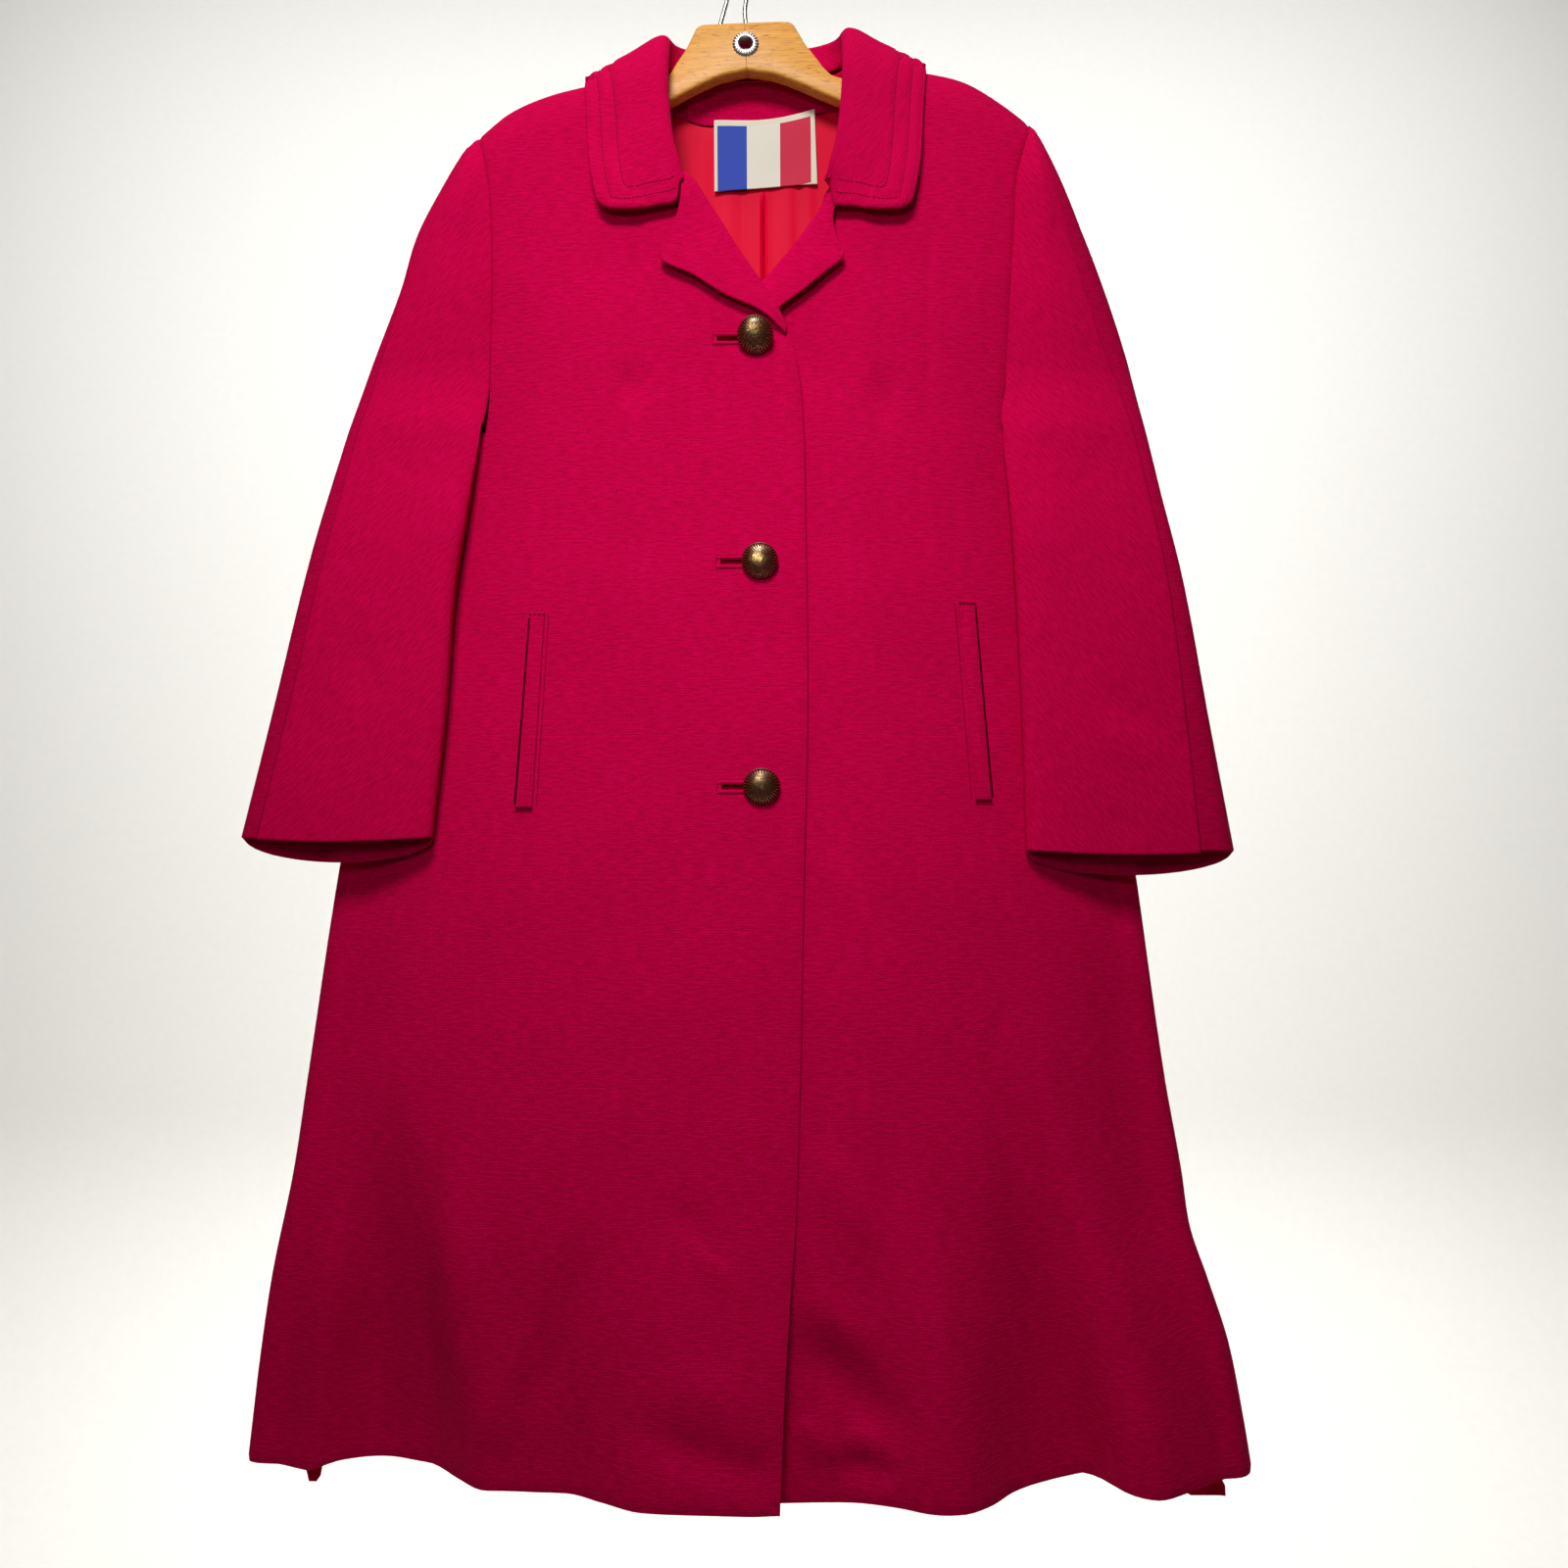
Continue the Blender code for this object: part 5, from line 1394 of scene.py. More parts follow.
    def turned_front(self, side: Side, x: np.ndarray, z: np.ndarray) -> np.ndarray:
        """The front's depth with its turn back to the shoulder seam.

        Args:
            side: The wearer's side.
            x: Positions along X, in millimetres.
            z: Heights, in millimetres.

        Returns:
            Depths in millimetres, in the shape of z.
        """
        depth = self.front(side, x, z)
        drop = (self.shoulder(x) - z) / self.front_drop
        turn = np.where(drop >= 1, 1, bow(1 - np.clip(drop - 0.004, 0, 1), 2))
        return self.shoulder_depth + (depth - self.shoulder_depth) * turn

    def back(self, x: np.ndarray, z: np.ndarray) -> np.ndarray:
        """Depth of the back's outer face, turned forward to the side, shoulder and neck.

        Args:
            x: Positions along X, in millimetres.
            z: Heights, in millimetres.

        Returns:
            Depths in millimetres, in the shape of z.
        """
        x, z = np.broadcast_arrays(np.asarray(x, float), np.asarray(z, float))
        half = self.by_side(x, lambda s: self.half(s, z))
        depth = read(self.back_flat, "depth", z)
        drop = np.clip((self.shoulder(x) - z - 0.2) / self.back_drop, 0, 1)
        top = read(self.neck, "depth", np.abs(x), "x")
        share = mix((1 - drop) ** 2, 1 - bow(1 - drop, 2), ease(45, 85, np.abs(x)))
        depth = depth + (top - depth) * share
        start = half - self.side_round
        edge = self.by_side(x, lambda s: read(self.side[s], "depth", z)) - 0.1
        turn = bow(np.maximum(0, np.abs(x) - start) / self.side_round, 2)
        turned = (np.abs(x) > start) & (z <= self.underarm_z)
        return np.where(turned, edge + (depth - edge) * turn, depth)

    def lifted_front(
        self, side: Side, x: np.ndarray, z: np.ndarray, lift: np.ndarray
    ) -> np.ndarray:
        """Depth of points that far off a front's outer face, measured square to it."""
        return self.lifted(lambda a, b: self.turned_front(side, a, b), x, z, lift)

    def lifted_back(self, x: np.ndarray, z: np.ndarray, lift: np.ndarray) -> np.ndarray:
        """Depth of points that far inside the back's outer face."""
        return self.lifted(self.back, x, z, lift)

    def lifted(
        self,
        surface: Callable[[np.ndarray, np.ndarray], np.ndarray],
        x: np.ndarray,
        z: np.ndarray,
        lift: np.ndarray,
    ) -> np.ndarray:
        """Depth of points a given distance off a surface, measured square to it.

        Args:
            surface: Depth of the surface at x and z.
            x: Positions along X, in millimetres.
            z: Heights, in millimetres.
            lift: The distance off it, in millimetres.

        Returns:
            Depths in millimetres, in the shape of z.
        """
        along = (surface(x + 1, z) - surface(x - 1, z)) / 2
        down = (surface(x, z + 1) - surface(x, z - 1)) / 2
        return surface(x, z) + lift * np.minimum(2.5, np.sqrt(1 + along**2 + down**2))

    def armhole(self, side: Side, z: np.ndarray) -> np.ndarray:
        """Half width of the armhole's seam."""
        return read(self.sleeve[side], "inner", np.maximum(z, self.underarm_z)) - self.armhole_gap

    def flap(self, side: Side, z: np.ndarray) -> np.ndarray:
        """Half width of the armhole's line carried down below the underarm.

        Args:
            side: The wearer's side.
            z: Heights, in millimetres.

        Returns:
            Half widths in millimetres.
        """
        share = self.armhole(side, self.underarm_z) / self.half(side, self.underarm_z)
        low = share * self.half(side, z)
        return np.where(z >= self.underarm_z, self.armhole(side, z), low)


# The body


def spread(start: float, end: float, step: float) -> list[float]:
    """Even heights from start to end, about step apart, with both ends."""
    count = max(2, int(round(abs(end - start) / step)) + 1)
    return list(np.linspace(start, end, count))


@dataclass
class BodyPanels:
    """Both fronts and the back, with their folds, pocket slits and buttonholes."""

    form: CoatForm
    wool: bpy.types.Material
    cell: float = 5.0
    folds: dict[Side, tuple[Fold, ...]] = field(
        default_factory=lambda: {
            Side.RIGHT: (
                Fold(((-88, -205), (-91, -270), (-92.6, -330)), -0.9, 2.2, 0.25, 0.1),
                Fold(((-92.6, -318), (-91, -345), (-80, -365)), -3.4, 10, 0.5, 0.6),
                Fold(((-112, -250), (-116, -330), (-108, -420)), 1.6, 16, 0.4, 0.5),
                Fold(((-274, -860), (-275, -960), (-274, -1028), (-270, -1140)), -3.5, 20, 0.5, 0),
                Fold(((-201, -888), (-197, -1010), (-195, -1140)), 3.5, 17, 0.5, 0),
                Fold(((-112, -940), (-128, -1010), (-160, -1100)), -4.5, 16, 0.4, 0.35),
                Fold(((-150, -1010), (-172, -1070), (-190, -1120)), 3.0, 14, 0.4, 0.3),
                Fold(((-66, -930), (-40, -955), (-16, -985)), -1.8, 9, 0.4, 0.5),
                Fold(((-50, -960), (-22, -985), (2, -1010)), 1.3, 8, 0.4, 0.5),
                Fold(((-96, -1075), (-50, -1098), (0, -1112), (24, -1118)), -4.5, 15, 0.4, 0.2),
                Fold(((-70, -1040), (-30, -1062), (10, -1075)), 2.2, 16, 0.5, 0.5),
                Fold(((22, -306), (29, -333), (33, -376)), 1.4, 4, 0.2, 0.7),
                Fold(((13, -312), (20, -335), (26, -364)), -1.6, 5, 0.2, 0.6),
                Fold(((-240, -700), (-262, -860), (-285, -1000)), 1.8, 22, 0.4, 0.5),
                Fold(((-30, -700), (-45, -820), (-52, -900)), 1.0, 26, 0.5, 0.5),
            ),
            Side.LEFT: (
                Fold(((100.4, -232), (98, -290), (95.9, -334)), -0.9, 2.2, 0.25, 0.1),
                Fold(((95.9, -322), (97, -350), (101, -385)), -3.2, 9, 0.4, 0.6),
                Fold(((134, -190), (131, -300), (128.5, -400)), -1.1, 2.6, 0.2, 0.3),
                Fold(((60, -620), (80, -720), (112, -775)), -2.4, 14, 0.4, 0.4),
                Fold(((40, -680), (62, -712), (90, -760)), 1.8, 12, 0.4, 0.5),
                Fold(
                    (
                        (150, -790), (170, -850), (204, -925), (236, -1055), (247, -1140)
                    ), -3, 12, 0.3, 0
                ),
                Fold(
                    (
                        (198, -750), (214, -860), (228, -930), (276, -1045), (286, -1140)
                    ), 3.5, 14, 0.4, 0
                ),
                Fold(((244, -720), (262, -820), (286, -955), (318, -1060)), -2.5, 14, 0.4, 0.4),
                Fold(((184, -795), (178, -820), (169, -842)), -1.6, 5, 0.3, 0.4),
                Fold(((40, -888), (62, -930), (92, -985)), 3.0, 15, 0.4, 0.5),
                Fold(((24, -1010), (48, -1045), (90, -1082), (118, -1100)), -6.5, 16, 0.4, 0.4),
                Fold(((26, -985), (56, -1015), (96, -1050)), 2.8, 12, 0.5, 0.5),
                Fold(((34, -1078), (44, -1095), (58, -1116)), 4.5, 8, 0.4, 0.4),
                Fold(((66, -1088), (80, -1098), (92, -1102)), 3.2, 7, 0.4, 0.5),
                Fold(((56, -1110), (74, -1116), (104, -1120)), -4.0, 8, 0.4, 0.4),
                Fold(((118, -960), (128, -1040), (136, -1140)), 2.2, 20, 0.4, 0),
                Fold(((90, -480), (96, -620), (104, -720)), 1.0, 26, 0.5, 0.5),
            ),
        }
    )
    back_folds: tuple[Fold, ...] = (
        Fold(((-120, -560), (-150, -820), (-185, -1140)), -1.6, 24, 0.5, 0),
        Fold(((130, -600), (150, -860), (176, -1140)), -1.6, 22, 0.5, 0),
        Fold(((-30, -700), (-38, -920), (-52, -1140)), -1.2, 26, 0.5, 0),
        Fold(((-170, -150), (-100, -175), (0, -182), (100, -175), (170, -150)), 0.6, 12, 0.3, 0.3),
    )

    def build(self) -> dict[str, bpy.types.Object]:
        """Builds the three panels.

        Returns:
            Their objects by node name.
        """
        made = {f"front_{side.word}": self.front(side) for side in Side}
        made["back"] = self.back()
        return made

    def surface(self, side: Side, x: np.ndarray, z: np.ndarray) -> np.ndarray:
        """Depth of a dressed front, folds and all.

        Args:
            side: The wearer's side.
            x: Positions along X, in millimetres.
            z: Heights, in millimetres.

        Returns:
            Depths in millimetres, in the shape of z.
        """
        calm = ease(0, 30, self.form.shoulder(x) - z)
        near = 1 - 0.75 * bump(z + 420, 160) * bump(np.abs(x), 60)
        rough = unevenness(x, z, 0.6 if side is Side.LEFT else 2.1, 0.7)
        moved = (relief(self.folds[side], x, z) + rough * near) * calm
        half = self.form.by_side(x, lambda s: self.form.half(s, z))
        moved = moved * self.side_calm(x, half)
        above = ease(-380, -360, z)
        moved = moved * mix(1, self.side_calm(x, self.form.armhole(side, z)), above)
        return self.form.turned_front(side, x, z) + moved

    def side_calm(self, x: np.ndarray, half: np.ndarray) -> np.ndarray:
        """1 inside the panel and 0 on its side seam."""
        t = np.clip((half - np.abs(x)) / 16, 0, 1)
        return t * t * (3 - 2 * t)

    def heights(self, top: float) -> np.ndarray:
        """Nominal row heights from the shoulder to the hem.

        Args:
            top: The panel's height at its highest point.

        Returns:
            Row heights in millimetres.
        """
        form = self.form
        turn = [form.front_drop * (1 - math.cos(math.pi / 2 * i / 10)) for i in range(11)]
        rows = [top - drop for drop in turn]
        rows += spread(rows[-1] - self.cell, form.underarm_z, self.cell)
        rows += spread(form.underarm_z - self.cell, form.fold_top_z, self.cell * 1.5)
        rows += spread(form.fold_top_z - self.cell, form.hem_z, self.cell)
        return np.array(rows)

    def front(self, side: Side) -> bpy.types.Object:
        """One front, from its buttoned edge to the armhole and side seams.

        Args:
            side: The wearer's side.

        Returns:
            The piece's object.
        """
        form = self.form
        top_x = side.sign * form.shoulder_line[side][0].x
        top = float(form.shoulder(np.array(top_x)))
        z_rows = self.heights(top)
        shares = np.linspace(0, 1, 58)
        level = np.repeat(z_rows[:, None], len(shares), 1)
        slope = np.clip((z_rows - form.underarm_z) / (top - form.underarm_z), 0, 1)[:, None]
        x = np.zeros_like(level)
        for _ in range(5):
            edge = read(form.front_edge[side], "x", level)
            x = mix(edge, side.sign * form.flap(side, level), shares[None, :])
            raised = z_rows[:, None] + (form.shoulder(x) - top) * slope
            level = np.where(np.abs(x) > abs(top_x), raised, z_rows[:, None])
        low = np.minimum(z_rows, form.underarm_z)
        start, half = form.flap(side, low), form.half(side, low)
        flat = mix(start[:, None], (half - form.side_round)[:, None], np.linspace(0, 1, 13)[1:])
        turn = (half - form.side_round)[:, None] + form.side_round * np.sin(
            np.linspace(0, math.pi / 2, 9)[1:]
        )
        flap_x = side.sign * np.concatenate([flat, turn], axis=1)
        flap_z = np.repeat(z_rows[:, None], flap_x.shape[1], 1)
        x, level = np.concatenate([x, flap_x], 1), np.concatenate([level, flap_z], 1)
        grid = np.stack([x, self.surface(side, x, np.minimum(level, 0)), level], -1)
        armhole = len(shares) - 1
        keep = np.ones((grid.shape[0] - 1, grid.shape[1] - 1), bool)
        flap_row = int(np.argmax(z_rows <= form.underarm_z + 0.01))
        keep[:flap_row, armhole:] = False
        rim = np.full(grid.shape, np.nan)
        rim[:, -1] = (-side.sign, 0, 0)
        rim[0] = (0, 0, -1)
        rim[: flap_row + 1, armhole] = (-0.45 * side.sign, 0.9, 0)
        return ClothShell(
            f"front_{side.word}_cloth",
            grid,
            self.wool,
            (0, -1, 0),
            keep=keep,
            rim=rim,
            grain=Grain.LEVEL,
        ).build()

    def back(self) -> bpy.types.Object:
        """The back panel.

        Returns:
            The piece's object.
        """
        form = self.form
        top = float(form.shoulder(np.array(0.0)))
        drops = [form.back_drop * (1 - math.cos(math.pi / 2 * i / 14)) for i in range(15)]
        z_rows = np.array(
            [top - drop for drop in drops]
            + spread(top - form.back_drop - 9, form.underarm_z, 9)
            + spread(form.underarm_z - 9, form.hem_z + 3, 11)
        )
        slope = np.clip((z_rows - form.underarm_z) / (top - form.underarm_z), 0, 1)[:, None]
        low = np.minimum(z_rows, form.underarm_z)
        halves = {}
        for side in Side:
            shares = np.linspace(0, 1, 31)
            level = np.repeat(z_rows[:, None], len(shares), 1)
            x = np.zeros_like(level)
            for _ in range(5):
                x = side.sign * form.flap(side, level) * shares[None, :]
                level = z_rows[:, None] + (form.shoulder(x) - top) * slope
            start, half = form.flap(side, low), form.half(side, low)
            flat = mix(start[:, None], (half - form.side_round)[:, None], np.linspace(0, 1, 7)[1:])
            turn = (half - form.side_round)[:, None] + form.side_round * np.sin(
                np.linspace(0, math.pi / 2, 8)[1:]
            )
            flap_x = side.sign * np.concatenate([flat, turn], axis=1)
            flap_z = np.repeat(z_rows[:, None], flap_x.shape[1], 1)
            flap_depth = form.back(flap_x, np.minimum(flap_z, low[:, None]))
            depth = np.concatenate([form.back(x, level), flap_depth], 1)
            x, level = np.concatenate([x, flap_x], 1), np.concatenate([level, flap_z], 1)
            inner = self.side_calm(x, form.half(side, np.minimum(level, form.underarm_z)))
            raised = relief(self.back_folds, x, level) * inner
            depth -= raised * ease(0, 30, form.shoulder(x) - level)
            halves[side] = np.stack([x, np.maximum(depth, 0.3), level], -1)
        grid = np.concatenate([halves[Side.RIGHT][:, :0:-1], halves[Side.LEFT]], axis=1)
        outer = 13
        flap_row = int(np.argmax(z_rows <= form.underarm_z + 0.01))
        keep = np.ones((grid.shape[0] - 1, grid.shape[1] - 1), bool)
        keep[:flap_row, :outer] = False
        keep[:flap_row, -outer:] = False
        rim = np.full(grid.shape, np.nan)
        rim[:, 0], rim[:, -1] = (1, 0, 0), (-1, 0, 0)
        shoulder = np.abs(grid[0, :, 0]) >= form.neck[-1].x
        rim[0, shoulder] = (0, 0, -1)
        for edge, lean in ((outer, 0.45), (grid.shape[1] - 1 - outer, -0.45)):
            rim[: flap_row + 1, edge] = (lean, -0.9, 0)
        return ClothShell(
            "back_cloth", grid, self.wool, (0, 1, 0), keep=keep, rim=rim, grain=Grain.LEVEL
        ).build()


# Sleeves


@dataclass
class Sleeves:
    """The two-piece sleeves: a front piece, and a back piece that wraps round the outer edge."""

    form: CoatForm
    wool: bpy.types.Material
    # darker copy of the wool: painted shade on the back pieces' outer strip
    under_wool: bpy.types.Material
    fold_out: float = 46.0
    body_share: float = 0.55
    cuff: dict[Side, float] = field(default_factory=lambda: {Side.RIGHT: -682.0, Side.LEFT: -691.5})
    cuff_drop: float = 18.0
    lean: dict[Side, float] = field(default_factory=lambda: {Side.RIGHT: 0.45, Side.LEFT: 0.8})
    lean_reach: float = 13.0
    tuck: dict[Side, float] = field(default_factory=lambda: {Side.RIGHT: 0.0, Side.LEFT: 2.8})
    folds: dict[Side, tuple[Fold, ...]] = field(
        default_factory=lambda: {
            Side.RIGHT: (
                Fold(((-219, -160), (-225, -200), (-228, -236)), 1.8, 6, 0.3, 0.5),
                Fold(((-236, -300), (-262, -380), (-270, -470)), -1.4, 16, 0.4, 0.5),
                Fold(((-300, -520), (-286, -566), (-262, -600)), -1.3, 11, 0.4, 0.5),
                Fold(((-320, -600), (-330, -650), (-334, -684)), 1.2, 14, 0.4, 0),
            ),
            Side.LEFT: (
                Fold(((214, -158), (222, -200), (226, -240)), 1.4, 6, 0.3, 0.5),
                Fold(((236, -300), (256, -380), (262, -470)), -1.3, 15, 0.4, 0.5),
                Fold(((256, -560), (276, -588), (298, -610)), -2.0, 9, 0.4, 0.4),
                Fold(((250, -590), (270, -618), (290, -640)), 1.4, 9, 0.4, 0.5),
                Fold(((263, -664), (270, -672), (276, -680)), -1.4, 6, 0.3, 0.3),
            ),
        }
    )

    def build(self) -> dict[str, bpy.types.Object]:
        """Builds the four pieces.

        Returns:
            Their objects by node name.
        """
        made = {}
        for side in Side:
            made[f"sleeve_front_{side.word}"] = self.front(side)
            made[f"sleeve_back_{side.word}"] = self.back(side)
        return made

    def across(self, side: Side, share: np.ndarray, z: np.ndarray) -> np.ndarray:
        """X at a share of the sleeve's width."""
        rows = self.form.sleeve[side]
        return side.sign * mix(read(rows, "inner", z), read(rows, "outer", z), share)

    def fold_depth(self, side: Side, z: np.ndarray) -> np.ndarray:
        """Depth of the inner edge: flush with the armhole, then swinging forward.

        Args:
            side: The wearer's side.
            z: Heights, in millimetres.

        Returns:
            Depths in millimetres, in the shape of z.
        """
        high = np.maximum(z, self.form.underarm_z)
        x = side.sign * self.form.armhole(side, high)
        flush = self.form.turned_front(side, x, high)
        return mix(flush, self.fold_out + 2 * ease(-372, -600, z), ease(-318, -378, z))

    def edge_depth(self, z: np.ndarray) -> np.ndarray:
        """Depth of the sleeve's outer edge."""
        return mix(self.form.shoulder_depth, 41, ease(-150, -500, z))

    def front_depth(self, side: Side, share: np.ndarray, z: np.ndarray) -> np.ndarray:
        """Depth of the front piece's outer face.

        Args:
            side: The wearer's side.
            share: Share of the width, from the inner edge.
            z: Heights, in millimetres.

        Returns:
            Depths in millimetres, in the shape of z.
        """
        inner, outer = self.fold_depth(side, z), self.edge_depth(z)
        top = self.form.shoulder(side.sign * self.form.armhole(side, np.array(-140.0)))
        swell = 7 * ease(0, 70, top - z)
        arch = inner - outer + swell * np.sin(math.pi * np.clip(share, 0, 1))
        high = outer + arch * bow(share, 3.0)
        low = mix(inner, outer, share) + 13 * bow(2 * share - 1, 3.8)
        return mix(high, low, ease(-350, -470, z))

    def high_back(self, side: Side, share: np.ndarray, z: np.ndarray) -> np.ndarray:
        """Depth of the back piece above the underarm.

        Args:
            side: The wearer's side.
            share: Share of the width, from the inner edge.
            z: Heights, in millimetres.

        Returns:
            Depths in millimetres, in the shape of z.
        """
        flush = self.form.back(side.sign * (self.form.armhole(side, z) + 0.6), z)
        outer = self.edge_depth(z) - 0.2
        return outer - (outer - flush) * bow(share, 2.2)

    def low_back(self, side: Side, share: np.ndarray, z: np.ndarray) -> np.ndarray:
        """Depth of the back piece below the underarm, where it passes behind the coat's side.

        Args:
            side: The wearer's side.
            share: Share of the width, from the inner edge.
            z: Heights, in millimetres.

        Returns:
            Depths in millimetres, in the shape of z.
        """
        x = np.abs(self.across(side, share, z))
        inner, outer = self.fold_depth(side, z) - 0.2, self.edge_depth(z) - 0.2
        free = mix(inner, outer, share) - 9 * bow(2 * share - 1, 2.6)
        under = np.full(np.shape(z), self.form.underarm_z)
        start = self.high_back(side, share, under)
        hung = outer - (outer - 26) * bow(share, 3)
        outside = mix(start, hung, ease(self.form.underarm_z + 10, -620, z))
        free = np.where(share > self.body_share, outside, free)
        half = self.form.half(side, z)
        clear = 0.8 + 2.0 * ease(self.form.underarm_z, -450, z)
        near = side.sign * np.minimum(x, half - 4)
        body = self.form.lifted_front(side, near, z, clear)
        return np.where(x < half + 1.5, np.minimum(inner, np.maximum(free, body)), free)

    def seam_share(self, side: Side, z: np.ndarray) -> np.ndarray:
        """Share of the width at which the overarm seam lies.

        Args:
            side: The wearer's side.
            z: Heights, in millimetres.

        Returns:
            Shares from 0 to 1.
        """
        rows = self.form.sleeve[side]
        width = read(rows, "outer", z) - read(rows, "inner", z)
        return 1 - np.minimum(read(rows, "strip", z), 0.3 * width) / width

    def seam_inward(self, side: Side, z: np.ndarray) -> np.ndarray:
        """Directions into the sleeve, square to its surface along the overarm seam.

        Args:
            side: The wearer's side.
            z: Heights, in millimetres.

        Returns:
            One direction for each height.
        """
        share, step = self.seam_share(side, z), 0.004
        run = np.abs(self.across(side, share, z) - self.across(side, share - step, z))
        fall = self.front_depth(side, share - step, z) - self.front_depth(side, share, z)
        length = np.hypot(run, fall)
        return np.stack([-side.sign * fall / length, run / length, np.zeros(np.shape(z))], -1)

    def high_rows(self, side: Side) -> np.ndarray:
        """Heights above the underarm.

        Args:
            side: The wearer's side.

        Returns:
            Heights in millimetres, from the top.
        """
        top = float(
            self.form.shoulder(np.array(side.sign * (self.form.armhole(side, np.array(-137.0)))))
        )
        steep = [top - 1 - drop for drop in (0, 1, 2.5, 4.5, 7, 10, 14, 19)]
        return np.array(steep + spread(steep[-1] - 4.5, self.form.underarm_z + 5, 5))

    def leaned(self, side: Side, x: np.ndarray, z: np.ndarray) -> np.ndarray:
        """Heights that carry the shoulder's slope out over the sleeve's top.

        Args:
            side: The wearer's side.
            x: Positions along X, in millimetres.
            z: Heights, in millimetres.

        Returns:
            Heights in millimetres, in the shape of z.
        """
        seam_top = self.form.armhole(side, np.array(-137.0))
        top = float(self.form.shoulder(np.array(side.sign * seam_top)))
        past = np.abs(x) - read(self.form.sleeve[side], "inner", z)
        return z - self.lean[side] * past * ease(top - self.lean_reach, top - 1, z)

    def low_rows(self, side: Side) -> np.ndarray:
        """Heights from the underarm to the cuff, closest at its rounded edge."""
        end = self.cuff[side]
        rows = spread(self.form.underarm_z, end + 6, 5)
        return np.array(rows + [end + 2.5, end + 1, end + 0.3, end])

    def fold_rim(self, side: Side, rows: np.ndarray, inward: int) -> np.ndarray:
        """Thickness directions along the armhole and the inner fold.

        Args:
            side: The wearer's side.
            rows: The piece's row heights.
            inward: 1 for the front piece, -1 for the back one.

        Returns:
            One direction for each point, NaN where it is left square.
        """
        high = rows > self.form.underarm_z + 0.3
        sewn = (-0.45 * side.sign, 0.9 * inward, 0.0)
        return np.where(high[:, None], sewn, (float(side.sign), 0.0, 0.0))

    def front(self, side: Side) -> bpy.types.Object:
        """One front piece, from its armhole and inner fold to the overarm seam.

        Args:
            side: The wearer's side.

        Returns:
            The piece's object.
        """
        rows = np.concatenate([self.high_rows(side), self.low_rows(side)])
        columns = 30
        angle = math.pi * 0.94 * np.arange(columns + 1) / columns
        share = ((1 - np.cos(angle)) / (1 - math.cos(math.pi * 0.94)))[None, :]
        z = rows[:, None]
        width = np.abs(self.across(side, 1, z) - self.across(side, 0, z))
        share = share * (self.seam_share(side, z) - (0.2 + 0.4 * ease(-170, -140, z)) / width)
        z = np.broadcast_to(z, share.shape)
        low = ease(self.cuff[side] + 40, self.cuff[side], z)
        level = z - 3 * np.sin(math.pi * share) * low
        x = self.across(side, share, z)
        x = x - side.sign * self.tuck[side] * (1 - share) ** 4 * ease(-338, -362, z)
        calm = ease(0, 0.06, share) * (1 - ease(0.9, 0.99, share))
        rough = unevenness(x, z, 1.4 if side is Side.LEFT else 3.2, 0.55)
        depth = self.front_depth(side, share, z) + (relief(self.folds[side], x, z) + rough) * calm
        rim = np.full((*share.shape, 3), np.nan)
        rim[:, 0] = self.fold_rim(side, rows, 1)
        rim[:, -1] = self.seam_inward(side, rows)
        grid = np.stack([x, depth, self.leaned(side, x, level)], -1)
        name = f"sleeve_front_{side.word}_cloth"
        return ClothShell(
            name, grid, self.wool, (0, -1, 0), rim=rim, round_mm=0.9, grain=Grain.LEVEL
        ).build()

    def back(self, side: Side) -> bpy.types.Object:
        """One back piece, with the slit that opens it to the body.

        Args:
            side: The wearer's side.

        Returns:
            The piece's object.
        """
        high = np.append(self.high_rows(side), self.form.underarm_z + 0.6)
        low = self.low_rows(side)
        rows = np.concatenate([high, low])
        behind = (0, 0.006, 0.015, 0.035, 0.06, 0.1, 0.16, 0.22, 0.3, 0.37, 0.43, 0.48, 0.53)
        outside = (0.585, 0.64, 0.7, 0.76, 0.82, 0.87, 0.92, 0.955, 0.98, 0.992)
        share = np.array(behind + outside)[None, :]
        z = np.broadcast_to(rows[:, None], (len(rows), share.shape[1]))
        share = np.broadcast_to(share, z.shape)
        depth = np.concatenate(
            [
                self.high_back(side, share[: len(high)], z[: len(high)]),
                self.low_back(side, share[len(high) :], z[len(high) :]),
            ]
        )
        fall = self.cuff_drop * bow(2 * share - 1, 2) * ease(
            self.cuff[side] + 60, self.cuff[side], z
        )
        x = self.across(side, share, z)
        lower = z <= self.form.underarm_z + 0.01
        x = x - side.sign * self.tuck[side] * (1 - share) ** 4 * lower
        body = np.stack([x, depth, self.leaned(side, x, z) - fall], -1)
        steps = np.array((0, 0.2, 0.45, 0.72, 1.0))[None, :]
        wrap = mix(1.0, self.seam_share(side, rows[:, None]), steps)
        level = np.broadcast_to(rows[:, None], wrap.shape)
        over = np.where(
            steps == 0, self.edge_depth(level), self.front_depth(side, np.minimum(wrap, 1), level)
        )
        x = self.across(side, wrap, level)
        strip = np.stack([x, over, self.leaned(side, x, level)], -1)
        grid = np.concatenate([body, strip], axis=1)
        slit_row, slit_end = len(high) - 1, len(behind)
        keep = np.ones((grid.shape[0] - 1, grid.shape[1] - 1), bool)
        keep[slit_row, :slit_end] = False
        rim = np.full(grid.shape, np.nan)
        rim[slit_row : slit_row + 2, 1:slit_end] = (0, -1, 0)
        rim[:, 0] = self.fold_rim(side, rows, -1)
        rim[:, -1] = self.seam_inward(side, rows)
        return ClothShell(
            f"sleeve_back_{side.word}_cloth",
            grid,
            # the darker wool is painted shade where the strip turns away from the light
            self.under_wool,
            (side.sign * 0.3, 1, 0),
            keep=keep,
            rim=rim,
            round_mm=0.9,
            grain=Grain.LEVEL,
        ).build()


# Collar and lapels


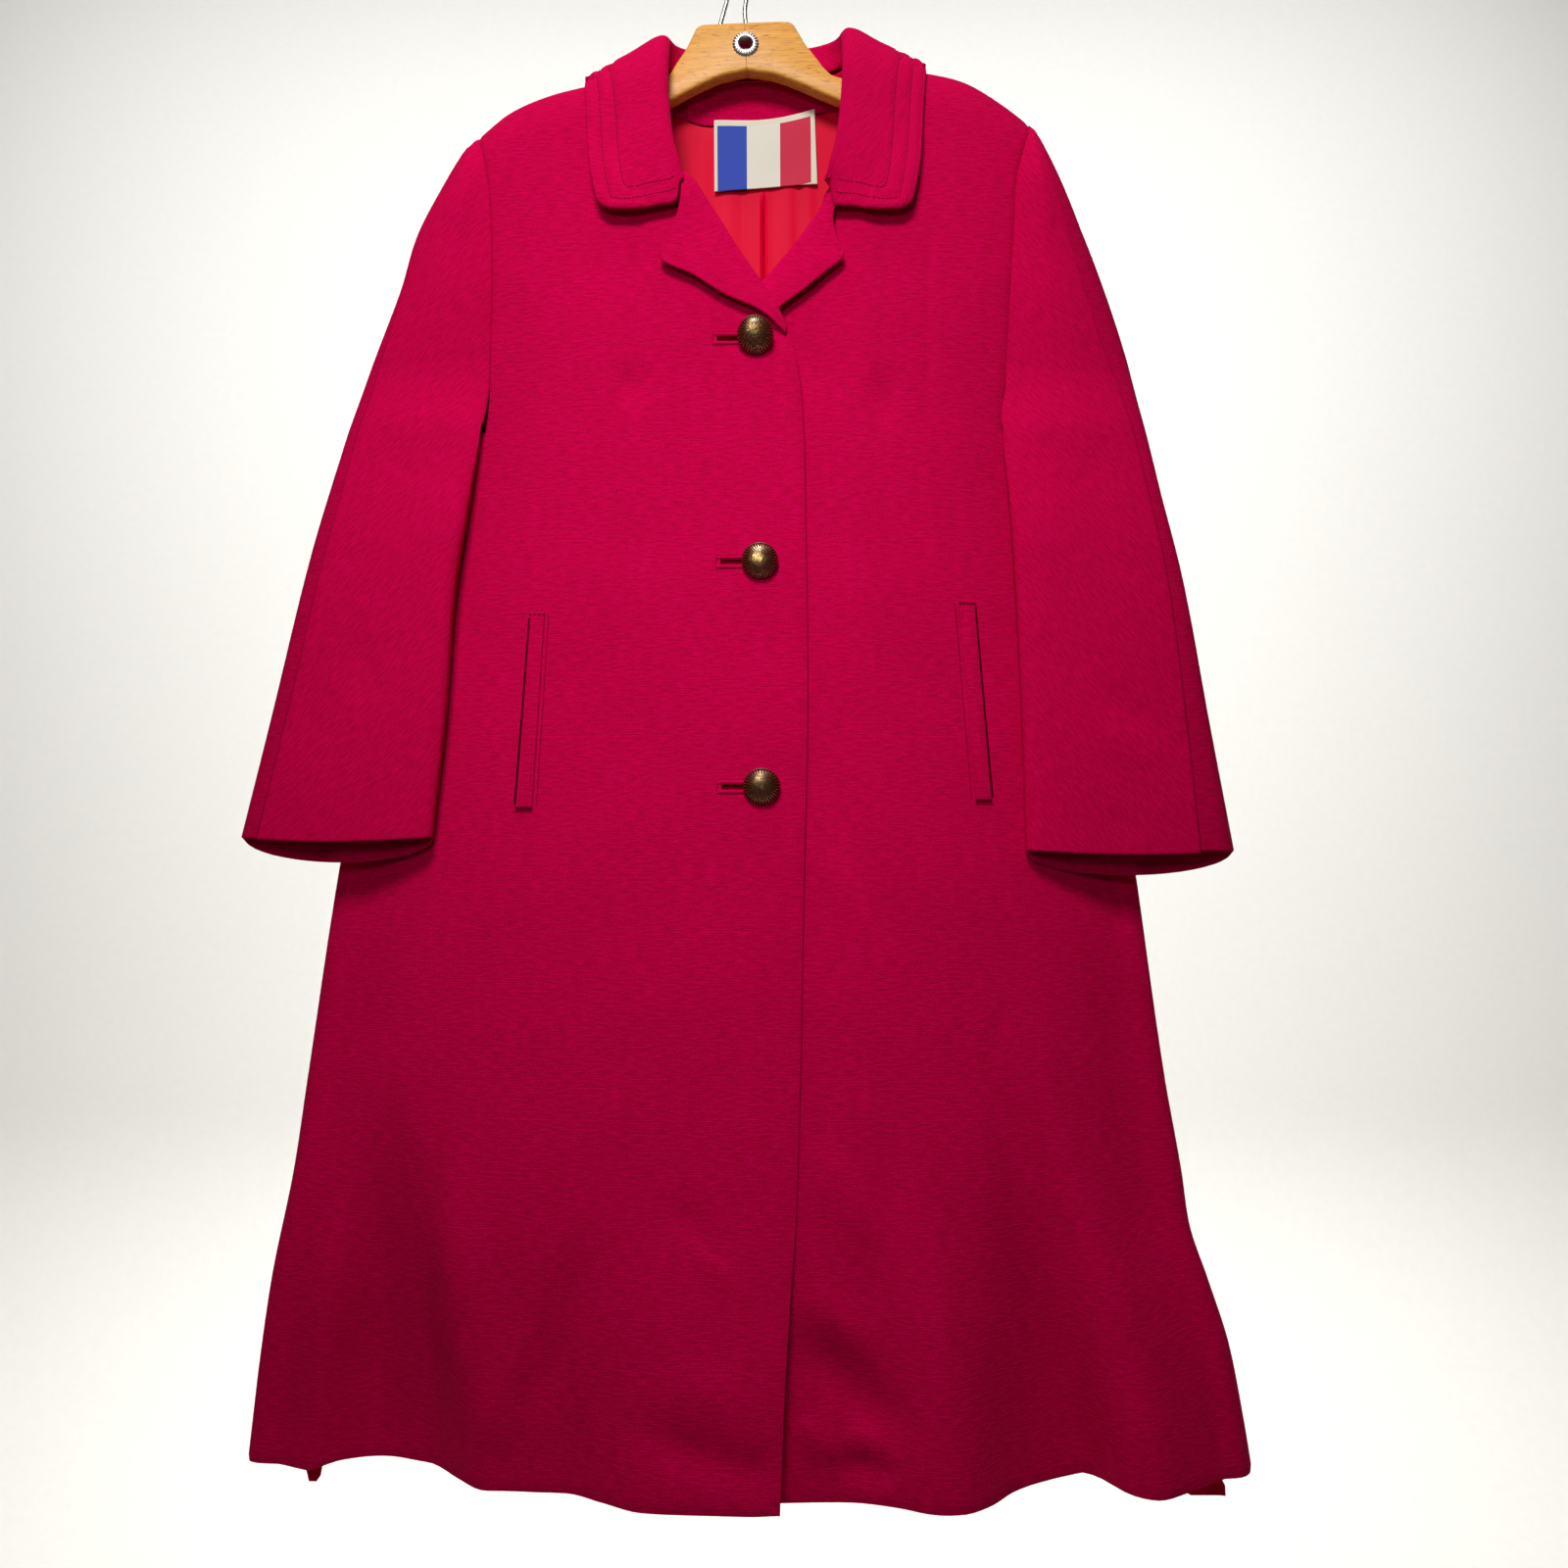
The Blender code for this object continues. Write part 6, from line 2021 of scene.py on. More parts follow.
@dataclass
class Collar:
    """The turned-down collar with its stand, the lapels, and both rows of topstitching."""

    form: CoatForm
    wool: bpy.types.Material
    thread: bpy.types.Material
    cloth: float = 3.0
    lift: float = 4.4
    foot_lift: float = 1.1
    side_rows: tuple[float, float] = (11.2, 23.2)
    end_rows: tuple[float, float] = (9.3, 18.5)
    groove: float = 0.95
    corner: float = 9.0
    end_lift: float = 6.5
    sections: tuple[CollarRow, ...] = (
        CollarRow(60, -173, 51, 57, -170, 61, 122, -192, 56, 2.2),
        CollarRow(67, -151, 49.5, 62, -151, 61, 126.5, -165, 55, 2.6),
        CollarRow(70.5, -120, 48.5, 66, -119, 59, 129, -132, 52, 3.2),
        CollarRow(71, -96, 45, 68, -90, 56, 131, -108, 50, 3.8),
        CollarRow(70.5, -83, 40, 69.5, -65, 48, 132.5, -93, 44, 4.4),
        CollarRow(69, -75.5, 33.5, 69.5, -50, 35, 131.5, -81, 34, 4.6),
        CollarRow(62, -74.5, 23.5, 63, -48.5, 22, 128, -92, 21, 4.6),
        CollarRow(46, -74, 17.4, 48, -48, 14.5, 105, -112, 9, 4.6),
        CollarRow(24, -73, 15.5, 25, -48.5, 11.6, 55, -121, 4, 4.6),
        CollarRow(0, -72.5, 15.2, 0, -49, 11.2, 0, -122.5, 3.6, 4.6),
    )
    end: tuple[LineRow, ...] = (
        LineRow(57, -188), LineRow(59, -201), LineRow(76, -205.5), LineRow(96, -209),
        LineRow(117.5, -207.5),
    )
    lapels: dict[Side, tuple[LapelRow, ...]] = field(
        default_factory=lambda: {
            Side.RIGHT: (
                LapelRow(-55.3, -173.5, -56.2, -177), LapelRow(-50, -182, -55.8, -190),
                LapelRow(-43.5, -192, -58, -207.5), LapelRow(-37.5, -202, -65, -226),
                LapelRow(-29.5, -215, -71.7, -244), LapelRow(-17, -236, -46, -259.5),
                LapelRow(-4.5, -255, -22, -275), LapelRow(6, -271, -2, -284),
                LapelRow(13.5, -283, 11, -291.5), LapelRow(19.5, -292, 18.3, -297.5),
                LapelRow(24, -299.5, 23.7, -302),
            ),
            Side.LEFT: (
                LapelRow(59.3, -181, 60.4, -184.5), LapelRow(57.3, -189, 60.4, -198),
                LapelRow(55, -197, 58.5, -211.5), LapelRow(50.5, -205, 60, -222),
                LapelRow(44.5, -213.5, 63.5, -233), LapelRow(37, -224.5, 67, -242.5),
                LapelRow(27.5, -237, 52, -254.5), LapelRow(18.5, -248, 36, -267.5),
                LapelRow(10.5, -257.5, 21, -279), LapelRow(3, -266, 10, -290),
                LapelRow(-4, -274, 0, -298),
            ),
        }
    )

    def build(self) -> dict[str, bpy.types.Object]:
        """Builds the collar, its stitches and both lapels.

        Returns:
            The objects by name.
        """
        grid = self.fine_grid()
        edge, end = self.reach(grid)
        near_edge = np.minimum(edge - self.side_rows[0], end - self.end_rows[0])
        near_inner = np.minimum(edge - self.side_rows[1], end - self.end_rows[1])
        sunk = self.groove * (bump(near_edge, 1.35) + bump(near_inner, 1.35))
        pillow = 1.1 * bump(near_edge + 5, 3.6) + 0.5 * bump(near_edge - 4.7, 3.4)
        pillow += 0.4 * bump(near_inner - 8, 6)
        fall = ease(3.6, 5.0, np.linspace(0, 7, grid.shape[1]))[None, :]
        grid = self.pushed(self.rounded(grid, edge, end), (pillow - sunk) * fall)
        made = {
            "collar": ClothShell(
                "collar_cloth", grid, self.wool, (0, -0.3, 1), self.cloth, 1.4
            ).build()
        }
        paths = [
            self.stitch_path(grid, edge, end, self.side_rows[k], self.end_rows[k]) for k in (0, 1)
        ]
        made["stitches"] = StitchRow().along("collar_topstitch", paths, self.thread)
        for side in Side:
            made[f"lapel_{side.word}"] = self.lapel(side)
        return made

    def tilt(self, x: float, z: float) -> float:
        """Lift of the slanting hanger at a point."""
        return float(self.form.neck_tilt(np.array(x), np.array(z)))

    def on_front(self, side: Side, x: float, z: float, lift: float) -> tuple[float, float, float]:
        """A point that far off the front."""
        return (x, float(self.form.lifted_front(side, np.array(x), np.array(z), lift)), z)

    def section(self, row: CollarRow, side: Side) -> np.ndarray:
        """Eight points of a section, from the stand's foot over the roll to the outer edge.

        Args:
            row: The section's row of the table.
            side: The wearer's side.

        Returns:
            The section's points.
        """
        sign = side.sign
        foot = np.array([sign * row.foot_x, row.foot_depth, row.foot_z])
        roll = np.array([sign * row.roll_x, row.roll_depth, row.roll_z])
        edge = np.array([sign * row.edge_x, row.edge_depth, row.edge_z])
        for point in (foot, roll, edge):
            point[2] += self.tilt(point[0], point[2])
        if row.foot_depth > self.form.shoulder_depth + 6:
            foot[1] = self.on_front(side, foot[0] + sign * 3, foot[2], self.foot_lift)[1]
        down = (foot - roll) / np.linalg.norm(foot - roll)
        out = (edge - roll) / np.linalg.norm(edge - roll)
        away = -down - out * np.dot(-down, out)
        away /= np.linalg.norm(away)
        back = -out - down * np.dot(-out, down)
        back /= np.linalg.norm(back)
        reach = min(7.0, 0.42 * np.linalg.norm(foot - roll))
        points = [
            foot, roll + down * reach + back * row.roll * 0.75,
            roll + down * 0.3 * reach + back * row.roll * 0.45,
            roll + out * 0.3 * reach + away * row.roll * 0.45,
            roll + out * reach * 1.3 + away * row.roll * 0.75,
        ]
        for share, lift in ((0.4, 2.0), (0.72, 1.0), (1.0, 0.0)):
            points.append(mix(roll, edge, share) + away * lift)
        return np.array(points)

    def end_section(self, side: Side) -> np.ndarray:
        """The last section, along the collar's short front end.

        Args:
            side: The wearer's side.

        Returns:
            The section's points.
        """
        first, sign = self.sections[0], side.sign
        roll_z = first.roll_z - 12
        points = [
            (sign * (first.foot_x - 2), first.foot_depth + 3, first.foot_z - 8),
            (sign * (first.roll_x - 3), first.roll_depth - 3, roll_z),
            (sign * (first.roll_x - 3.2), first.roll_depth - 0.5, roll_z - 1),
        ]
        points += [self.on_front(side, sign * row.x, row.z, self.lift + 5.6) for row in self.end]
        return np.array(points)

    def fine_grid(self) -> np.ndarray:
        """The collar's fine grid, lying clear of the coat.

        Returns:
            Rows and columns of points.
        """
        halves = {
            side: [self.end_section(side)] + [self.section(row, side) for row in self.sections]
            for side in Side
        }
        rows = np.array(halves[Side.RIGHT] + halves[Side.LEFT][-2::-1])
        run = np.arange(len(rows), dtype=float)
        steps = [6, 7] + [8] * (len(rows) - 5) + [7, 6]
        wanted = np.concatenate([run[i] + np.arange(n) / n for i, n in enumerate([*steps, 6][:20])])
        wanted = np.append(wanted, run[-1])
        across = np.concatenate([np.linspace(0, 4, 17)[:-1], np.linspace(4, 7, 40)])
        flat = rows.reshape(len(rows), -1)
        fine = np.stack([smooth_curve(run, flat[:, k], wanted) for k in range(flat.shape[1])], 1)
        fine = fine.reshape(len(wanted), 8, 3).transpose(1, 0, 2).reshape(8, -1)
        columns = np.arange(8, dtype=float)
        fine = np.stack(
            [smooth_curve(columns, fine[:, k], across) for k in range(fine.shape[1])], 1
        )
        grid = fine.reshape(len(across), len(wanted), 3).transpose(1, 0, 2)
        grid = with_border_rows(with_border_rows(grid, 0, (0.4, 1.3)), 1, (0.4, 1.3))
        return self.clear(grid)

    def clear(self, grid: np.ndarray) -> np.ndarray:
        """Moves the fall out until it lies clear on the coat.

        Args:
            grid: Rows and columns of points.

        Returns:
            The moved grid.
        """
        x, depth, z = grid[..., 0], grid[..., 1], grid[..., 2]
        below = self.form.shoulder(x) - z
        fall = (np.linspace(0, 7, grid.shape[1]) > 4.3)[None, :] & (below > -2)
        lift = self.lift + self.end_lift * ease(-105, -200, z)
        side_front = np.where(
            x > 0,
            self.form.lifted_front(Side.LEFT, x, z, lift),
            self.form.lifted_front(Side.RIGHT, x, z, lift),
        )
        behind = self.form.lifted_back(x, z, -self.lift - 0.4)
        ahead = fall & (depth > self.form.shoulder_depth + 1)
        after = fall & (depth < self.form.shoulder_depth - 1)
        depth = np.where(ahead, np.maximum(depth, side_front), depth)
        depth = np.where(after, np.minimum(depth, behind), depth)
        return np.stack([x, depth, z], -1)

    def reach(self, grid: np.ndarray) -> tuple[np.ndarray, np.ndarray]:
        """Distances of the grid's points from the outer edge and from the nearer front end."""
        across, along = arc_lengths(grid, 1), arc_lengths(grid, 0)
        return across[:, -1:] - across, np.minimum(along, along[-1:] - along)

    def rounded(self, grid: np.ndarray, edge: np.ndarray, end: np.ndarray) -> np.ndarray:
        """The grid with its two outer corners drawn in to an arc.

        Args:
            grid: Rows and columns of points.
            edge: The outer edge's place in the grid.
            end: The grid's first or last section.

        Returns:
            The changed grid.
        """
        a = np.clip(1 - end / self.corner, 0, 1)
        b = np.clip(1 - edge / self.corner, 0, 1)
        size = np.maximum(np.hypot(a, b), 1e-9)
        pull = 1 - np.maximum(a, b) / size
        down, right = np.gradient(grid, axis=0), np.gradient(grid, axis=1)
        down /= np.maximum(np.linalg.norm(down, axis=2, keepdims=True), 1e-9)
        right /= np.maximum(np.linalg.norm(right, axis=2, keepdims=True), 1e-9)
        first = np.where(np.arange(len(grid)) < len(grid) // 2, 1.0, -1.0)[:, None]
        move_in = (a * pull * self.corner * first)[..., None] * down
        return grid + move_in - (b * pull * self.corner)[..., None] * right

    def pushed(self, grid: np.ndarray, height: np.ndarray) -> np.ndarray:
        """The grid moved out along its own normals.

        Args:
            grid: Rows and columns of points.
            height: How far, in millimetres.

        Returns:
            The moved grid.
        """
        down, right = np.gradient(grid, axis=0), np.gradient(grid, axis=1)
        normal = np.cross(down, right)
        normal /= np.maximum(np.linalg.norm(normal, axis=2, keepdims=True), 1e-9)
        middle = normal[grid.shape[0] // 8, grid.shape[1] * 3 // 4]
        facing = 1.0 if middle[1] > 0 else -1.0
        return grid + normal * facing * height[..., None]

    def stitch_path(
        self, grid: np.ndarray, edge: np.ndarray, end: np.ndarray, side_in: float, end_in: float
    ) -> np.ndarray:
        """One row of topstitching, along the front end, the outer edge and the other end.

        Args:
            grid: The collar's grid.
            edge: Distances from its outer edge.
            end: Distances from its nearer front end.
            side_in: The row's distance from the outer edge.
            end_in: The row's distance from the front ends.

        Returns:
            The row's points, in metres in the frame.
        """
        rows, columns = grid.shape[:2]
        beside = np.array([np.interp(-side_in, -edge[i], np.arange(columns)) for i in range(rows)])
        half = rows // 2
        start = np.array(
            [np.interp(end_in, end[:half, j], np.arange(half)) for j in range(columns)]
        )
        last = np.array(
            [
                rows - 1 - np.interp(end_in, end[::-1][:half, j], np.arange(half))
                for j in range(columns)
            ]
        )
        first_i = int(math.ceil(start[int(beside[2])]))
        last_i = int(math.floor(last[int(beside[-3])]))
        low = int(columns * 0.33)
        i = [start[j] for j in range(low, int(beside[first_i]))]
        j = list(range(low, int(beside[first_i])))
        i += list(range(first_i, last_i + 1))
        j += list(beside[first_i : last_i + 1])
        closing = range(int(beside[last_i]), low, -1)
        i += [last[k] for k in closing]
        j += list(closing)
        path = at_fraction(grid, np.array(i, float), np.array(j, float))
        ahead = at_fraction(grid, np.array(i, float) + 0.5, np.array(j, float)) - path
        beyond = at_fraction(grid, np.array(i, float), np.array(j, float) + 0.5) - path
        normal = np.cross(ahead, beyond)
        normal /= np.maximum(np.linalg.norm(normal, axis=1, keepdims=True), 1e-9)
        facing = 1.0 if normal[len(normal) // 8][1] > 0 else -1.0
        return placed(path + normal * facing * 0.12, 14.0)

    def lapel(self, side: Side) -> bpy.types.Object:
        """One lapel, turned over the front's roll line.

        Args:
            side: The wearer's side.

        Returns:
            The lapel's object.
        """
        rows = self.lapels[side]
        points = np.array([(row.roll_x, row.roll_z) for row in rows], float)
        along = np.gradient(points, axis=0)
        normal = np.stack([-along[:, 1], along[:, 0]], axis=1)
        normal /= np.linalg.norm(normal, axis=1, keepdims=True)
        over = points - np.array([(row.edge_x, row.edge_z) for row in rows], float)
        normal *= np.sign((normal * over).sum(axis=1))[:, None]
        grid = []
        for row, toward in zip(rows, normal):
            width = math.hypot(row.roll_x - row.edge_x, row.roll_z - row.edge_z)
            small, near = min(1.0, width / 14), min(1.0, width / 9)
            base = float(self.form.turned_front(side, np.array(row.roll_x), np.array(row.roll_z)))
            line = []
            for out, lift in ((3.3, -1.4), (4.2, 1.2), (2.6, 4.4)):
                out, lift = out * near, mix(0.4, lift, near)
                line.append(
                    (row.roll_x + toward[0] * out, base + lift, row.roll_z + toward[1] * out)
                )
            for share, lift in ((0.16, 5.2), (0.45, mix(3.3, 6.6, small)), (1.0, 7.6)):
                lift = mix(1.6, lift + (1.2 if side is Side.LEFT else 0.6), near)
                x = mix(row.roll_x, row.edge_x, share)
                z = mix(row.roll_z, row.edge_z, share)
                line.append(self.on_front(side, x, z, lift))
            grid.append(line)
        fine = resampled(np.array(grid, float), 46, 26)
        fine = with_border_rows(with_border_rows(fine, 0, (0.35, 1.1)), 1, (0.35, 1.1))
        name = f"lapel_{side.word}_cloth"
        return ClothShell(name, fine, self.wool, (0, -1, 0), 2.2, 1.0).build()


# Inside the back neck


@dataclass
class NeckInside:
    """The band of coat cloth in the back neck, the lining below it and the woven label."""

    form: CoatForm
    wool: bpy.types.Material
    satin: bpy.types.Material
    ribbon: bpy.types.Material
    facing_low: tuple[LineRow, ...] = (
        LineRow(-63, -108), LineRow(-38, -113.5), LineRow(0, -111), LineRow(40, -105),
        LineRow(63, -103),
    )
    corners: tuple[tuple[float, float], ...] = (
        (-33.7, -109.5), (46.3, -103), (48.6, -159.5), (-33.4, -167.5),
    )
    tips: tuple[tuple[float, float, float], ...] = ((-331.0, 9.0, 18.0), (338.0, 31.0, 28.0))
    coat_cloth: float = 2.4
    pleat: float = 2.7
    pleat_share: float = 0.028
    creases: tuple[tuple[float, float, float], ...] = (
        (-0.26, 0.9, 0.02), (-0.215, -0.7, 0.018), (-0.14, 0.7, 0.03), (-0.07, -0.6, 0.022),
        (0.085, -0.5, 0.025), (0.16, 0.9, 0.035), (0.215, -0.9, 0.016), (0.25, 0.9, 0.018),
        (0.31, -0.6, 0.02),
    )

    def build(self) -> dict[str, bpy.types.Object]:
        """Builds the facing, the lining and the label.

        Returns:
            Their objects by node name.
        """
        return {
            "back_neck_facing": self.facing(),
            "lining_back": self.lining(),
            "label": self.label(),
        }

    def inside(self, x: np.ndarray, z: np.ndarray, lift: np.ndarray | float) -> np.ndarray:
        """Depth of points that far in front of the back's inner face."""
        return self.form.lifted_back(x, z, self.coat_cloth + lift)

    def facing(self) -> bpy.types.Object:
        """The band of coat cloth.

        Returns:
            The facing's object.
        """
        t, s = np.meshgrid(np.linspace(0, 1, 16), np.linspace(0, 1, 48), indexing="ij")
        x = mix(-55, 55, s)
        low = read(self.facing_low, "z", x, "x")
        z = mix(self.form.shoulder(x) - 2.5, low, t)
        grid = np.stack([x, self.inside(x, z, 2.3), z], -1)
        grid = with_border_rows(with_border_rows(grid, 0, (0.3, 0.9)), 1, (0.3, 0.9))
        name = "back_neck_facing_cloth"
        return ClothShell(name, grid, self.wool, (0, -1, 0), 1.5, 0.7).build()

    def lining(self) -> bpy.types.Object:
        """The back lining, with its pleat and the two corners that hang below the hem.

        Returns:
            The lining's object.
        """
        form = self.form
        near, far = np.linspace(0, 0.14, 30), np.linspace(0.15, 0.985, 60)
        falls = np.concatenate([near, far, [0.993, 1.0]])
        shares = np.concatenate(
            [
                np.linspace(-0.97, -0.85, 16), np.linspace(-0.8, -0.08, 22),
                np.linspace(-0.065, 0.065, 53), np.linspace(0.08, 0.8, 22),
                np.linspace(0.825, 0.975, 18),
            ]
        )
        fall, share = np.meshgrid(falls, shares, indexing="ij")
        top_x = share * 155.0
        top = read(self.facing_low, "z", top_x, "x") - 1.0
        past = np.abs(top_x) - self.facing_low[-1].x
        top = np.where(past > 0, top + 1.0 - 0.35 * past, top)
        low_half = form.by_side(share, lambda s: form.half(s, np.array(form.hem_z)))
        low_x = share * (low_half - 5)
        low = np.full(low_x.shape, form.hem_z + 14)
        for middle, half, drop in self.tips:
            low -= (14 + drop) * (1 - ease(half * 0.5, half, np.abs(low_x - middle)))
        z = mix(top, low, fall)
        wide = share * (form.by_side(share, lambda s: form.half(s, z)) - 9)
        x = top_x + (share * 175 - top_x) * (1 - ease(form.underarm_z, -108, z))
        x = mix(x, wide, 1 - ease(form.underarm_z - 200, form.underarm_z - 30, z))
        x = np.where(z < form.hem_z - 20, low_x, x)
        beside = share - self.pleat_share
        pleat = self.pleat * np.maximum(0, 1 - np.abs(beside) / 0.011)
        pleat = (pleat - 1.4 * bump(beside - 0.019, 0.006)) * (1 - ease(-178, -164, z))
        soft = np.zeros_like(z)
        for middle, high, width in self.creases:
            soft += high * bump(share - middle, width) * (1 - ease(-150, -112, z))
        high = np.maximum(z, form.hem_z)
        depth = self.inside(x, high, 1.8 + pleat + soft)
        grid = np.stack([x, depth, z], -1)
        return ClothShell("lining_cloth", grid, self.satin, (0, -1, 0), 0.9, 0.4).build()

    def label(self) -> bpy.types.Object:
        """The label, sewn flat over the facing's lower edge.

        Returns:
            The label's object.
        """
        t, s = np.meshgrid(np.linspace(0, 1, 22), np.linspace(0, 1, 34), indexing="ij")
        corner = np.array(self.corners, float)
        flat = mix(
            mix(
                corner[0], corner[1], s[..., None]
            ), mix(corner[3], corner[2], s[..., None]), t[..., None]
        )
        sag = 3.0 * np.sin(math.pi * s) ** 1.4 * (1 - t) ** 2
        curl = 1.2 * (s**6 - 0.6 * (1 - s) ** 6)
        x, z = flat[..., 0], flat[..., 1] - sag + curl * (1 - 2 * t)
        ripple = 0.35 * np.sin(5 * s + 1) * t + 0.2 * np.sin(9 * s * t)
        grid = np.stack([x, self.inside(x, z, 4.7 + ripple), z], -1)
        grid = with_border_rows(with_border_rows(grid, 0, (0.25, 0.8)), 1, (0.25, 0.8))
        return ClothShell(
            "label_ribbon", grid, self.ribbon, (0, -1, 0), 0.9, 0.4, grain=Grain.CORNER
        ).build()


# Fastenings and pockets


@dataclass
class Fastenings:
    """Three bound buttonholes and their domed buttons, and the two welt pockets."""

    form: CoatForm
    panels: BodyPanels
    wool: bpy.types.Material
    thread: bpy.types.Material
    gilt: bpy.types.Material
    lacquer: bpy.types.Material
    places: dict[str, tuple[float, float]] = field(
        default_factory=lambda: {
            "top": (0.4, -306.0),
            "middle": (4.1, -478.0),
            "bottom": (5.8, -645.5),
        }
    )
    radius: float = 13.6
    dome: float = 7.2
    hole_left: float = 29.0
    hole_right: float = 3.0
    slit: float = 3.8
    border: float = 3.2
    welt_top: dict[Side, tuple[float, float, float]] = field(
        default_factory=lambda: {
            Side.RIGHT: (-156.0, -167.0, -515.0),
            Side.LEFT: (152.5, 164.5, -506.0),
        }
    )
    welt_foot: dict[Side, tuple[float, float, float]] = field(
        default_factory=lambda: {
            Side.RIGHT: (-162.5, -175.0, -661.0),
            Side.LEFT: (163.0, 175.0, -655.0),
        }
    )
    welt_cloth: float = 2.0
    welt_slit: float = 3.0

    def build(self, fronts: dict[str, bpy.types.Object]) -> dict[str, bpy.types.Object]:
        """Cuts the openings in the fronts and builds what lines and closes them.

        Args:
            fronts: The dressed fronts by node name.

        Returns:
            The new objects by node name.
        """
        made = {}
        for which in self.places:
            made[f"buttonhole_{which}"] = self.lips(which, fronts["front_right"])
            made[f"button_{which}"] = self.button(which)
        for side in Side:
            made[f"welt_{side.word}"] = self.welt(side, fronts[f"front_{side.word}"])
            made[f"tacks_{side.word}"] = self.tacks(side)
        return made

    def depth(self, side: Side, x: np.ndarray, z: np.ndarray) -> np.ndarray:
        """Depth of a dressed front."""
        return self.panels.surface(side, np.asarray(x, float), np.asarray(z, float))

    def pierce(
        self, front: bpy.types.Object, outline: list[tuple[float, float]], depth: float
    ) -> None:
        """Cuts an opening of a given outline through a front.

        Args:
            front: The dressed front that carries it.
            outline: The opening's corners, (x, z) in millimetres.
            depth: The front's depth there.
        """
        points = [(x, depth - 12, z) for x, z in outline] + [(x, depth + 12, z) for x, z in outline]
        count = len(outline)
        faces = [tuple(range(count)), tuple(range(2 * count - 1, count - 1, -1))]
        faces += [(k, k + count, (k + 1) % count + count, (k + 1) % count) for k in range(count)]
        mesh = bpy.data.meshes.new("opening")
        mesh.from_pydata([tuple(p) for p in placed(np.array(points), 14.0)], [], faces)
        turned_outwards(mesh)
        cutter = bpy.data.objects.new("opening", mesh)
        bpy.context.scene.collection.objects.link(cutter)
        modifier = front.modifiers.new("Opening", "BOOLEAN")
        modifier.object = cutter
        modifier.solver = "EXACT"
        modifier.operation = "DIFFERENCE"
        settled(front)
        bpy.data.objects.remove(cutter, do_unlink=True)

    def lips(self, which: str, front: bpy.types.Object) -> bpy.types.Object:
        """The rolled lips that bind one buttonhole.

        Args:
            which: Which button's place: top, middle or bottom.
            front: The dressed front that carries it.

        Returns:
            The lips' object.
        """
        x, z = self.places[which]
        left, right = x - self.hole_left, x + self.hole_right
        grow = self.border + 0.25
        high, low = z + self.slit / 2 + grow, z - self.slit / 2 - grow
        outline = [
            (left - grow, low), (right + grow, low), (right + grow, high), (left - grow, high)
        ]
        self.pierce(front, outline, float(self.depth(Side.RIGHT, (left + right) / 2, z)))
        half = self.slit / 2
        lip = [0.0, 0.3, 0.8, 1.5, 2.2, 2.75, 3.05, 3.2]
        heights = [z + half + self.border - drop for drop in lip]
        heights += [2 * z - level for level in heights[::-1]]
        ends = [0.0, 0.4, 1.2, 2.2, 3.2]
        xs = [left - self.border + step for step in ends[:-1]]
        xs += list(np.linspace(left, right, 14))
        xs += [right + step for step in ends[1:]]
        slit_row = len(lip) - 1
        gx, gz = np.meshgrid(np.array(xs), np.array(heights), indexing="xy")
        from_middle = (np.abs(gz - z) - half) / self.border
        roll = 1.1 * np.sin(math.pi * np.clip(from_middle, 0, 1)) ** 0.7
        grid = np.stack([gx, self.depth(Side.RIGHT, gx, gz) + 0.15 + roll, gz], -1)
        keep = np.ones((gx.shape[0] - 1, gx.shape[1] - 1), bool)
        keep[slit_row, 4:-4] = False
        rim = np.zeros(grid.shape) + (0, 1, 0)
        return ClothShell(
            f"buttonhole_{which}_lips", grid, self.wool, (0, -1, 0), 2.6, 0.5, keep=keep, rim=rim
        ).build()

    def button(self, which: str) -> bpy.types.Object:
        """One domed button with its rays, turned rim and shank.

        Args:
            which: Which button's place: top, middle or bottom.

        Returns:
            The button's object.
        """
        profile = [(0.0, self.dome - 0.5)]
        profile += [
            (0.93 * self.radius * t, (self.dome - 0.5) * float(bow(np.array(t), 2.1)))
            for t in (0.15, 0.3, 0.45, 0.6, 0.72, 0.82, 0.9, 0.96)
        ]
        rim_start = len(profile)
        profile += [(12.5, 1.5), (12.9, 2.1), (13.3, 2.0), (13.6, 1.4), (13.5, 0.6), (13.0, 0.1)]
        profile += [(6.0, -0.2), (2.2, -0.2), (1.6, -0.5), (1.6, -5.0), (0.0, -5.2)]
        steps = 72
        points, faces, gilt = [], [], []
        rings = []
        for radius, height in profile:
            if radius == 0:
                rings.append([len(points)])
                points.append((0, 0, height * MM))
                continue
            rings.append(list(range(len(points), len(points) + steps)))
            for k in range(steps):
                angle = 2 * math.pi * k / steps
                points.append(
                    (radius * math.cos(angle) * MM, radius * math.sin(angle) * MM, height * MM)
                )
        for n, (upper, lower) in enumerate(zip(rings, rings[1:])):
            for k in range(steps):
                m = (k + 1) % steps
                if len(upper) == 1:
                    faces.append((upper[0], lower[k], lower[m]))
                elif len(lower) == 1:
                    faces.append((upper[m], upper[k], lower[0]))
                else:
                    faces.append((upper[m], upper[k], lower[k], lower[m]))
                gilt.append(n + 1 >= rim_start + 5)
        name = f"button_{which}_dome"
        # the dome between the rays takes the lacquer, which is partly a painted reflection of the
        # coat
        made = joined_object(name, np.array(points), faces, self.lacquer, smooth_angle=50)
        made.data.materials.append(self.gilt)
        made.data.polygons.foreach_set("material_index", np.array(gilt, np.int32))
        sunburst = Sunburst(dome_mm=self.dome)
        ray = sunburst.ray()
        modifier = made.modifiers.new("Sunburst", "NODES")
        modifier.node_group = sunburst.tree(ray, self.gilt)
        for item in modifier.node_group.interface.items_tree:
            if item.name == "Count":
                modifier[item.identifier] = sunburst.count
        settled(made)
        return self.seated(made, which)

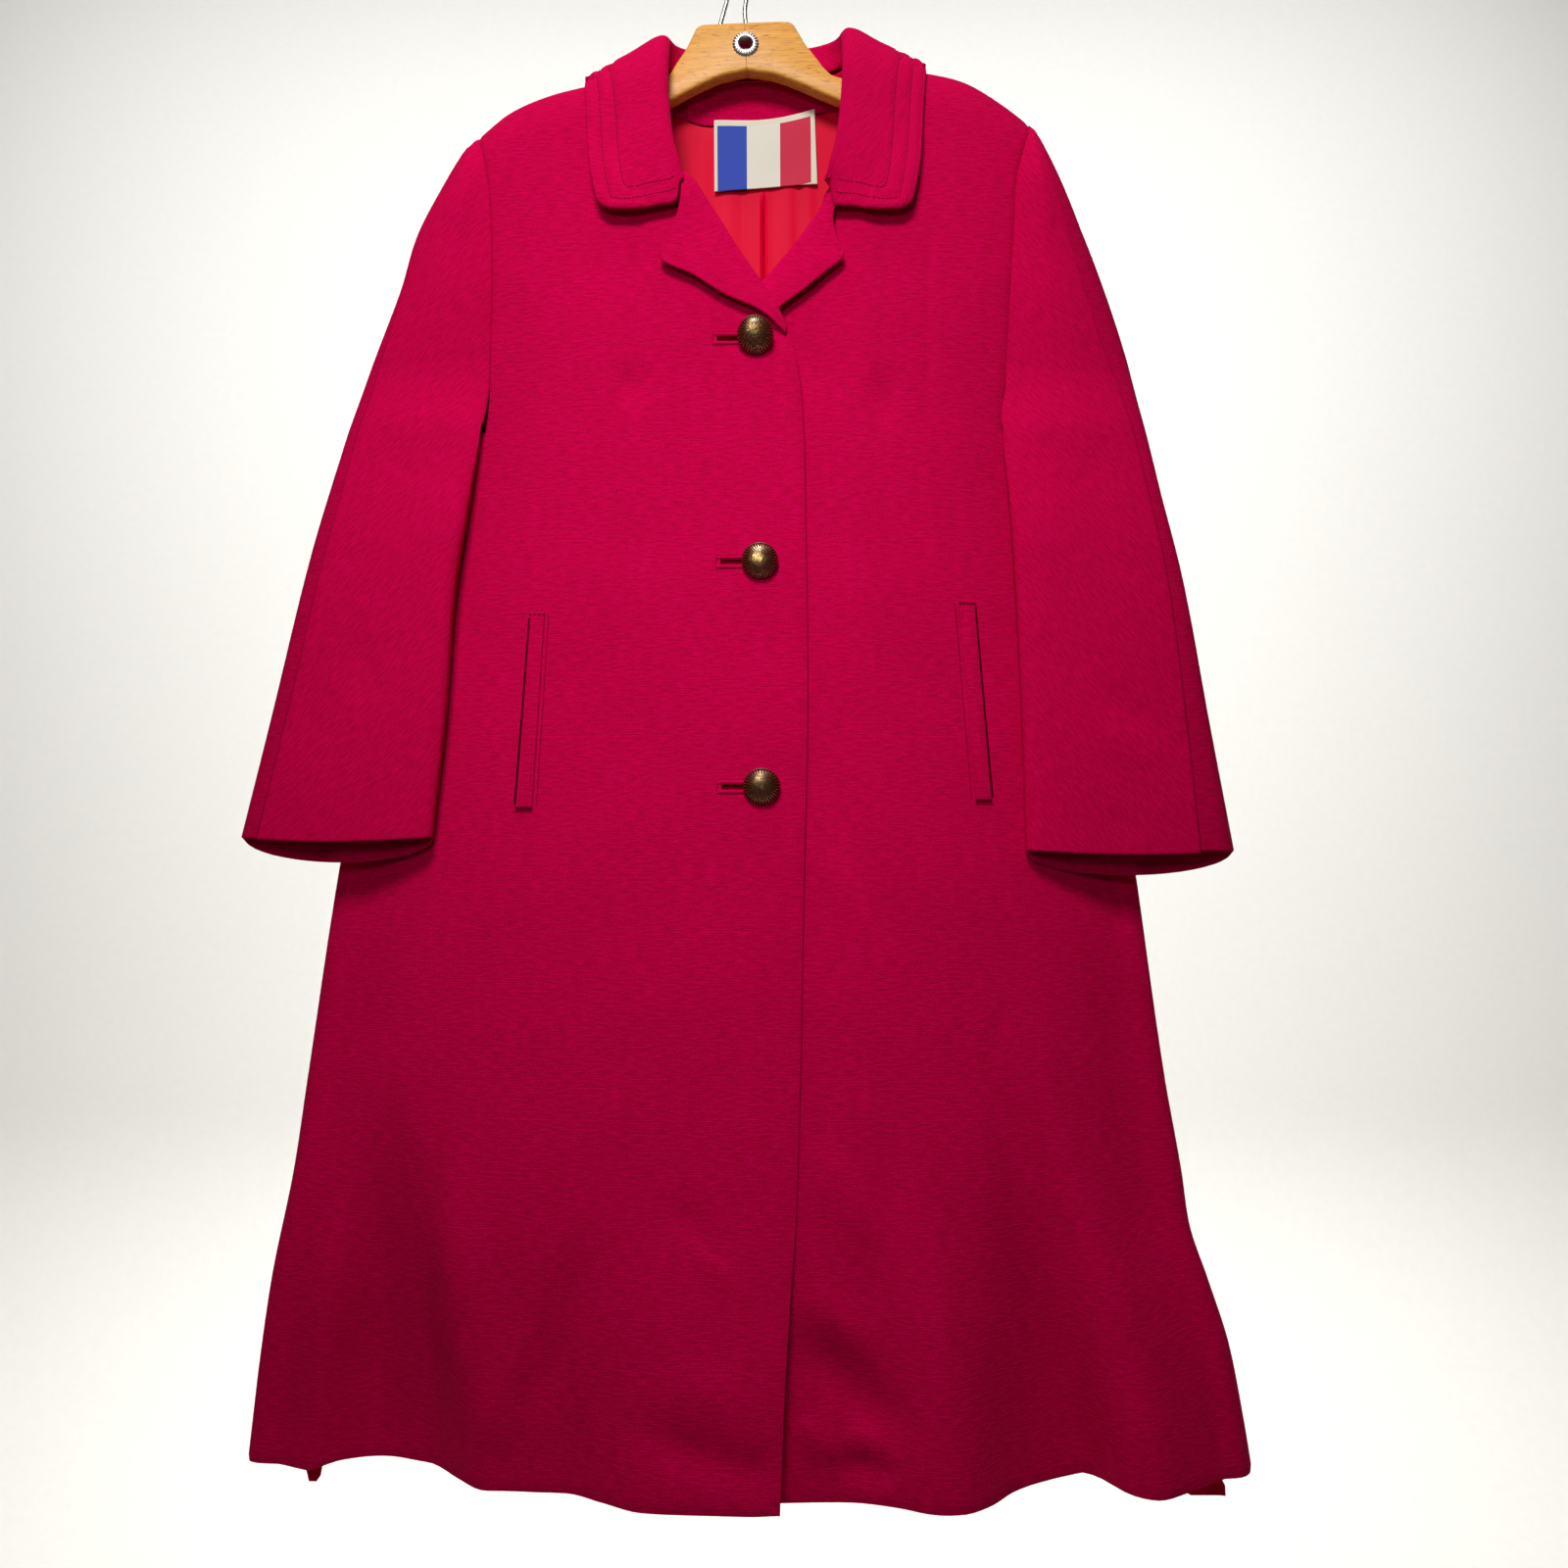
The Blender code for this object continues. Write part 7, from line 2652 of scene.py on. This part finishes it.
    def seated(self, made: bpy.types.Object, which: str) -> bpy.types.Object:
        """Turns a button to face the viewer and sets it on the front.

        Args:
            made: The button, lying flat at the origin.
            which: Which button's place: top, middle or bottom.

        Returns:
            The same button, in its place.
        """
        x, z = self.places[which]
        rise = 4.6 if which == "top" else 2.0
        base = float(self.form.front(Side.RIGHT, np.array(x), np.array(z))) + rise
        tip = 0.3 if which == "top" else 0.08
        for point in made.data.vertices:
            across, up, out = point.co
            depth = base + (out + tip * up) / MM
            point.co = Vector(tuple(placed(np.array([x + across / MM, depth, z + up / MM]), 14.0)))
        return made

    def welt(self, side: Side, front: bpy.types.Object) -> bpy.types.Object:
        """One welt, lying on the front beside the pocket's slit.

        Args:
            side: The wearer's side.
            front: The dressed front that carries it.

        Returns:
            The welt's object.
        """
        inner_top, outer_top, top = self.welt_top[side]
        inner_low, outer_low, low = self.welt_foot[side]
        half = side.sign * self.welt_slit / 2
        outline = [
            (outer_top - half, top - 3), (outer_top + half, top - 3), (outer_low + half, low + 3),
            (outer_low - half, low + 3),
        ]
        middle = float(self.depth(side, (outer_top + outer_low) / 2, (top + low) / 2))
        self.pierce(front, outline, middle)
        t, s = np.meshgrid(np.linspace(0, 1, 44), np.linspace(0, 1, 9), indexing="ij")
        x = mix(mix(inner_top, outer_top, s), mix(inner_low, outer_low, s), t)
        z = mix(top, low, t) + 0.0 * s
        bulge = 0.7 * np.sin(math.pi * s) * np.sin(math.pi * np.clip(t, 0, 1)) ** 0.3
        stitched = -0.45 * bump((s - 0.22) * 11.5, 1.3)
        grid = np.stack(
            [x, self.depth(side, x, z) + self.welt_cloth + 0.3 + bulge + stitched, z], -1
        )
        grid = with_border_rows(with_border_rows(grid, 0, (0.3, 0.9)), 1, (0.3, 0.9))
        name = f"welt_{side.word}_cloth"
        return ClothShell(name, grid, self.wool, (0, -1, 0), self.welt_cloth, 0.8).build()

    def tacks(self, side: Side) -> bpy.types.Object:
        """The stitched bars across a welt's ends and the line of stitches down its seam.

        Args:
            side: The wearer's side.

        Returns:
            The stitches' object.
        """
        inner_top, outer_top, top = self.welt_top[side]
        inner_low, outer_low, low = self.welt_foot[side]
        paths = []
        for inner, outer, level, way in (
            (inner_top, outer_top, top, -1),
            (inner_low, outer_low, low, 1),
        ):
            for row in range(2):
                s = np.linspace(0.04, 0.96, 9)
                x, z = mix(inner, outer, s), np.full(9, level + way * (0.8 + 0.8 * row))
                depth = self.depth(side, x, z) + self.welt_cloth + 0.75
                paths.append(placed(np.stack([x, depth, z], -1), 14.0))
        t = np.linspace(0.02, 0.98, 60)
        x = mix(inner_top, inner_low, t) - side.sign * 3.2
        z = mix(top, low, t)
        paths.append(placed(np.stack([x, self.depth(side, x, z) + 0.12, z], -1), 14.0))
        row = StitchRow(pitch_mm=2.6, length_mm=2.2, thread_mm=0.3)
        return row.along(f"welt_{side.word}_stitches", paths, self.thread)


# Hanger


@dataclass
class Hanger:
    """A flat wooden hanger in two halves, with a metal eyelet and a wire hook."""

    wood: bpy.types.Material
    plate: bpy.types.Material
    shank_x: float = 6.0
    eyelet_z: float = -61.0
    tilt: float = 0.042
    thick: float = 12.0
    wire: float = 1.7
    bend: float = 5.0
    bore: float = 5.0
    rim: float = 10.4
    scallops: int = 24
    outline: tuple[tuple[float, float], ...] = (
        (34, -42.5), (38, -45), (42.5, -54), (47, -63), (54, -72.5), (60, -82), (66, -88.5),
        (78, -92.5), (110, -99), (140, -106.5), (168, -114), (186, -120.5), (192, -124.5),
        (195, -131), (193.5, -138), (188, -142), (165, -138.5), (130, -130), (100, -121.5),
        (77, -112.5), (60, -104.5), (42, -95), (22, -86),
    )

    def build(self) -> dict[str, bpy.types.Object]:
        """Builds the halves, the eyelet and the hook.

        Returns:
            Their objects by node name.
        """
        made = {f"hanger_half_{side.word}": self.half(side) for side in Side}
        made["hanger_eyelet"] = self.eyelet()
        made["hanger_hook"] = self.hook()
        return made

    def leaned(self, x: float, z: float) -> tuple[float, float]:
        """A point of the level hanger, leaned with the garment."""
        return x - self.tilt * (z - self.eyelet_z), z + self.tilt * x

    def rounded_outline(self) -> list[tuple[float, float]]:
        """The right half's outline through soft corners, with a notch for the eyelet.

        Returns:
            Points (x, z) in millimetres.
        """
        corner = np.array(self.outline, float)
        points = [(0.15, -42.5)]
        for k in range(len(corner)):
            before = corner[k - 1] if k else np.array((0.15, -42.5))
            after = corner[k + 1] if k + 1 < len(corner) else np.array((0.15, -82.0))
            for t in (0.25, 0.5, 0.75):
                start, end = mix(before, corner[k], 0.62), mix(corner[k], after, 0.38)
                bent = (1 - t) ** 2 * start + 2 * t * (1 - t) * corner[k] + t * t * end
                points.append(tuple(bent))
        points.append((0.15, -82.0))
        for step in range(13):
            angle = -math.pi / 2 + math.pi * step / 12
            radius = self.bore + 1.6
            points.append(
                (max(0.15, radius * math.cos(angle)), self.eyelet_z + radius * math.sin(angle))
            )
        return points

    def half(self, side: Side) -> bpy.types.Object:
        """One wooden half, its long edges well rounded.

        Args:
            side: The wearer's side.

        Returns:
            The half's object.
        """
        flat = [self.leaned(side.sign * x, z) for x, z in self.rounded_outline()]
        count, half = len(flat), self.thick / 2
        points = [(x + self.shank_x, -half, z) for x, z in flat]
        points += [(x + self.shank_x, half, z) for x, z in flat]
        faces = [tuple(range(count)), tuple(range(2 * count - 1, count - 1, -1))]
        faces += [(k, k + count, (k + 1) % count + count, (k + 1) % count) for k in range(count)]
        name = f"hanger_{side.word}_arm"
        made = joined_object(name, np.array(points) * MM, faces, self.wood, smooth_angle=40)
        turned_outwards(made.data)
        weights = made.data.attributes.new("bevel_weight_edge", "FLOAT", "EDGE")
        places = [vertex.co for vertex in made.data.vertices]
        joint = self.shank_x * MM
        for edge, weight in zip(made.data.edges, weights.data):
            first, second = (places[k] for k in edge.vertices)
            level = abs(first.y - second.y) < 1e-6
            inner = max(
                abs(p.x - self.tilt * (self.eyelet_z * MM - p.z) - joint) for p in (first, second)
            )
            weight.value = 1.0 if level and inner > self.bore * MM * 1.6 else 0.0
        bevel = made.modifiers.new("Rounded edges", "BEVEL")
        bevel.width = 2.4 * MM
        bevel.segments = 4
        bevel.limit_method = "WEIGHT"
        settled(made)
        made.data.shade_smooth()
        made.data.set_sharp_from_angle(angle=math.radians(32))
        return made

    def eyelet(self) -> bpy.types.Object:
        """The metal eyelet, with a turned-over, scalloped flange on both faces.

        Returns:
            The eyelet's object.
        """
        half = self.thick / 2 + 0.3
        bore, tube, rim = self.bore, self.bore + 1.2, self.rim
        profile = (
            (bore, -half - 0.3, 0.0), (bore, half + 0.3, 0.0), (bore + 0.5, half + 1.1, 0.0),
            (tube + 0.4, half + 1.4, 0.3), (rim - 2.2, half + 1.0, 0.8),
            (rim - 0.5, half + 0.8, 1.0), (rim, half + 0.1, 1.0), (tube, half, 0.0),
            (tube, -half, 0.0), (rim, -half - 0.1, 1.0), (rim - 0.5, -half - 0.8, 1.0),
            (rim - 2.2, -half - 1.0, 0.8), (tube + 0.4, -half - 1.4, 0.3),
            (bore + 0.5, -half - 1.1, 0.0),
        )
        steps = 144
        points, faces = [], []
        for k in range(steps):
            angle = 2 * math.pi * k / steps
            scallop = 0.3 * math.cos(self.scallops * angle)
            for radius, out, share in profile:
                reach = radius + (scallop - 0.3) * share
                bulge = 0.25 * math.cos(self.scallops * angle) * share * math.copysign(1, out)
                points.append(
                    (
                        self.shank_x + reach * math.cos(angle),
                        out + bulge,
                        self.eyelet_z + reach * math.sin(angle),
                    )
                )
        count = len(profile)
        for k in range(steps):
            n = (k + 1) % steps
            for i in range(count):
                m = (i + 1) % count
                faces.append((k * count + i, k * count + m, n * count + m, n * count + i))
        made = joined_object(
            "eyelet_ring", np.array(points) * MM, faces, self.plate, smooth_angle=50
        )
        turned_outwards(made.data)
        return made

    def hook(self) -> bpy.types.Object:
        """The bent wire: up from the wood, over the rail and down to the wood again.

        Returns:
            The hook's object.
        """
        radius = self.bend + self.wire
        tail = self.shank_x - 20.5
        route = [(self.shank_x, -51.0), (self.shank_x, -44.0), (self.shank_x - 0.9, -30.0)]
        route += [(radius - 0.1, -16.0)]
        route += [
            (radius * math.cos(math.pi * k / 12), -self.bend + radius * math.sin(math.pi * k / 12))
            for k in range(13)
        ]
        route += [
            (-radius - 1.2, -16.0), (-radius - 4.6, -30.0), (tail, -43.0), (tail - 0.2, -46.5)
        ]
        knots = np.array(route, float)
        steps = np.linalg.norm(np.diff(knots, axis=0), axis=1)
        run = np.concatenate([[0.0], np.cumsum(steps)])
        at = np.linspace(0, run[-1], 110)
        path = np.stack([smooth_curve(run, knots[:, 0], at), smooth_curve(run, knots[:, 1], at)], 1)
        along = np.gradient(path, axis=0)
        along /= np.linalg.norm(along, axis=1, keepdims=True)
        sides = 20
        points, faces = [], []
        for (x, z), (dx, dz) in zip(path, along):
            for k in range(sides):
                angle = 2 * math.pi * k / sides
                across, deep = self.wire * math.cos(angle), self.wire * math.sin(angle)
                points.append((x - dz * across, deep, z + dx * across))
        for i in range(len(path) - 1):
            for k in range(sides):
                m = (k + 1) % sides
                faces.append(
                    (i * sides + k, i * sides + m, (i + 1) * sides + m, (i + 1) * sides + k)
                )
        faces.append(tuple(range(sides - 1, -1, -1)))
        last = (len(path) - 1) * sides
        faces.append(tuple(range(last, last + sides)))
        made = joined_object("wire_hook", np.array(points) * MM, faces, self.plate, smooth_angle=50)
        turned_outwards(made.data)
        return made


# Studio


@dataclass
class Studio:
    """A pale paper sweep, soft light from above the camera and the camera itself."""

    paper: bpy.types.Material
    floor_z: float = -2.5
    wall_y: float = 3.2
    curve: float = 1.02
    half_width: float = 7.3
    paper_front: float = -6.0
    paper_top: float = 6.3
    camera_at: tuple[float, float, float] = (0.036, -0.918, -0.710)
    pitch: float = 94.3
    roll: float = 0.0
    lens: float = 28.125

    def build(self) -> None:
        """Builds the sweep, the lights and the camera."""
        paper = self.sweep()
        self.area_light("key", (-0.14, -0.98, 0.5), (0.0, 0.0, -0.61), (0.45, 0.28), 4.8, 103)
        self.area_light("front", (-0.2, -1.2, -0.22), (0.0, 0.0, -0.53), (0.4, 0.3), 0.6, 71)
        self.area_light("panel", (0.1, -2.2, -0.3), (0.0, 0.0, -0.6), (2.2, 2.2), 0.4, 180)
        self.area_light("wall wash", (0.0, -0.3, 1.6), (0.0, 0.9, -0.3), (2.4, 0.8), 8.0, 120)
        wash = self.area_light(
            "paper wash", (0, -0.2, 4.76), (0, 3.2, -0.23), (6.35, 2.27), 160, 70
        )
        only = bpy.data.collections.new("paper")
        only.objects.link(paper)
        wash.light_linking.receiver_collection = only
        world = bpy.data.worlds.new("soft room")
        world.use_nodes = True
        world.node_tree.nodes["Background"].inputs[0].default_value = (1.0, 0.99, 0.97, 1)
        world.node_tree.nodes["Background"].inputs[1].default_value = 0.02
        bpy.context.scene.world = world
        bpy.context.scene.view_settings.view_transform = "Standard"
        self.camera()

    def sweep(self) -> bpy.types.Object:
        """The floor, curved up into the wall behind.

        Returns:
            The sweep's object.
        """
        profile = [(self.paper_front, self.floor_z), (self.wall_y - self.curve, self.floor_z)]
        for k in range(1, 13):
            angle = math.pi / 2 * k / 12
            profile.append(
                (
                    self.wall_y - self.curve + self.curve * math.sin(angle),
                    self.floor_z + self.curve * (1 - math.cos(angle)),
                )
            )
        profile.append((self.wall_y, self.paper_top))
        points = []
        for y, z in profile:
            points += [(-self.half_width, y, z), (self.half_width, y, z)]
        faces = [(2 * k, 2 * k + 1, 2 * k + 3, 2 * k + 2) for k in range(len(profile) - 1)]
        made = joined_object("paper_sweep", np.array(points), faces, self.paper, smooth_angle=80)
        return made

    def area_light(
        self,
        name: str,
        at: tuple[float, float, float],
        toward: tuple[float, float, float],
        size: tuple[float, float],
        watts: float,
        spread: float,
    ) -> bpy.types.Object:
        """A soft rectangular light, aimed at a point and gathered to a cone of spread degrees.

        Args:
            name: The light's name.
            at: Where it stands, in metres.
            toward: The point that it faces.
            size: Its width and height in metres.
            watts: Its power.
            spread: The cone's angle in degrees.

        Returns:
            The light's object.
        """
        light = bpy.data.lights.new(name, "AREA")
        light.shape = "RECTANGLE"
        light.size, light.size_y = size
        light.energy = watts
        light.spread = math.radians(spread)
        made = bpy.data.objects.new(name, light)
        made.location = at
        made.rotation_euler = (Vector(toward) - Vector(at)).to_track_quat("-Z", "Y").to_euler()
        bpy.context.scene.collection.objects.link(made)
        return made

    def camera(self) -> None:
        """The camera, at the height of the coat's chest and close before it."""
        data = bpy.data.cameras.new("camera")
        data.lens = self.lens
        data.sensor_width = 36.0
        made = bpy.data.objects.new("camera", data)
        made.location = self.camera_at
        made.rotation_euler = (math.radians(self.pitch), math.radians(self.roll), 0)
        bpy.context.scene.collection.objects.link(made)
        bpy.context.scene.camera = made


def main() -> None:
    """Builds the coat, the hanger and the studio, and reports each piece."""
    logging.basicConfig(level=logging.INFO, format="%(name)s: %(message)s")
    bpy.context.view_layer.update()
    form = CoatForm()
    wool = WoolCrepe().material()
    sleeve_wool = WoolCrepe(name="ribbed wool crepe, sleeve grain", twill=0.9).material()
    satin = LiningSatin().material()
    ribbon = WovenRibbon().material()
    thread = SewingThread().material()
    gilt = Metal("gilt brass", "#FFDC94", "#E2A858", 0.26).material()
    # Red-brown lacquer between the rays: partly the button's own finish, partly a painted
    # reflection of the coat in the gaps.
    lacquer = Metal("red-brown lacquer", "#5A1414", "#380A0C", 0.34, 0.0).material()
    nickel = Metal("nickel plate", "#D8D6D0", "#B0ADA4", 0.3).material()
    beech = VarnishedBeech().material()

    panels = BodyPanels(form, wool)
    body = panels.build()
    # A darker copy of the wool for the back sleeve pieces: painted shade on the strip that turns
    # away from the light.
    under_wool = WoolCrepe("ribbed wool crepe, under sleeve", "#CE004E", "#A2002E").material()
    sleeves = Sleeves(form, sleeve_wool, under_wool).build()
    collar = Collar(form, wool, thread).build()
    inside = NeckInside(form, wool, satin, ribbon).build()
    closings = Fastenings(form, panels, wool, thread, gilt, lacquer).build(body)
    hanger = Hanger(beech, nickel).build()
    Studio(StudioPaper().material()).build()

    for word in ("right", "left"):
        name = f"front_{word}"
        stitches = closings[f"tacks_{word}"]
        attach(stitches, BODY)
        front = (body[name], (name,), (0.40, 1.08), 0.32, Hold.HUNG, ("hanger_half_" + word,))
        declare(*front, trims=(stitches,))
        welt = closings[f"welt_{word}"]
        declare(welt, (f"welt_{word}",), (0.0135, 0.149), 0.002, Hold.LAID, (name,))
        upper, under = f"sleeve_front_{word}", f"sleeve_back_{word}"
        declare(sleeves[upper], (upper,), (0.17, 0.58), 0.07, Hold.HUNG, (name,))
        declare(sleeves[under], (under,), (0.22, 0.59), 0.09, Hold.HUNG, (name,))
        wide, cut = (0.055, 0.0045) if word == "right" else (0.045, 0.0032)
        lapel = f"lapel_{word}"
        declare(collar[lapel], (lapel,), (wide, 0.12), cut, Hold.FOLDED, (name,))
    for which in ("top", "middle", "bottom"):
        hole, button = f"buttonhole_{which}", f"button_{which}"
        declare(closings[hole], (hole,), (0.039, 0.0105), 0.00038, Hold.LAID, ("front_right",))
        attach(closings[button], BODY)
        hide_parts(button)
    halves = ("hanger_half_right", "hanger_half_left")
    declare(body["back"], ("back",), (0.75, 1.1), 0.68, Hold.HUNG, halves)
    rows = collar["stitches"]
    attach(rows, BODY)
    under = ("back", "front_right", "front_left")
    declare(collar["collar"], ("collar",), (0.6, 0.11), 0.05, Hold.FOLDED, under, trims=(rows,))
    facing = inside["back_neck_facing"]
    declare(facing, ("back_neck_facing",), (0.12, 0.04), 0.004, Hold.LAID, ("back",))
    lining = inside["lining_back"]
    declare(lining, ("lining_back",), (0.7, 1.07), 0.56, Hold.HUNG, ("back",), "lining")
    sewn_on = ("back_neck_facing",)
    declare(inside["label"], ("label",), (0.08, 0.057), 0.0045, Hold.LAID, sewn_on, "label")
    for name, piece in hanger.items():
        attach(piece, BODY)
        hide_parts(name)
    for piece in (*closings.values(), *hanger.values(), collar["stitches"]):
        LOG.info("%s: %d faces", piece.name, len(piece.data.polygons))


if __name__ == "__main__":
    main()
